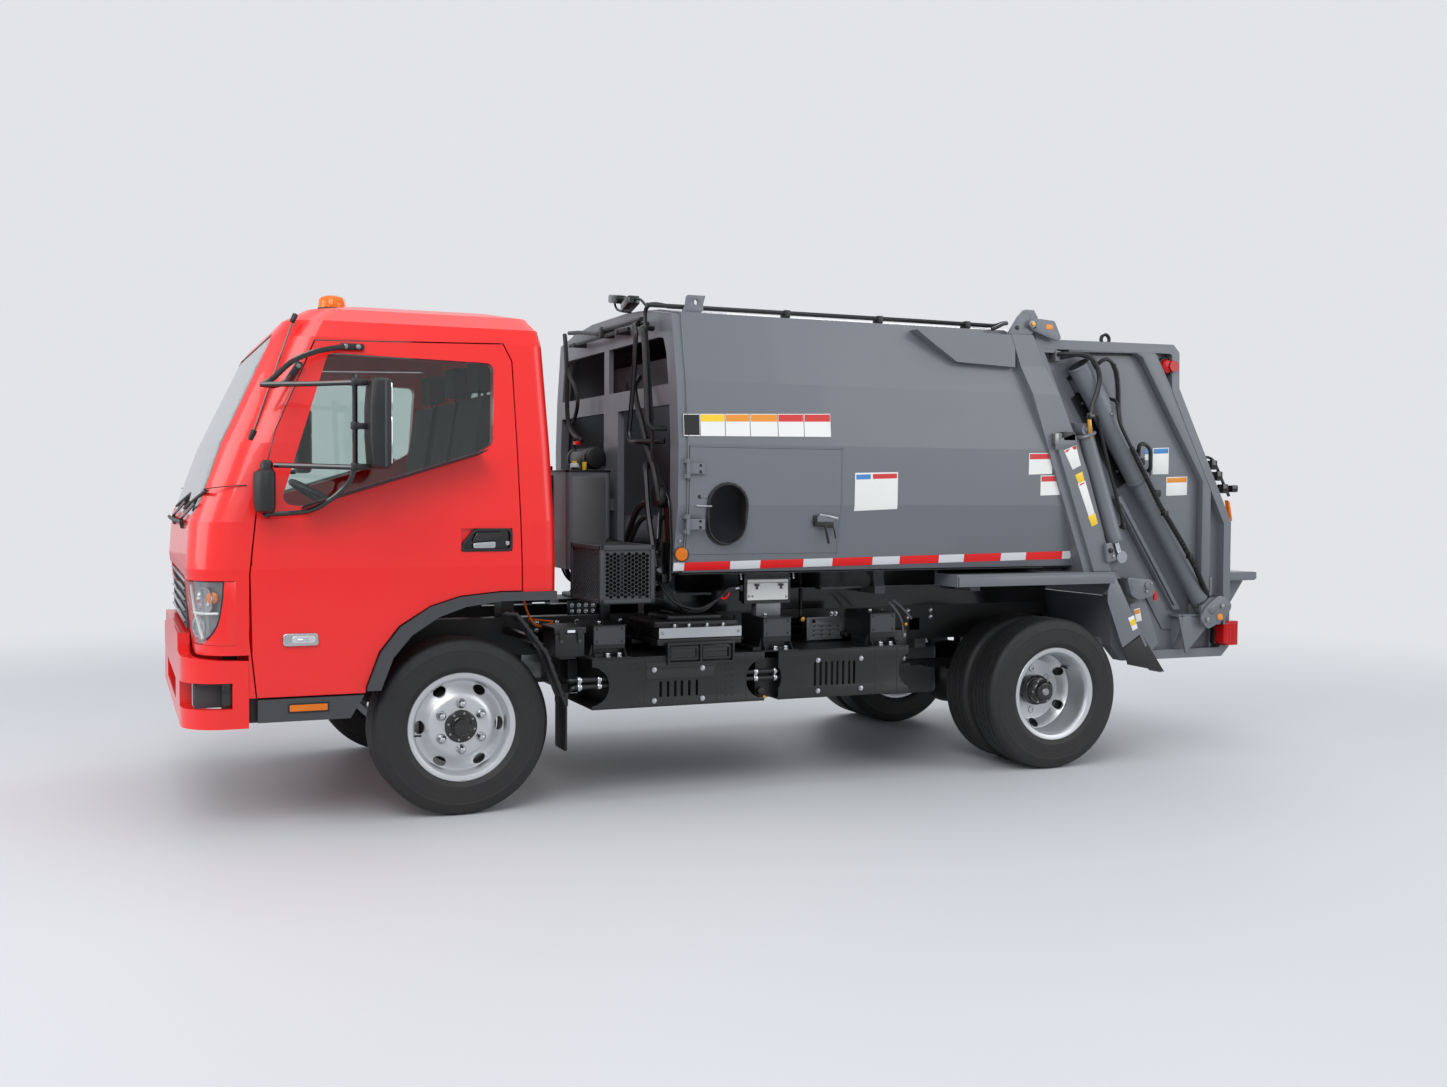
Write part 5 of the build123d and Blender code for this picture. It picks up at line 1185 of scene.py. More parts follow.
# dark plates close the view under the floor and between the packs, and a thin dark sheet lies along the
# body's sloping underside: painted shade where these places lie in shadow, the underside's own paint being
# body grey
frameSide += [
    (boxPart((-1.74, 0.3855, 0.8), (0.636, 0.3875, 0.93), 0.0), glossBlack),
    (boxPart((0.14, 0.42, 0.432), (0.26, 0.88, 0.62), 0.004), blackPlastic),
    (outlinePart([(0.968, 1.0285), (0.902, 1.0235), (0.56, 0.9245), (0.56, 0.9215), (0.903, 1.02),
        (0.97, 1.0255)], -1.3, 0.684, "yz"), glossBlack)]
holed = [(-0.15, 0.774), (-0.386, 0.777), (-0.351, 0.663), (-0.151, 0.659)]
small = [arcPoints(x, z, 0.0045, 0, 315, 7) for x in (-0.19, -0.236, -0.282, -0.328) for z in (0.728, 0.706,
    0.684)]
frameSide.append((outlinePart(holed, 0.598, 0.602, bevel=0.0008,
    holes=small[:11] + [arcPoints(-0.19, 0.754, 0.01, 0, 330, 11)]), motorGrey))
for x in (-0.385, -0.18):
    frameSide.append((boxPart((x, 0.386, 0.7), (x + 0.015, 0.6, 0.72), 0.002), framePaint))
frameSide += [
    (outlinePart([(-0.321, 0.898), (-1.316, 0.919), (-1.316, 0.931), (-0.321, 0.912)], 0.386, 0.42,
        bevel=0.001), motorGrey),
    (outlinePart([(-0.577, 0.922), (-0.788, 1.004), (-0.788, 1.012), (-0.57, 0.93)], 0.5, 0.506,
        bevel=0.001), motorGrey),
    (outlinePart([(0.636, 0.905), (0.3, 0.9), (0.3, 0.888), (0.636, 0.888)], 0.386, 0.44, bevel=0.001),
        motorGrey)]
railBolts = [(x, 0.3855, z) for x in (-0.4, -0.425) for z in (0.64, 0.68, 0.72, 0.77)]
railBolts += [(x, 0.3855, z) for x in (1.18, 1.08, 0.98, 0.76, 0.64, 0.32, 0.26, -0.62, -0.7, -0.86, -1.0)
    for z in (0.77, 0.735)]
railBolts += [(x, 0.3855, 0.66) for x in (1.13, 0.7, 0.18, -0.28, -0.56, -0.76, -1.64)]
frameSide += [
    (boltRow(railBolts, 0.01, 0.009), brightSteel),
    (boxPart((0.885, 0.386, 0.805), (1.03, 0.402, 0.872), 0.003), framePaint),
    (boltRow([(x, 0.402, z) for x in (0.905, 0.94, 0.975, 1.01) for z in (0.823, 0.852)], 0.008, 0.007),
        brightSteel)]
# sprung hose beside the upright box
coil = []
for k in range(0, 96):
    a = 2 * pi * k / 8
    coil.append((-0.115 + 0.011 * cos(a), 0.6 + 0.011 * sin(a), 0.917 - 0.1 * k / 95))
frameSide += [
    (tubePart(coil, 0.0028, hose=True, sides=6), framePaint),
    (tubePart([(-0.115, 0.6, 0.93), (-0.115, 0.6, 0.8)], 0.0075, 0.01), hoseRubber),
    (tubePart([(-0.115, 0.6, 0.805), (-0.118, 0.604, 0.78), (-0.118, 0.56, 0.76), (-0.118, 0.39, 0.75)],
        0.009, 0.02), hoseRubber),
    (rodPart((-0.118, 0.608, 0.768), (-0.118, 0.624, 0.768), 0.012, 16, 0.002), goldSteel)]
# cables that hang between the cage and the upright box
for shift, depth in ((0.0, 0.0), (0.014, -0.01), (0.03, 0.006)):
    loop = [(0.677 + shift, 0.78, 0.985), (0.655 + shift, 0.8, 0.93), (0.615 + shift, 0.805 + depth, 0.881),
        (0.575, 0.805 + depth, 0.856 + depth), (0.539, 0.805 + depth, 0.846 + depth),
        (0.5, 0.805 + depth, 0.851 + depth), (0.472, 0.805, 0.862 + depth), (0.44, 0.805, 0.884),
        (0.404, 0.8, 0.907), (0.379, 0.798, 0.938), (0.35, 0.795, 0.952 - shift), (0.301, 0.79, 0.945)]
    frameSide.append((tubePart(loop, 0.0075, hose=True, sides=8), hoseRubber))
frameSide += [
    (tubePart([(0.404, 0.806, 0.905), (0.39, 0.808, 0.885), (0.372, 0.806, 0.905), (0.362, 0.804, 0.925)],
        0.0055, hose=True), reflectRed),
    (boxPart((0.286, 0.77, 0.93), (0.306, 0.8, 0.96), 0.003), blackPlastic),
    (rodPart((0.308, 0.792, 0.945), (0.328, 0.792, 0.945), 0.01, 16, 0.002), brightSteel)]
# pale tubes at the rear of the packs
for row in ([(-0.56, 0.7, 0.85), (-0.62, 0.7, 0.8), (-0.655, 0.7, 0.74), (-0.65, 0.69, 0.69)],
        [(-0.59, 0.69, 0.86), (-0.66, 0.69, 0.81), (-0.7, 0.69, 0.76)]):
    frameSide.append((tubePart(row, 0.006, hose=True), motorGrey))
frameSide += [
    (rodPart((-0.655, 0.69, 0.735), (-0.655, 0.715, 0.735), 0.009, 12, 0.002), goldSteel),
    (tubePart([(-0.7, 0.44, 0.56), (-0.64, 0.47, 0.54), (-0.56, 0.52, 0.56)], 0.009, hose=True),
        hoseRubber),
    (boxPart((-0.72, 0.5, 0.52), (-0.6, 0.62, 0.7), 0.008), framePaint),
    (boltRow([(x, 0.62, z) for x in (-0.7, -0.62) for z in (0.55, 0.6, 0.67)], 0.009, 0.008), boltSteel),
    (boxPart((-0.72, 0.386, 0.64), (-0.64, 0.52, 0.66), 0.002), framePaint)]
finishPiece("frameDetails", "chassis", twoSides(frameSide))
orange = [
    tubePart([(1.3, 0.56, 0.93), (1.292, 0.6, 0.86), (1.28, 0.64, 0.8), (1.262, 0.7, 0.775),
        (1.2, 0.72, 0.8)], 0.006, hose=True),
    tubePart([(1.285, 0.62, 0.81), (1.24, 0.68, 0.812), (1.19, 0.7, 0.805)], 0.005, hose=True)]
finishPiece("powerCables", "chassis", [(orange[0], cableOrange), (orange[1], cableOrange)])
print("frame details done")


# ---- load body: plates, strip and side door ----
def sideY(z, lift=0.0006):
    return between(bodySide, z) + lift


def sidePatch(points, material, thick=0.0012, lift=0.0006):
    # a thin plate laid on the body's folded side
    obj = outlinePart(points, 0.0, thick)
    foldLines(obj, [z for z, y in bodySide[2:-1]])
    for vertex in obj.data.vertices:
        vertex.co.y += sideY(vertex.co.z, lift)
    return obj, material


def leanBox(x0, x1, a, b):
    # a box whose top and bottom follow two sloping lines, each given at both ends
    return [(x0, a[0]), (x1, a[1]), (x1, b[1]), (x0, b[0])]


stripCuts = [0.686, 0.633, 0.404, 0.25, 0.026, -0.129, -0.347, -0.498, -0.72, -0.865, -1.084, -1.235,
    -1.458, -1.512]
stripParts = []
for k, (x0, x1) in enumerate(zip(stripCuts, stripCuts[1:])):
    low = [1.038 + 0.027 * (0.686 - x) / 2.2 for x in (x0, x1)]
    high = [1.076 + 0.029 * (0.686 - x) / 2.2 for x in (x0, x1)]
    stripParts.append(sidePatch(leanBox(x0 - 0.0004, x1 + 0.0004, low, high),
        reflectWhite if k % 2 == 0 else reflectRed))
finishPiece("reflectiveStrips", "chassis", twoSides(stripParts))

plates = []
rowCuts = [0.663, 0.58, 0.456, 0.331, 0.189, 0.054, -0.088]
rowHeads = [glossBlack, plateYellow, plateOrange, plateOrange, plateRed, plateRed]


def rowEdge(x, part):
    # height on the row of plates, part 0 at the bottom and 1 at the top
    t = (0.663 - x) / 0.751
    return 1.652 + 0.01 * t + (0.099 + 0.01 * t) * part


for x0, x1, head in zip(rowCuts, rowCuts[1:], rowHeads):
    x0, x1 = x0 - 0.002, x1 + 0.002
    plates.append(sidePatch(leanBox(x0, x1, [rowEdge(x, 0) for x in (x0, x1)],
        [rowEdge(x, 1) for x in (x0, x1)]), whitePlate, 0.001))
    share = 0.04 if head is glossBlack else 0.66
    plates.append(sidePatch(leanBox(x0 - 0.002, x1 + 0.002, [rowEdge(x, share) for x in (x0, x1)],
        [rowEdge(x, 0.97) for x in (x0, x1)]), head, 0.0006, 0.0017))
for outline, heads in (([(-0.216, 1.312), (-0.45, 1.322), (-0.45, 1.5), (-0.216, 1.494)],
        [([(-0.222, 1.462), (-0.3, 1.465), (-0.3, 1.488), (-0.222, 1.485)], plateBlue),
        ([(-0.312, 1.466), (-0.444, 1.47), (-0.444, 1.493), (-0.312, 1.489)], plateRed)]),
        ([(-1.206, 1.495), (-1.347, 1.5), (-1.347, 1.606), (-1.206, 1.603)],
        [([(-1.21, 1.572), (-1.343, 1.575), (-1.343, 1.602), (-1.21, 1.599)], plateRed)]),
        ([(-1.279, 1.39), (-1.396, 1.394), (-1.396, 1.494), (-1.279, 1.491)],
        [([(-1.283, 1.46), (-1.392, 1.463), (-1.392, 1.49), (-1.283, 1.487)], plateRed)])):
    plates.append(sidePatch(outline, whitePlate, 0.001))
    for points, head in heads:
        plates.append(sidePatch(points, head, 0.0006, 0.0017))
plates += [
    (turnedPart([(0.0, 0.006), (0.02, 0.0055), (0.029, 0.004), (0.032, 0.0), (0.032, -0.01), (0.0, -0.01)],
        (0.65, sideY(1.115) + 0.001, 1.115), steps=28), amberLens),
    (turnedPart([(0.032, 0.003), (0.035, 0.003), (0.035, -0.01), (0.032, -0.01), (0.032, 0.003)],
        (0.65, sideY(1.115) + 0.001, 1.115), steps=28), trimPlastic)]
# the folded front edge and fine panel joints
edgeLine = [(sideY(z, -0.002), z) for z in (1.032, 1.158, 1.34, 1.62, 1.904, 2.042, 2.218)]
plates += [
    (tubePart([(0.6385, y, z) for y, z in edgeLine], 0.0042, 0.02, 8), bodyPaint),
    (boltRow([(0.662, sideY(z) - 0.004, z) for z in (1.08, 1.175)], 0.006, 0.004), boltSteel)]
# narrow strips that close most of the gap round the side door
for x0, x1, z0, z1 in ((-0.15, -0.1435, 1.105, 1.61), (-0.15, 0.632, 1.105, 1.1115),
        (-0.15, 0.632, 1.6035, 1.61)):
    plates.append(sidePatch(rectLoop(x0, x1, z0, z1), bodyPaint, 0.003, -0.004))
finishPiece("bodyPlates", "chassis", twoSides(plates))
print("body plates done")


# ---- side door furniture: rubber ring, hinges, latch ----
def slotLoop(cx, cz, halfWide, halfHigh, steps=10):
    r = halfWide
    return arcPoints(cx, cz + halfHigh - r, r, 0, 180, steps) + arcPoints(cx, cz - halfHigh + r, r, 180,
        360, steps)


rubber = outlinePart(slotLoop(0.443, 1.2985, 0.104, 0.1465), 0.0, 0.01, bevel=0.003,
    holes=[slotLoop(0.443, 1.2985, 0.0905, 0.133)])
for vertex in rubber.data.vertices:
    vertex.co.y += sideY(vertex.co.z, -0.001)
sleeve = outlinePart(slotLoop(0.443, 1.2985, 0.0965, 0.139), 0.925, 0.966,
    holes=[slotLoop(0.443, 1.2985, 0.09, 0.1325)])
doorParts = [(rubber, hoseRubber), (sleeve, hoseRubber)]
hingeFace = 0.984
for level, root in ((1.505, 0.95), (1.253, 0.935)):
    hinge = roundLoop(rectLoop(0.571, 0.626, level - 0.024, level + 0.024), 0.006)
    doorParts += [
        (outlinePart(hinge, root, hingeFace, bevel=0.002), bodyPaint),
        (boltRow([(0.584, hingeFace, level + dz) for dz in (-0.014, 0.014)], 0.0055, 0.003), framePaint)]
boltLevel, pullLevel = 1.378, 1.335
boltFace, pullFace = sideY(boltLevel), sideY(pullLevel)
for x in (0.582, 0.536):
    doorParts.append((boltRow([(x, boltFace - 0.001, boltLevel)], 0.0075, 0.004), glossBlack))
doorParts += [
    (boxPart((0.532, boltFace - 0.001, 1.372), (0.588, boltFace + 0.002, 1.384), 0.001), motorGrey),
    (tubePart([(0.52, pullFace - 0.002, pullLevel), (0.524, pullFace + 0.006, pullLevel),
        (0.596, pullFace + 0.006, 1.337), (0.6, pullFace - 0.002, 1.337)], 0.0038, 0.006), brightSteel)]
y0 = sideY(1.27)
doorParts += [
    (outlinePart([(-0.004, 1.262), (-0.004, 1.24), (-0.06, 1.236), (-0.104, 1.232), (-0.104, 1.262)],
        y0 - 0.004, y0 + 0.02, bevel=0.003), blackPlastic),
    (outlinePart([(-0.002, 1.292), (-0.002, 1.262), (-0.112, 1.258), (-0.112, 1.28), (-0.06, 1.29)],
        y0 - 0.004, y0 + 0.012, bevel=0.003), glossBlack),
    (tubePart([(-0.03, y0 + 0.012, 1.296), (-0.075, y0 + 0.018, 1.289), (-0.126, y0 + 0.014, 1.277)],
        0.0055, 0.01), brightSteel),
    (tubePart([(-0.056, y0 + 0.014, 1.262), (-0.064, y0 + 0.018, 1.215), (-0.082, y0 + 0.01, 1.16)], 0.0065,
        0.01), blackPlastic),
    (tubePart([(-0.1, y0 + 0.01, 1.25), (-0.112, y0 + 0.012, 1.215), (-0.12, y0 + 0.006, 1.182)], 0.0035,
        0.01), blackPlastic)]
finishPiece("sideDoorFurniture", "side_door", doorParts)
print("side door done")

# ---- bulkhead: pipes, hoses, rails and work lamps ----
pipes = []


def turnedBox(low, high, bevel, angle, axis):
    # a box turned about its own middle
    obj = boxPart(low, high, bevel)
    middle = (Vector(low) + Vector(high)) / 2
    obj.data.transform(Matrix.Translation(middle) @ Matrix.Rotation(angle, 4,
        axis) @ Matrix.Translation(-middle))
    return obj


def ahead3(x, rows):
    return [(x, y, z) for y, z in rows]


pipes += [
    (tubePart(ahead3(0.75, [(-0.491, 2.25), (-0.306, 2.236), (0.002, 2.198), (0.085, 2.212), (0.34, 2.207),
        (0.457, 2.206), (0.65, 2.206)]), 0.0115, 0.04), framePaint),
    (tubePart(ahead3(0.745, [(-0.49, 2.18), (0.039, 2.18), (0.457, 2.18)]), 0.0095, 0.04), framePaint),
    (boxPart((0.69, 0.06, 2.17), (0.765, 0.09, 2.225), 0.004), framePaint)]
for y in (-0.4, 0.3):
    pipes.append((boxPart((0.684, y - 0.012, 2.165), (0.758, y + 0.012, 2.19), 0.003), framePaint))
pipes += [
    (tubePart([(0.7, 0.606, 2.189), (0.78, 0.618, 2.185), (0.78, 0.654, 2.15), (0.78, 0.64, 2.0),
        (0.78, 0.61, 1.861), (0.78, 0.56, 1.668), (0.78, 0.6, 1.632), (0.78, 0.7, 1.63),
        (0.69, 0.8, 1.632)], 0.0125, 0.035, 12), framePaint),
    (tubePart([(0.7, 0.67, 2.161), (0.77, 0.7, 2.161), (0.78, 0.74, 2.145), (0.78, 0.772, 2.088),
        (0.78, 0.806, 1.797), (0.78, 0.816, 1.71), (0.76, 0.82, 1.69), (0.69, 0.822, 1.69)], 0.0125, 0.035,
        12), framePaint),
    (tubePart([(0.7, 0.85, 2.246), (0.74, 0.79, 2.262), (0.758, 0.73, 2.257), (0.758, 0.714, 2.2),
        (0.758, 0.748, 2.065), (0.758, 0.8, 1.798), (0.75, 0.8, 1.6), (0.74, 0.78, 1.5)], 0.0105, 0.03),
        framePaint),
    (tubePart([(0.8, 0.85, 2.246), (0.2, 0.858, 2.245), (-0.6, 0.858, 2.245), (-1.07, 0.858, 2.243),
        (-1.12, 0.85, 2.262), (-1.15, 0.84, 2.262)], 0.011, 0.03), framePaint),
    (tubePart([(0.69, 0.825, 2.246), (0.2, 0.832, 2.246), (-0.6, 0.832, 2.246), (-1.06, 0.832, 2.244),
        (-1.13, 0.826, 2.254)], 0.0095, 0.03), framePaint)]
for x in (0.6, 0.1, -0.4, -0.9):
    pipes.append((boxPart((x - 0.015, 0.82, 2.222), (x + 0.015, 0.872, 2.258), 0.003), framePaint))
# hoses on the far side
pipes += [
    (tubePart(ahead3(0.756, [(-0.554, 2.25), (-0.536, 2.19), (-0.521, 2.103), (-0.51, 2.015), (-0.508, 1.9),
        (-0.506, 1.804), (-0.47, 1.745), (-0.404, 1.707), (-0.32, 1.68), (-0.242, 1.659)]), 0.0125,
        hose=True), hoseRubber),
    (tubePart(ahead3(0.748, [(-0.514, 2.06), (-0.5, 2.015), (-0.43, 1.985), (-0.364, 1.932), (-0.338, 1.88),
        (-0.35, 1.83), (-0.39, 1.79), (-0.43, 1.765)]), 0.011, hose=True), hoseRubber),
    (tubePart([(0.69, 0.47, 1.95), (0.73, 0.5, 1.92), (0.745, 0.53, 1.878), (0.748, 0.627, 1.754),
        (0.746, 0.67, 1.69), (0.744, 0.707, 1.617), (0.744, 0.76, 1.56), (0.744, 0.815, 1.503),
        (0.744, 0.842, 1.44), (0.73, 0.842, 1.36)], 0.014, hose=True), hoseRubber)]
for rows, radius in (([(0.66, 0.6, 1.5), (0.72, 0.64, 1.54), (0.745, 0.69, 1.52), (0.75, 0.72, 1.44),
        (0.75, 0.742, 1.3), (0.745, 0.79, 1.17), (0.745, 0.84, 1.05)], 0.0135),
        ([(0.69, 0.33, 1.15), (0.73, 0.38, 1.16), (0.742, 0.46, 1.2), (0.742, 0.54, 1.29),
        (0.742, 0.62, 1.34), (0.735, 0.7, 1.35)], 0.015),
        ([(0.69, 0.29, 1.12), (0.735, 0.35, 1.12), (0.75, 0.48, 1.13), (0.748, 0.57, 1.23),
        (0.742, 0.66, 1.29), (0.732, 0.74, 1.28)], 0.013)):
    pipes.append((tubePart(rows, radius, hose=True), hoseRubber))
pipes += [
    (rodPart((0.735, 0.14, 1.14), (0.735, 0.56, 1.11), 0.028, 20, 0.004), framePaint),
    (rodPart((0.74, -0.385, 1.57), (0.74, -0.05, 1.57), 0.055, 28, 0.008), framePaint)]
for y in (-0.36, -0.08):
    pipes.append((rodPart((0.74, y - 0.01, 1.57), (0.74, y + 0.01, 1.57), 0.06, 28, 0.003), framePaint))
pipes += [
    (rodPart((0.79, -0.24, 1.5), (0.79, -0.24, 1.545), 0.03, 20, 0.006), whitePlate),
    (rodPart((0.79, -0.24, 1.545), (0.79, -0.24, 1.556), 0.022, 20, 0.003), plateYellow),
    (rodPart((0.8, -0.06, 1.5), (0.8, -0.06, 1.548), 0.012, 16, 0.002), plateYellow),
    (tubePart([(0.77, -0.3, 1.6), (0.79, -0.33, 1.65), (0.78, -0.3, 1.7), (0.76, -0.242, 1.659)], 0.008,
        hose=True), hoseRubber),
    (boxPart((0.764, -0.29, 1.64), (0.79, -0.24, 1.66), 0.003), reflectRed)]
# fittings that close the corner at the left; the gloss-black panel is painted shade on the front-facing
# post, whose own paint is body grey
pipes += [
    (outlinePart(roundLoop([(0.7, 0.98), (0.895, 0.98), (0.905, 1.18), (0.88, 1.36), (0.82, 1.42),
        (0.76, 1.4), (0.73, 1.2)], 0.03), 0.69, 0.7, "yz", 0.003), glossBlack),
    (rodPart((0.7, 0.8, 1.38), (0.735, 0.8, 1.38), 0.055, 24, 0.006), framePaint)]
# crossbar below and the ribs inside the upper opening
pipes += [
    (boxPart((0.69, -0.56, 0.985), (0.722, 0.86, 1.02), 0.004), framePaint),
    (boxPart((0.69, -0.56, 1.05), (0.712, 0.7, 1.072), 0.004), framePaint)]
# lifting ear and work lamps
pipes.append((outlinePart(roundLoop([(0.53, 2.225), (0.532, 2.3), (0.612, 2.3), (0.622, 2.225)], 0.012),
    0.858, 0.874, bevel=0.0015, holes=[arcPoints(0.572, 2.268, 0.015, 0, 345, 23)]), bodyPaint))
for points, foot, aim in (([(0.73, 0.205, 2.335), (0.73, 0.225, 2.3), (0.72, 0.29, 2.282),
        (0.69, 0.33, 2.276)], (0.262, 2.345), -8),
        ([(0.73, 0.47, 2.298), (0.728, 0.5, 2.318), (0.722, 0.556, 2.312), (0.7, 0.59, 2.27)],
        (0.445, 2.302), 14)):
    pipes.append((tubePart(points, 0.0065, 0.02), glossBlack))
    y, z = foot
    pipes.append((turnedBox((0.705, y - 0.062, z - 0.022), (0.765, y + 0.062, z + 0.02), 0.008,
        radians(aim), "X"), glossBlack))
finishPiece("bodyFittings", "chassis", pipes, stands=["body_fittings"])
tankParts = [
    (outlinePart(roundLoop([(-0.48, 1.03), (-0.08, 1.03), (-0.08, 1.48), (-0.48, 1.48)], 0.012), 0.96,
        0.9625, "yz", 0.001), framePaint),
    (outlinePart(roundLoop(rectLoop(0.76, 0.935, 1.06, 1.472), 0.015), 0.1605, 0.1635, bevel=0.001),
        motorGrey),
    (outlinePart(roundLoop([(-0.43, 1.06), (-0.2, 1.06), (-0.2, 1.472), (-0.43, 1.472)], 0.015), 0.9625,
        0.966, "yz", 0.001), chromeRod),
    (outlinePart(roundLoop([(0.725, -0.505), (0.965, -0.505), (0.965, 0.165), (0.725, 0.165)], 0.03), 1.494,
        1.504, "xy", 0.002), framePaint),
    (rodPart((0.8, -0.15, 1.502), (0.8, -0.15, 1.522), 0.045, 24, 0.004), blackPlastic),
    (rodPart((0.9, -0.4, 1.502), (0.9, -0.4, 1.53), 0.03, 20, 0.004), blackPlastic)]
finishPiece("tankPanels", "chassis", tankParts)
print("bulkhead done")

# ---- tailgate ----
gateSide = []


def flat(points, start, end, material, bevel=0.0012, holes=(), target=None):
    (gateSide if target is None else target).append((outlinePart(points, start, end, bevel=bevel,
        holes=holes), material))


def gateTube(rows, radius, material=None, bend=0.03, hose=True, sides=10, target=None):
    (gateSide if target is None else target).append((tubePart(rows, radius, bend, sides, hose=hose),
        material or hoseRubber))


# raised channel round the panel
outerLine = [(-1.47, 2.176), (-1.985, 2.182), (-2.052, 2.15), (-2.443, 1.49), (-2.443, 0.99),
    (-2.443, 0.845)]
innerLine = [(-1.498, 2.128), (-1.928, 2.14), (-1.966, 2.12), (-2.385, 1.472), (-2.385, 0.85)]
flat(outerLine + innerLine[::-1], 0.85, 0.898, bodyPaint, 0.003)
# a dark strip on the panel just under the channel's top edge: painted shade under the ledge
flat([(-1.505, 2.126), (-1.925, 2.137), (-1.925, 2.129), (-1.505, 2.118)], 0.8505, 0.86, framePaint, 0.001)
# lower plates and gussets
flat([(-2.09, 0.944), (-2.295, 0.759), (-2.322, 0.673), (-2.159, 0.673), (-2.04, 0.86)], 0.85, 0.86,
    bodyPaint, 0.002)
flat([(-2.196, 0.755), (-2.347, 0.736), (-2.38, 0.675), (-2.25, 0.55)], 0.93, 0.944, bodyPaint, 0.002)
gateSide += [
    (outlinePart([(0.85, 0.552), (0.944, 0.7), (0.944, 0.752), (0.85, 0.752)], -2.226, -2.216, "yz", 0.001),
        bodyPaint),
    (outlinePart([(0.85, 0.745), (0.944, 0.745), (0.944, 0.757), (0.85, 0.757)], -2.345, -2.196, "yz",
        0.001), bodyPaint)]
flat([(-2.345, 0.52), (-2.345, 0.745), (-2.362, 0.745), (-2.362, 0.52)], 0.85, 0.866, bodyPaint, 0.002)
flat([(-2.47, 0.52), (-2.47, 0.95), (-2.486, 0.95), (-2.486, 0.52)], 0.85, 0.872, bodyPaint, 0.002)
# slanted channel beside the packer cylinder
packTop, packLow = Vector((-1.535, 0.925, 2.06)), Vector((-2.382, 0.925, 0.787))


def besideTrack(along, across):
    # a place given down the packer cylinder's line and off it towards the rear
    return (packTop.x + trackDown.x * along + trackDown.z * across,
        packTop.z + trackDown.z * along - trackDown.x * across)


flat([besideTrack(t, c) for t, c in ((0.725, -0.15), (0.725, -0.112), (1.46, -0.112), (1.44, -0.15))], 0.85,
    0.894, bodyPaint, 0.003)
flat([besideTrack(t, c) for t, c in ((0.76, -0.146), (0.76, -0.134), (1.42, -0.134), (1.41, -0.146))],
    0.894, 0.8955, framePaint, 0.0005)
# cylinder foot bracket, its bolts and marker
bracket = roundLoop([(-2.305, 0.735), (-2.345, 0.8), (-2.43, 0.858), (-2.475, 0.85), (-2.52, 0.808),
    (-2.512, 0.775), (-2.462, 0.722), (-2.358, 0.676)], 0.022)
flat(bracket, 0.974, 0.988, bodyPaint, 0.003)
gateSide += [
    (boltRow([(-2.382, 0.988, 0.79), (-2.451, 0.988, 0.8), (-2.351, 0.988, 0.73)], 0.013, 0.01), boltSteel),
    (turnedPart([(0.0, 0.012), (0.014, 0.011), (0.018, 0.006), (0.018, 0.0), (0.0, 0.0)],
        (-2.436, 0.988, 0.742), steps=24), plateOrange),
    (turnedPart([(0.0, 0.016), (0.018, 0.014), (0.026, 0.008), (0.03, 0.0), (0.0, 0.0)],
        (-2.382, 0.985, 0.787), steps=28), bodyPaint)]
flat([(-2.3, 0.838), (-2.405, 0.872), (-2.44, 0.862), (-2.33, 0.792)], 0.9, 0.935, bodyPaint, 0.004)
# round lamp, box lamp and lifting ring
gateSide += [
    (turnedPart([(0.0, 0.03), (0.02, 0.028), (0.034, 0.02), (0.04, 0.008), (0.041, 0.0), (0.0, 0.0)],
        (-2.136, 0.874, 2.08), steps=36), redLens),
    (turnedPart([(0.041, 0.008), (0.047, 0.006), (0.047, -0.022), (0.041, -0.022), (0.041, 0.008)],
        (-2.136, 0.874, 2.08), steps=36), hoseRubber)]
lampBox = outlinePart(roundLoop([(-2.48, 0.595), (-2.572, 0.595), (-2.572, 0.708), (-2.48, 0.708)], 0.01),
    0.9, 0.974, bevel=0.005, round=2)
gateSide.append((lampBox, redLens))
for x in (-2.503, -2.526, -2.549):
    gateSide.append((boxPart((x - 0.0012, 0.9735, 0.604), (x + 0.0012, 0.9755, 0.699), 0.0006), reflectRed))
gateSide.append((boxPart((-2.58, 0.872, 0.588), (-2.474, 0.905, 0.714), 0.004), framePaint))
ringTurns = arcPoints(-1.797, 2.214, 0.026, -50, 230, 20)
gateTube([(x, 0.8, z) for x, z in ringTurns], 0.0095, glossBlack, hose=False, bend=0.004)
gateSide.append((rodPart((-1.797, 0.8, 2.18), (-1.797, 0.8, 2.193), 0.022, 24, 0.002), glossBlack))
# pivot arm, its pin and lubrication point
flat(roundLoop([(-1.2, 2.248), (-1.222, 2.276), (-1.256, 2.283), (-1.37, 2.276), (-1.413, 2.19),
    (-1.39, 2.172), (-1.267, 2.212), (-1.23, 2.224)], 0.012), 0.931, 0.943, bodyPaint, 0.003)
gateSide += [
    (rodPart((-1.225, 0.94, 2.25), (-1.225, 0.96, 2.25), 0.019, 28, 0.003), boltSteel),
    (rodPart((-1.225, 0.958, 2.25), (-1.225, 0.966, 2.25), 0.011, 20, 0.002), goldSteel),
    (boxPart((-1.254, 0.943, 2.232), (-1.23, 0.95, 2.268), 0.002), glossBlack)]
flat([(-1.315, 2.256), (-1.357, 2.254), (-1.357, 2.232), (-1.317, 2.23)], 0.943, 0.9445, plateOrange,
    0.0004)
# seams on the roof's edge
flat([(-1.29, 2.186), (-2.165, 2.194), (-2.165, 2.186), (-1.29, 2.178)], 0.85, 0.856, bodyPaint, 0.001)
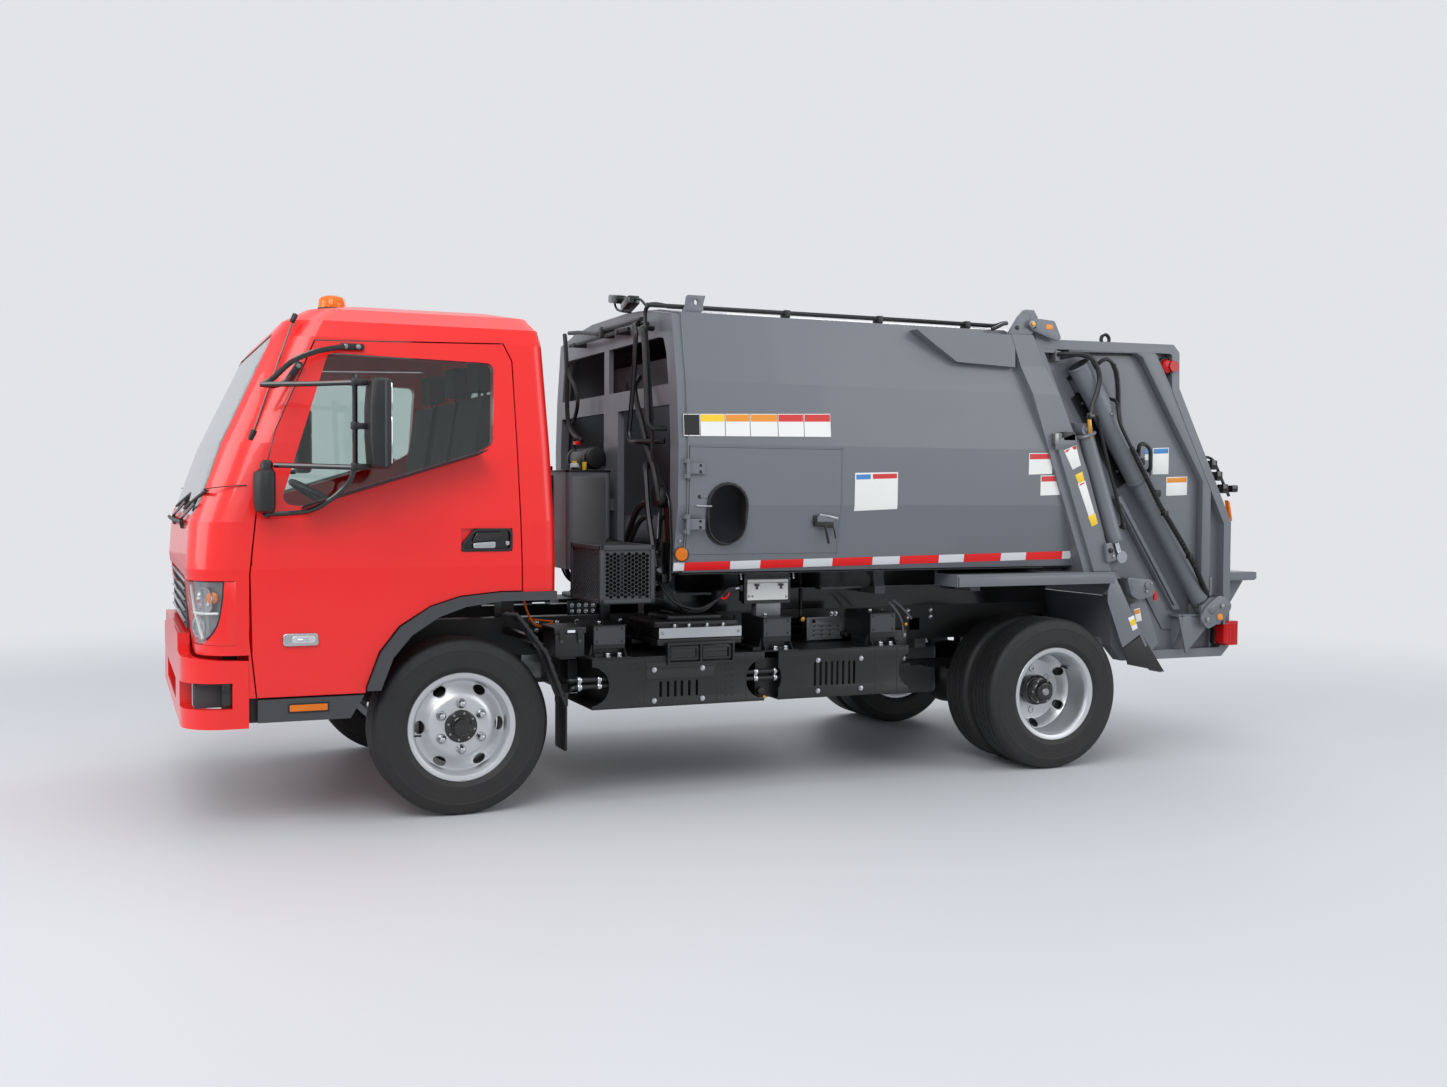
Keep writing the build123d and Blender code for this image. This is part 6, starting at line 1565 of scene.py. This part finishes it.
# blank plates
for outline, head in (([(-2.083, 1.505), (-2.19, 1.508), (-2.19, 1.65), (-2.083, 1.645)], plateBlue),
        ([(-2.177, 1.391), (-2.318, 1.396), (-2.318, 1.496), (-2.177, 1.491)], plateOrange)):
    flat(outline, 0.85, 0.8512, whitePlate, 0.0003)
    (ax, az), (bx, bz), (cx, cz), (dx, dz) = outline
    flat([(ax - 0.004, dz - 0.03), (bx + 0.004, cz - 0.03), (bx + 0.004, cz - 0.004),
        (ax - 0.004, dz - 0.004)], 0.8512, 0.8518, head, 0.0002)
flat([(-2.03, 1.58), (-2.052, 1.581), (-2.052, 1.64), (-2.03, 1.639)], 0.85, 0.8512, whitePlate, 0.0003)
flat([(-2.03, 1.612), (-2.052, 1.613), (-2.052, 1.64), (-2.03, 1.639)], 0.8512, 0.8518, plateBlue, 0.0002)
# rear marker lamps on their rail, seen past the edge
gateTube([(-2.385, 0.872, 1.6), (-2.42, 0.88, 1.604), (-2.47, 0.88, 1.59), (-2.5, 0.88, 1.54),
    (-2.56, 0.88, 1.43), (-2.584, 0.88, 1.392)], 0.008, glossBlack, hose=False)
for x, z in ((-2.452, 1.56), (-2.49, 1.5), (-2.532, 1.432)):
    gateSide += [
        (boxPart((x - 0.028, 0.856, z - 0.026), (x + 0.014, 0.905, z + 0.026), 0.008), glossBlack),
        (rodPart((x - 0.03, 0.88, z), (x - 0.02, 0.88, z), 0.017, 18, 0.002), redLens)]
gateSide.append((boxPart((-2.632, 0.85, 1.412), (-2.588, 0.9, 1.452), 0.008), glossBlack))
flat([(-2.588, 1.368), (-2.602, 1.358), (-2.622, 1.255), (-2.608, 1.255)], 0.842, 0.87, amberLens, 0.003)
# step at the back
gateSide.append((boxPart((-2.775, 0.845, 0.928), (-2.59, 0.889, 0.974), 0.004), bodyPaint))
# upper hoses that leave the body for the cylinders
gateTube([(-1.42, 0.9, 2.112), (-1.44, 0.935, 2.112), (-1.49, 0.985, 2.112), (-1.525, 1.004, 2.106),
    (-1.56, 1.006, 2.085), (-1.588, 1.006, 2.05), (-1.606, 1.006, 2.01), (-1.604, 1.006, 1.96),
    (-1.586, 1.006, 1.905), (-1.566, 1.006, 1.86), (-1.556, 1.008, 1.835), (-1.55, 1.016, 1.806)], 0.0125)
gateTube([(-1.42, 0.89, 2.088), (-1.458, 0.91, 2.098), (-1.51, 0.916, 2.112), (-1.559, 0.916, 2.116),
    (-1.61, 0.912, 2.1), (-1.645, 0.9, 2.07), (-1.664, 0.88, 2.035), (-1.668, 0.858, 2.005)], 0.0105)
gateSide.append((boxPart((-1.44, 0.852, 2.076), (-1.405, 0.905, 2.13), 0.004), motorGrey))
# beaded hose with its guard
bead = [(-1.641, 0.87, 2.03), (-1.65, 0.93, 2.07), (-1.674, 0.95, 2.098), (-1.705, 0.952, 2.094),
    (-1.735, 0.948, 2.071), (-1.764, 0.935, 2.035), (-1.79, 0.915, 1.99), (-1.812, 0.895, 1.92),
    (-1.824, 0.88, 1.851), (-1.838, 0.876, 1.79), (-1.848, 0.872, 1.75), (-1.85, 0.862, 1.735)]
gateTube(bead, 0.01)
beads = []
for (start, end) in zip(bead[4:10], bead[5:11]):
    start, end = Vector(start), Vector(end)
    count = max(2, round((end - start).length / 0.0095))
    beads += [start.lerp(end, k / count) for k in range(count)]
firstBead = turnedPart([(0.0085, -0.003), (0.0155, -0.0016), (0.0155, 0.0016), (0.0085, 0.003),
    (0.0085, -0.003)], beads[0], (0, 0, 1), 12)
gateSide.append((firstBead, hoseRubber))
gateSide += [(copyPart(firstBead, place - beads[0]), hoseRubber) for place in beads[1:]]
gateSide.append((rodPart((-1.85, 0.85, 1.74), (-1.85, 0.882, 1.74), 0.015, 18, 0.003), goldSteel))
flat(roundLoop([(-1.655, 2.02), (-1.7, 2.01), (-1.722, 1.93), (-1.7, 1.86), (-1.66, 1.88)], 0.02), 0.85,
    0.856, framePaint, 0.001)
finishPiece("tailgateDetails", "tailgate", twoSides(gateSide))
print("tailgate details done")

# spiral hose down the packer cylinder, fixed at both ends to the tailgate
spiralLine = [(-1.744, 0.905, 1.895), (-1.742, 0.985, 1.89), (-1.716, 1.012, 1.81), (-1.735, 1.012, 1.755),
    (-1.784, 1.012, 1.678), (-1.858, 1.012, 1.564), (-1.933, 1.012, 1.449), (-1.998, 1.012, 1.342),
    (-2.082, 1.012, 1.235), (-2.164, 1.012, 1.127), (-2.255, 1.006, 1.002), (-2.33, 0.98, 0.905),
    (-2.392, 0.95, 0.846)]
spiral = []
gateTube(spiralLine, 0.0095, target=spiral)
turns = []
steps = 8
count = 96
for k in range(count * steps):
    t = k / (count * steps - 1) * 0.62 + 0.36
    position = t * (len(spiralLine) - 1)
    base = int(min(position, len(spiralLine) - 2))
    here = Vector(spiralLine[base]).lerp(Vector(spiralLine[base + 1]), position - base)
    along = (Vector(spiralLine[base + 1]) - Vector(spiralLine[base])).normalized()
    side = along.cross(Vector((0, 1, 0))).normalized()
    turn = 2 * pi * k / steps
    turns.append(here + (side * cos(turn) + Vector((0, 1, 0)) * sin(turn)) * 0.0135)
gateTube(turns, 0.0028, sides=4, target=spiral)
loop = [(*besideTrack(t, c), y) for t, c, y in ((0.6, 0.09, 0.87), (0.58, 0.086, 0.925),
    (0.56, 0.086, 0.94), (0.544, 0.094, 0.945), (0.555, 0.125, 0.945), (0.596, 0.143, 0.945),
    (0.631, 0.13, 0.945), (0.67, 0.1, 0.945), (0.702, 0.084, 0.94), (0.715, 0.09, 0.89))]
gateTube([(x, y, z) for x, z, y in loop], 0.0105, target=spiral)
for t, c in ((0.6, 0.096), (0.651, 0.097), (0.723, 0.098), (0.852, 0.096)):
    x, z = besideTrack(t, c)
    spiral.append((boxPart((x - 0.018, 0.85, z - 0.019), (x + 0.018, 0.898, z + 0.019), 0.005),
        blackPlastic))
for x, z in ((-2.032, 1.3), (-2.204, 1.073)):
    spiral.append((boxPart((x - 0.014, 0.996, z - 0.014), (x + 0.014, 1.028, z + 0.014), 0.003),
        blackPlastic))
finishPiece("packerHoses", "tailgate", twoSides(spiral))
print("packer hoses done")

# ---- posts, fenders and knob box on the load body ----
post = []
flat([(-1.391, 1.618), (-1.464, 1.647), (-1.497, 1.544), (-1.447, 1.522)], 1.005, 1.0065, whitePlate,
    0.0003, target=post)
flat([(-1.393, 1.608), (-1.405, 1.62), (-1.428, 1.63), (-1.415, 1.612)], 1.0065, 1.0072, plateRed, 0.0002,
    target=post)
flat([(-1.44, 1.636), (-1.463, 1.645), (-1.468, 1.628), (-1.452, 1.622)], 1.0065, 1.0072, plateRed, 0.0002,
    target=post)


def postLine(t, across):
    # along the sloping strip, from its top to its bottom
    top, low = Vector((-1.484, 1.504)), Vector((-1.59, 1.24))
    here = top.lerp(low, t)
    return (here.x - across * 0.92, here.y + across * 0.37)


for t0, t1, material in ((0.0, 0.17, plateYellow), (0.17, 0.8, whitePlate), (0.8, 1.0, plateYellow)):
    flat([postLine(t0, -0.024), postLine(t0, 0.024), postLine(t1, 0.02), postLine(t1, -0.02)], 1.005,
        1.0065, material, 0.0003, target=post)
flat([postLine(0.19, -0.016), postLine(0.19, 0.016), postLine(0.215, 0.016), postLine(0.215, -0.016)],
    1.0065, 1.0072, plateRed, 0.0002, target=post)
flat([(-1.33, 1.664), (-1.448, 1.706), (-1.462, 1.69), (-1.47, 1.65), (-1.34, 1.62)], 1.005, 1.012,
    bodyPaint, 0.003, target=post)
post += [
    (boxPart((-1.462, 0.94, 1.664), (-1.38, 1.012, 1.712), 0.006), framePaint),
    (boxPart((-1.354, 0.985, 1.65), (-1.33, 1.016, 1.704), 0.004), boltSteel)]
flat(roundLoop([(-1.64, 1.143), (-1.682, 1.152), (-1.716, 1.06), (-1.655, 1.046)], 0.012), 1.005, 1.03,
    bodyPaint, 0.004, target=post)
post += [
    (rodPart((-1.672, 1.02, 1.11), (-1.672, 1.04, 1.11), 0.013, 20, 0.003), framePaint),
    (rodPart((-1.69, 1.02, 1.08), (-1.69, 1.036, 1.08), 0.009, 20, 0.002), boltSteel)]
# fender edge and splash panels
post.append((boxPart((-1.712, 1.015, 0.94), (-0.762, 1.02, 0.99), 0.0015), bodyPaint))
flat([(-1.669, 0.9), (-1.7, 0.984), (-1.712, 0.984), (-1.886, 0.673), (-1.768, 0.605), (-1.669, 0.848)],
    1.015, 1.0185, bodyPaint, 0.001, target=post)
flat([(-1.9, 0.818), (-1.997, 0.844), (-2.094, 0.606), (-2.028, 0.544), (-1.96, 0.6)], 0.905, 0.909,
    bodyPaint, 0.001, target=post)
flat([(-1.78, 0.603), (-1.898, 0.667), (-2.048, 0.466), (-1.806, 0.515)], 1.01, 1.014, hoseRubber, 0.001,
    target=post)
splashPlate = [Vector(p) for p in ((-1.8, 0.758), (-1.836, 0.771), (-1.864, 0.703), (-1.832, 0.69))]
flat(splashPlate, 1.0185, 1.0195, whitePlate, 0.0003, target=post)
a, b, c, d = splashPlate
flat([a.lerp(d, 0.25), b.lerp(c, 0.25), b.lerp(c, 0.65), a.lerp(d, 0.65)], 1.0195, 1.0202, plateYellow,
    0.0002, target=post)
flat([(-1.926, 0.79), (-1.964, 0.798), (-1.98, 0.73), (-1.944, 0.722)], 0.909, 0.91, whitePlate, 0.0003,
    target=post)
flat([(-1.928, 0.785), (-1.962, 0.793), (-1.966, 0.77), (-1.934, 0.762)], 0.91, 0.9108, plateOrange, 0.0002,
    target=post)
# knob box
flat(roundLoop([(-1.831, 0.965), (-1.994, 0.952), (-2.012, 0.905), (-2.008, 0.864), (-1.912, 0.842),
    (-1.863, 0.867)], 0.016), 0.912, 0.968, bodyPaint, 0.006, target=post)
post += [
    (rodPart((-1.965, 0.968, 0.92), (-1.965, 0.976, 0.92), 0.02, 24, 0.003), bodyPaint),
    (boltRow([(-1.955, 0.974, 0.89), (-1.985, 0.974, 0.93)], 0.007, 0.005), boltSteel)]
gateTube([(-1.995, 0.945, 0.885), (-2.022, 0.945, 0.882), (-2.036, 0.945, 0.87), (-2.037, 0.945, 0.84)],
    0.012, plateRed, hose=False, target=post)
gateTube([(-1.84, 0.955, 0.96), (-1.862, 0.958, 0.93), (-1.866, 0.958, 0.895), (-1.884, 0.955, 0.868)],
    0.011, framePaint, hose=False, target=post)
# pivot lug and its pin head
flat(roundLoop([(-1.095, 2.19), (-1.14, 2.262), (-1.165, 2.3), (-1.19, 2.322), (-1.222, 2.326),
    (-1.248, 2.316), (-1.262, 2.29), (-1.262, 2.25), (-1.236, 2.19)], 0.02), 0.93, 0.9305, bodyPaint,
    0.0002, holes=[arcPoints(-1.205, 2.292, 0.02, 0, 345, 23)], target=post)
post.append((rodPart((-1.15, 0.9305, 2.232), (-1.15, 0.937, 2.232), 0.011, 20, 0.002), framePaint))
gateTube([(-1.15, 0.84, 2.262), (-1.1, 0.88, 2.258), (-1.06, 0.905, 2.232), (-1.02, 0.9, 2.222)], 0.0095,
    framePaint, hose=True, target=post)
finishPiece("postsAndFenders", "chassis", twoSides(post))
print("posts done")

# ---- cylinders ----
liftParts = []
top, eyeEnd = Vector((-1.537, 0.975, 1.727)), Vector((-1.772, 0.975, 1.074))
down = (eyeEnd - top).normalized()


def fromTop(x, y, z):
    return top + Vector((x, y, z))


liftParts += [
    (turnedPart([(0.0, 0.018), (0.04, 0.018), (0.052, 0.022), (0.056, 0.03), (0.052, 0.036), (0.0395, 0.04),
        (0.0395, 0.56), (0.042, 0.566), (0.042, 0.606), (0.036, 0.612), (0.0215, 0.612), (0.0215, 0.18),
        (0.0, 0.18), (0.0, 0.018)], top, down, 40), bodyPaint),
    (turnedPart([(0.016, -0.027), (0.033, -0.027), (0.033, 0.027), (0.016, 0.027), (0.016, -0.027)], top,
        steps=32), bodyPaint),
    (rodPart(fromTop(0, 0.027, 0), fromTop(0, 0.034, 0), 0.014, 20, 0.002), boltSteel),
    (tubePart([top + down * 0.05 + Vector((0, 0.03, 0)), fromTop(-0.002, 0.042, 0.015),
        fromTop(0.0, 0.04, 0.052)], 0.011, 0.01), goldSteel),
    (rodPart(fromTop(0.0, 0.04, 0.05), fromTop(-0.002, 0.04, 0.084), 0.014, 6, 0.002), glossBlack),
    (boxPart((-1.566, 1.002, 1.782), (-1.526, 1.03, 1.806), 0.006), glossBlack)]
pipeLine = [fromTop(-0.012, 0.04, 0.074), fromTop(-0.05, 0.04, 0.078), fromTop(-0.072, 0.034, 0.01),
    fromTop(-0.15, 0.03, -0.235), fromTop(-0.216, 0.03, -0.42), fromTop(-0.24, 0.02, -0.486),
    fromTop(-0.232, 0.0, -0.506), fromTop(-0.2, 0.0, -0.5)]
liftParts += [
    (tubePart(pipeLine, 0.0085, 0.03, 12), framePaint),
    (rodPart(fromTop(-0.24, 0.018, -0.47), fromTop(-0.25, 0.018, -0.51), 0.014, 6, 0.002), blackPlastic)]
finishPiece("liftBarrels", "lift_barrels", twoSides(liftParts), stands=["lift_barrels"])
packParts = []
packLine = (packLow - packTop).normalized()
packLong = (packLow - packTop).length
packParts += [
    (turnedPart([(0.029, 0.575), (0.048, 0.575), (0.0485, 0.6), (0.0485, packLong - 0.062),
        (0.046, packLong - 0.056), (0.0, packLong - 0.056), (0.0, packLong - 0.12),
        (0.029, packLong - 0.12), (0.029, 0.575)], packTop, packLine, 44), bodyPaint),
    (turnedPart([(0.0165, -0.031), (0.038, -0.031), (0.04, -0.026), (0.04, 0.026), (0.038, 0.031),
        (0.0165, 0.031), (0.0165, -0.031)], packLow, steps=36), bodyPaint),
    (turnedPart([(0.0, packLong - 0.075), (0.03, packLong - 0.075), (0.027, packLong - 0.024),
        (0.0, packLong - 0.02)], packTop, packLine, 28), bodyPaint),
    (rodPart(packLow + Vector((0, 0.031, 0)), packLow + Vector((0, 0.052, 0)), 0.016, 24, 0.002),
        boltSteel),
    (turnedPart([(0.0485, 0.79), (0.051, 0.792), (0.051, 0.806), (0.0485, 0.808), (0.0485, 0.79)], packTop,
        packLine, 44), bodyPaint)]
finishPiece("packerBarrels", "tailgate", twoSides(packParts), stands=["packer_barrels"])
guard = [
    (turnedPart([(0.0605, -0.004), (0.0625, 0.0), (0.0625, 0.008), (0.0605, 0.01), (0.0605, -0.004)],
        packTop, packLine, 44), bodyPaint),
    (turnedPart([(0.0, -0.002), (0.054, -0.002), (0.06, 0.002), (0.0, 0.002)], packTop, packLine, 44),
        framePaint),
    (turnedPart([(0.06, 0.69), (0.0635, 0.692), (0.0635, 0.706), (0.06, 0.708), (0.06, 0.69)], packTop,
        packLine, 44), bodyPaint),
    (rodPart(packTop + packLine * 0.3 + Vector((0, 0.058, 0)),
        packTop + packLine * 0.3 + Vector((0, 0.066, 0)), 0.008, 16, 0.002), boltSteel)]
guard.append((outlinePart([besideTrack(t, c) for t, c in ((0.142, -0.088), (0.142, -0.006), (0.7, -0.006),
    (0.7, -0.088))], 0.8562, 0.86, bevel=0.001), framePaint))
for t in (0.2, 0.62):
    (x, z) = besideTrack(t, -0.045)
    guard.append((rodPart((x, 0.859, z), (x + 0.01, 0.875, z), 0.007, 12), framePaint))
finishPiece("packerCollars", "carriage", twoSides(guard))
print("cylinders done")


# ---- camera ----
camera = {"place": (3.055, 6.98, 1.413), "yaw": 0.407, "pitch": 0.038, "roll": 0.006, "focal": 1431,
    "width": 1447}
yaw, pitch, roll = camera["yaw"], camera["pitch"], camera["roll"]
ahead = Vector((-sin(yaw) * cos(pitch), -cos(yaw) * cos(pitch), -sin(pitch)))
across = ahead.cross(Vector((0, 0, 1))).normalized()
upward = across.cross(ahead)
right = across * cos(roll) + upward * sin(roll)
upward = upward * cos(roll) - across * sin(roll)
bpy.ops.object.camera_add()
eye = bpy.context.object
eye.matrix_world = Matrix.Translation(camera["place"]) @ Matrix((right, upward,
    -ahead)).transposed().to_4x4()
eye.data.sensor_width = 36
eye.data.lens = 36 * camera["focal"] / camera["width"]
eye.data.clip_end = 100
bpy.context.scene.camera = eye

# ---- floor, world and lamps ----
bpy.ops.mesh.primitive_plane_add(size=60, location=(0, 0, 0))
floor = bpy.context.object
floor.name = "studioFloor"
floorPaint = bpy.data.materials.new("studioFloor")
floorPaint.use_nodes = True
floorTree = floorPaint.node_tree
floorPlace = addNode(floorTree, "TexCoord").outputs["Object"]
floorCloud = addNode(floorTree, "TexNoise", {"Scale": 0.35, "Vector": floorPlace}).outputs["Fac"]
floorColour = addNode(floorTree, "Mix", {0: floorCloud, 6: (*linear(194, 195, 197), 1),
    7: (*linear(202, 203, 205), 1)}, data_type="RGBA").outputs[2]
floorShader = feed(floorTree.nodes["Principled BSDF"], {"Roughness": 0.55, "Specular IOR Level": 0.3,
    "Base Color": floorColour})
# far from the truck the floor takes the backdrop's colour, for the camera alone
backdrop = (*linear(226, 228, 232), 1)
plain = addNode(floorTree, "Emission", {"Color": backdrop})
reach = addNode(floorTree, "VectorMath", {0: floorPlace}, operation="LENGTH").outputs["Value"]
fade = addNode(floorTree, "MapRange", {"From Min": 3.2, "From Max": 9.5, "Value": reach},
    interpolation_type="SMOOTHERSTEP")
cameraRay = addNode(floorTree, "LightPath").outputs["Is Camera Ray"]
seen = addNode(floorTree, "Math", {0: cameraRay, 1: fade.outputs["Result"]},
    operation="MULTIPLY").outputs[0]
ground = addNode(floorTree, "MixShader", {0: seen, 1: floorShader.outputs[0], 2: plain.outputs[0]})
feed(floorTree.nodes["Material Output"], {"Surface": ground.outputs[0]})
floor.data.materials.append(floorPaint)

world = bpy.context.scene.world or bpy.data.worlds.new("studio")
bpy.context.scene.world = world
world.use_nodes = True
sky = world.node_tree
sky.nodes.clear()
dim = addNode(sky, "Background", {"Color": (0.86, 0.91, 1.0, 1), "Strength": 0.68}).outputs[0]
bright = addNode(sky, "Background", {"Color": backdrop, "Strength": 1.0}).outputs[0]
ray = addNode(sky, "LightPath").outputs
either = addNode(sky, "Math", {0: ray["Is Camera Ray"], 1: ray["Is Transmission Ray"]},
    operation="MAXIMUM").outputs[0]
glossy = addNode(sky, "Math", {0: ray["Is Glossy Ray"], 1: 0.75}, operation="MULTIPLY").outputs[0]
most = addNode(sky, "Math", {0: either, 1: glossy}, operation="MAXIMUM").outputs[0]
choose = addNode(sky, "MixShader", {0: most, 1: dim, 2: bright}).outputs[0]
addNode(sky, "OutputWorld", {"Surface": choose})

for name, place, aim, size, power in (("keyLamp", (4.5, 6.5, 6.5), (0.0, 0.0, 1.0), 5.0, 370),
        ("fillLamp", (-5.5, 6.0, 4.0), (-0.5, 0.0, 1.0), 5.0, 150),
        ("frontLamp", (8.0, 0.5, 3.5), (1.5, 0.0, 1.2), 4.0, 170),
        ("topLamp", (0.0, 0.0, 8.0), (0.0, 0.0, 0.0), 7.0, 180),
        ("backLamp", (-5.0, -6.0, 5.0), (0.0, 0.0, 1.0), 5.0, 160)):
    bpy.ops.object.light_add(type="AREA", location=place)
    lamp = bpy.context.object
    lamp.name = name
    lamp.data.size = size
    lamp.data.energy = power
    lamp.rotation_euler = (Vector(aim) - Vector(place)).to_track_quat("-Z", "Y").to_euler()

bpy.context.scene.view_settings.view_transform = "Standard"
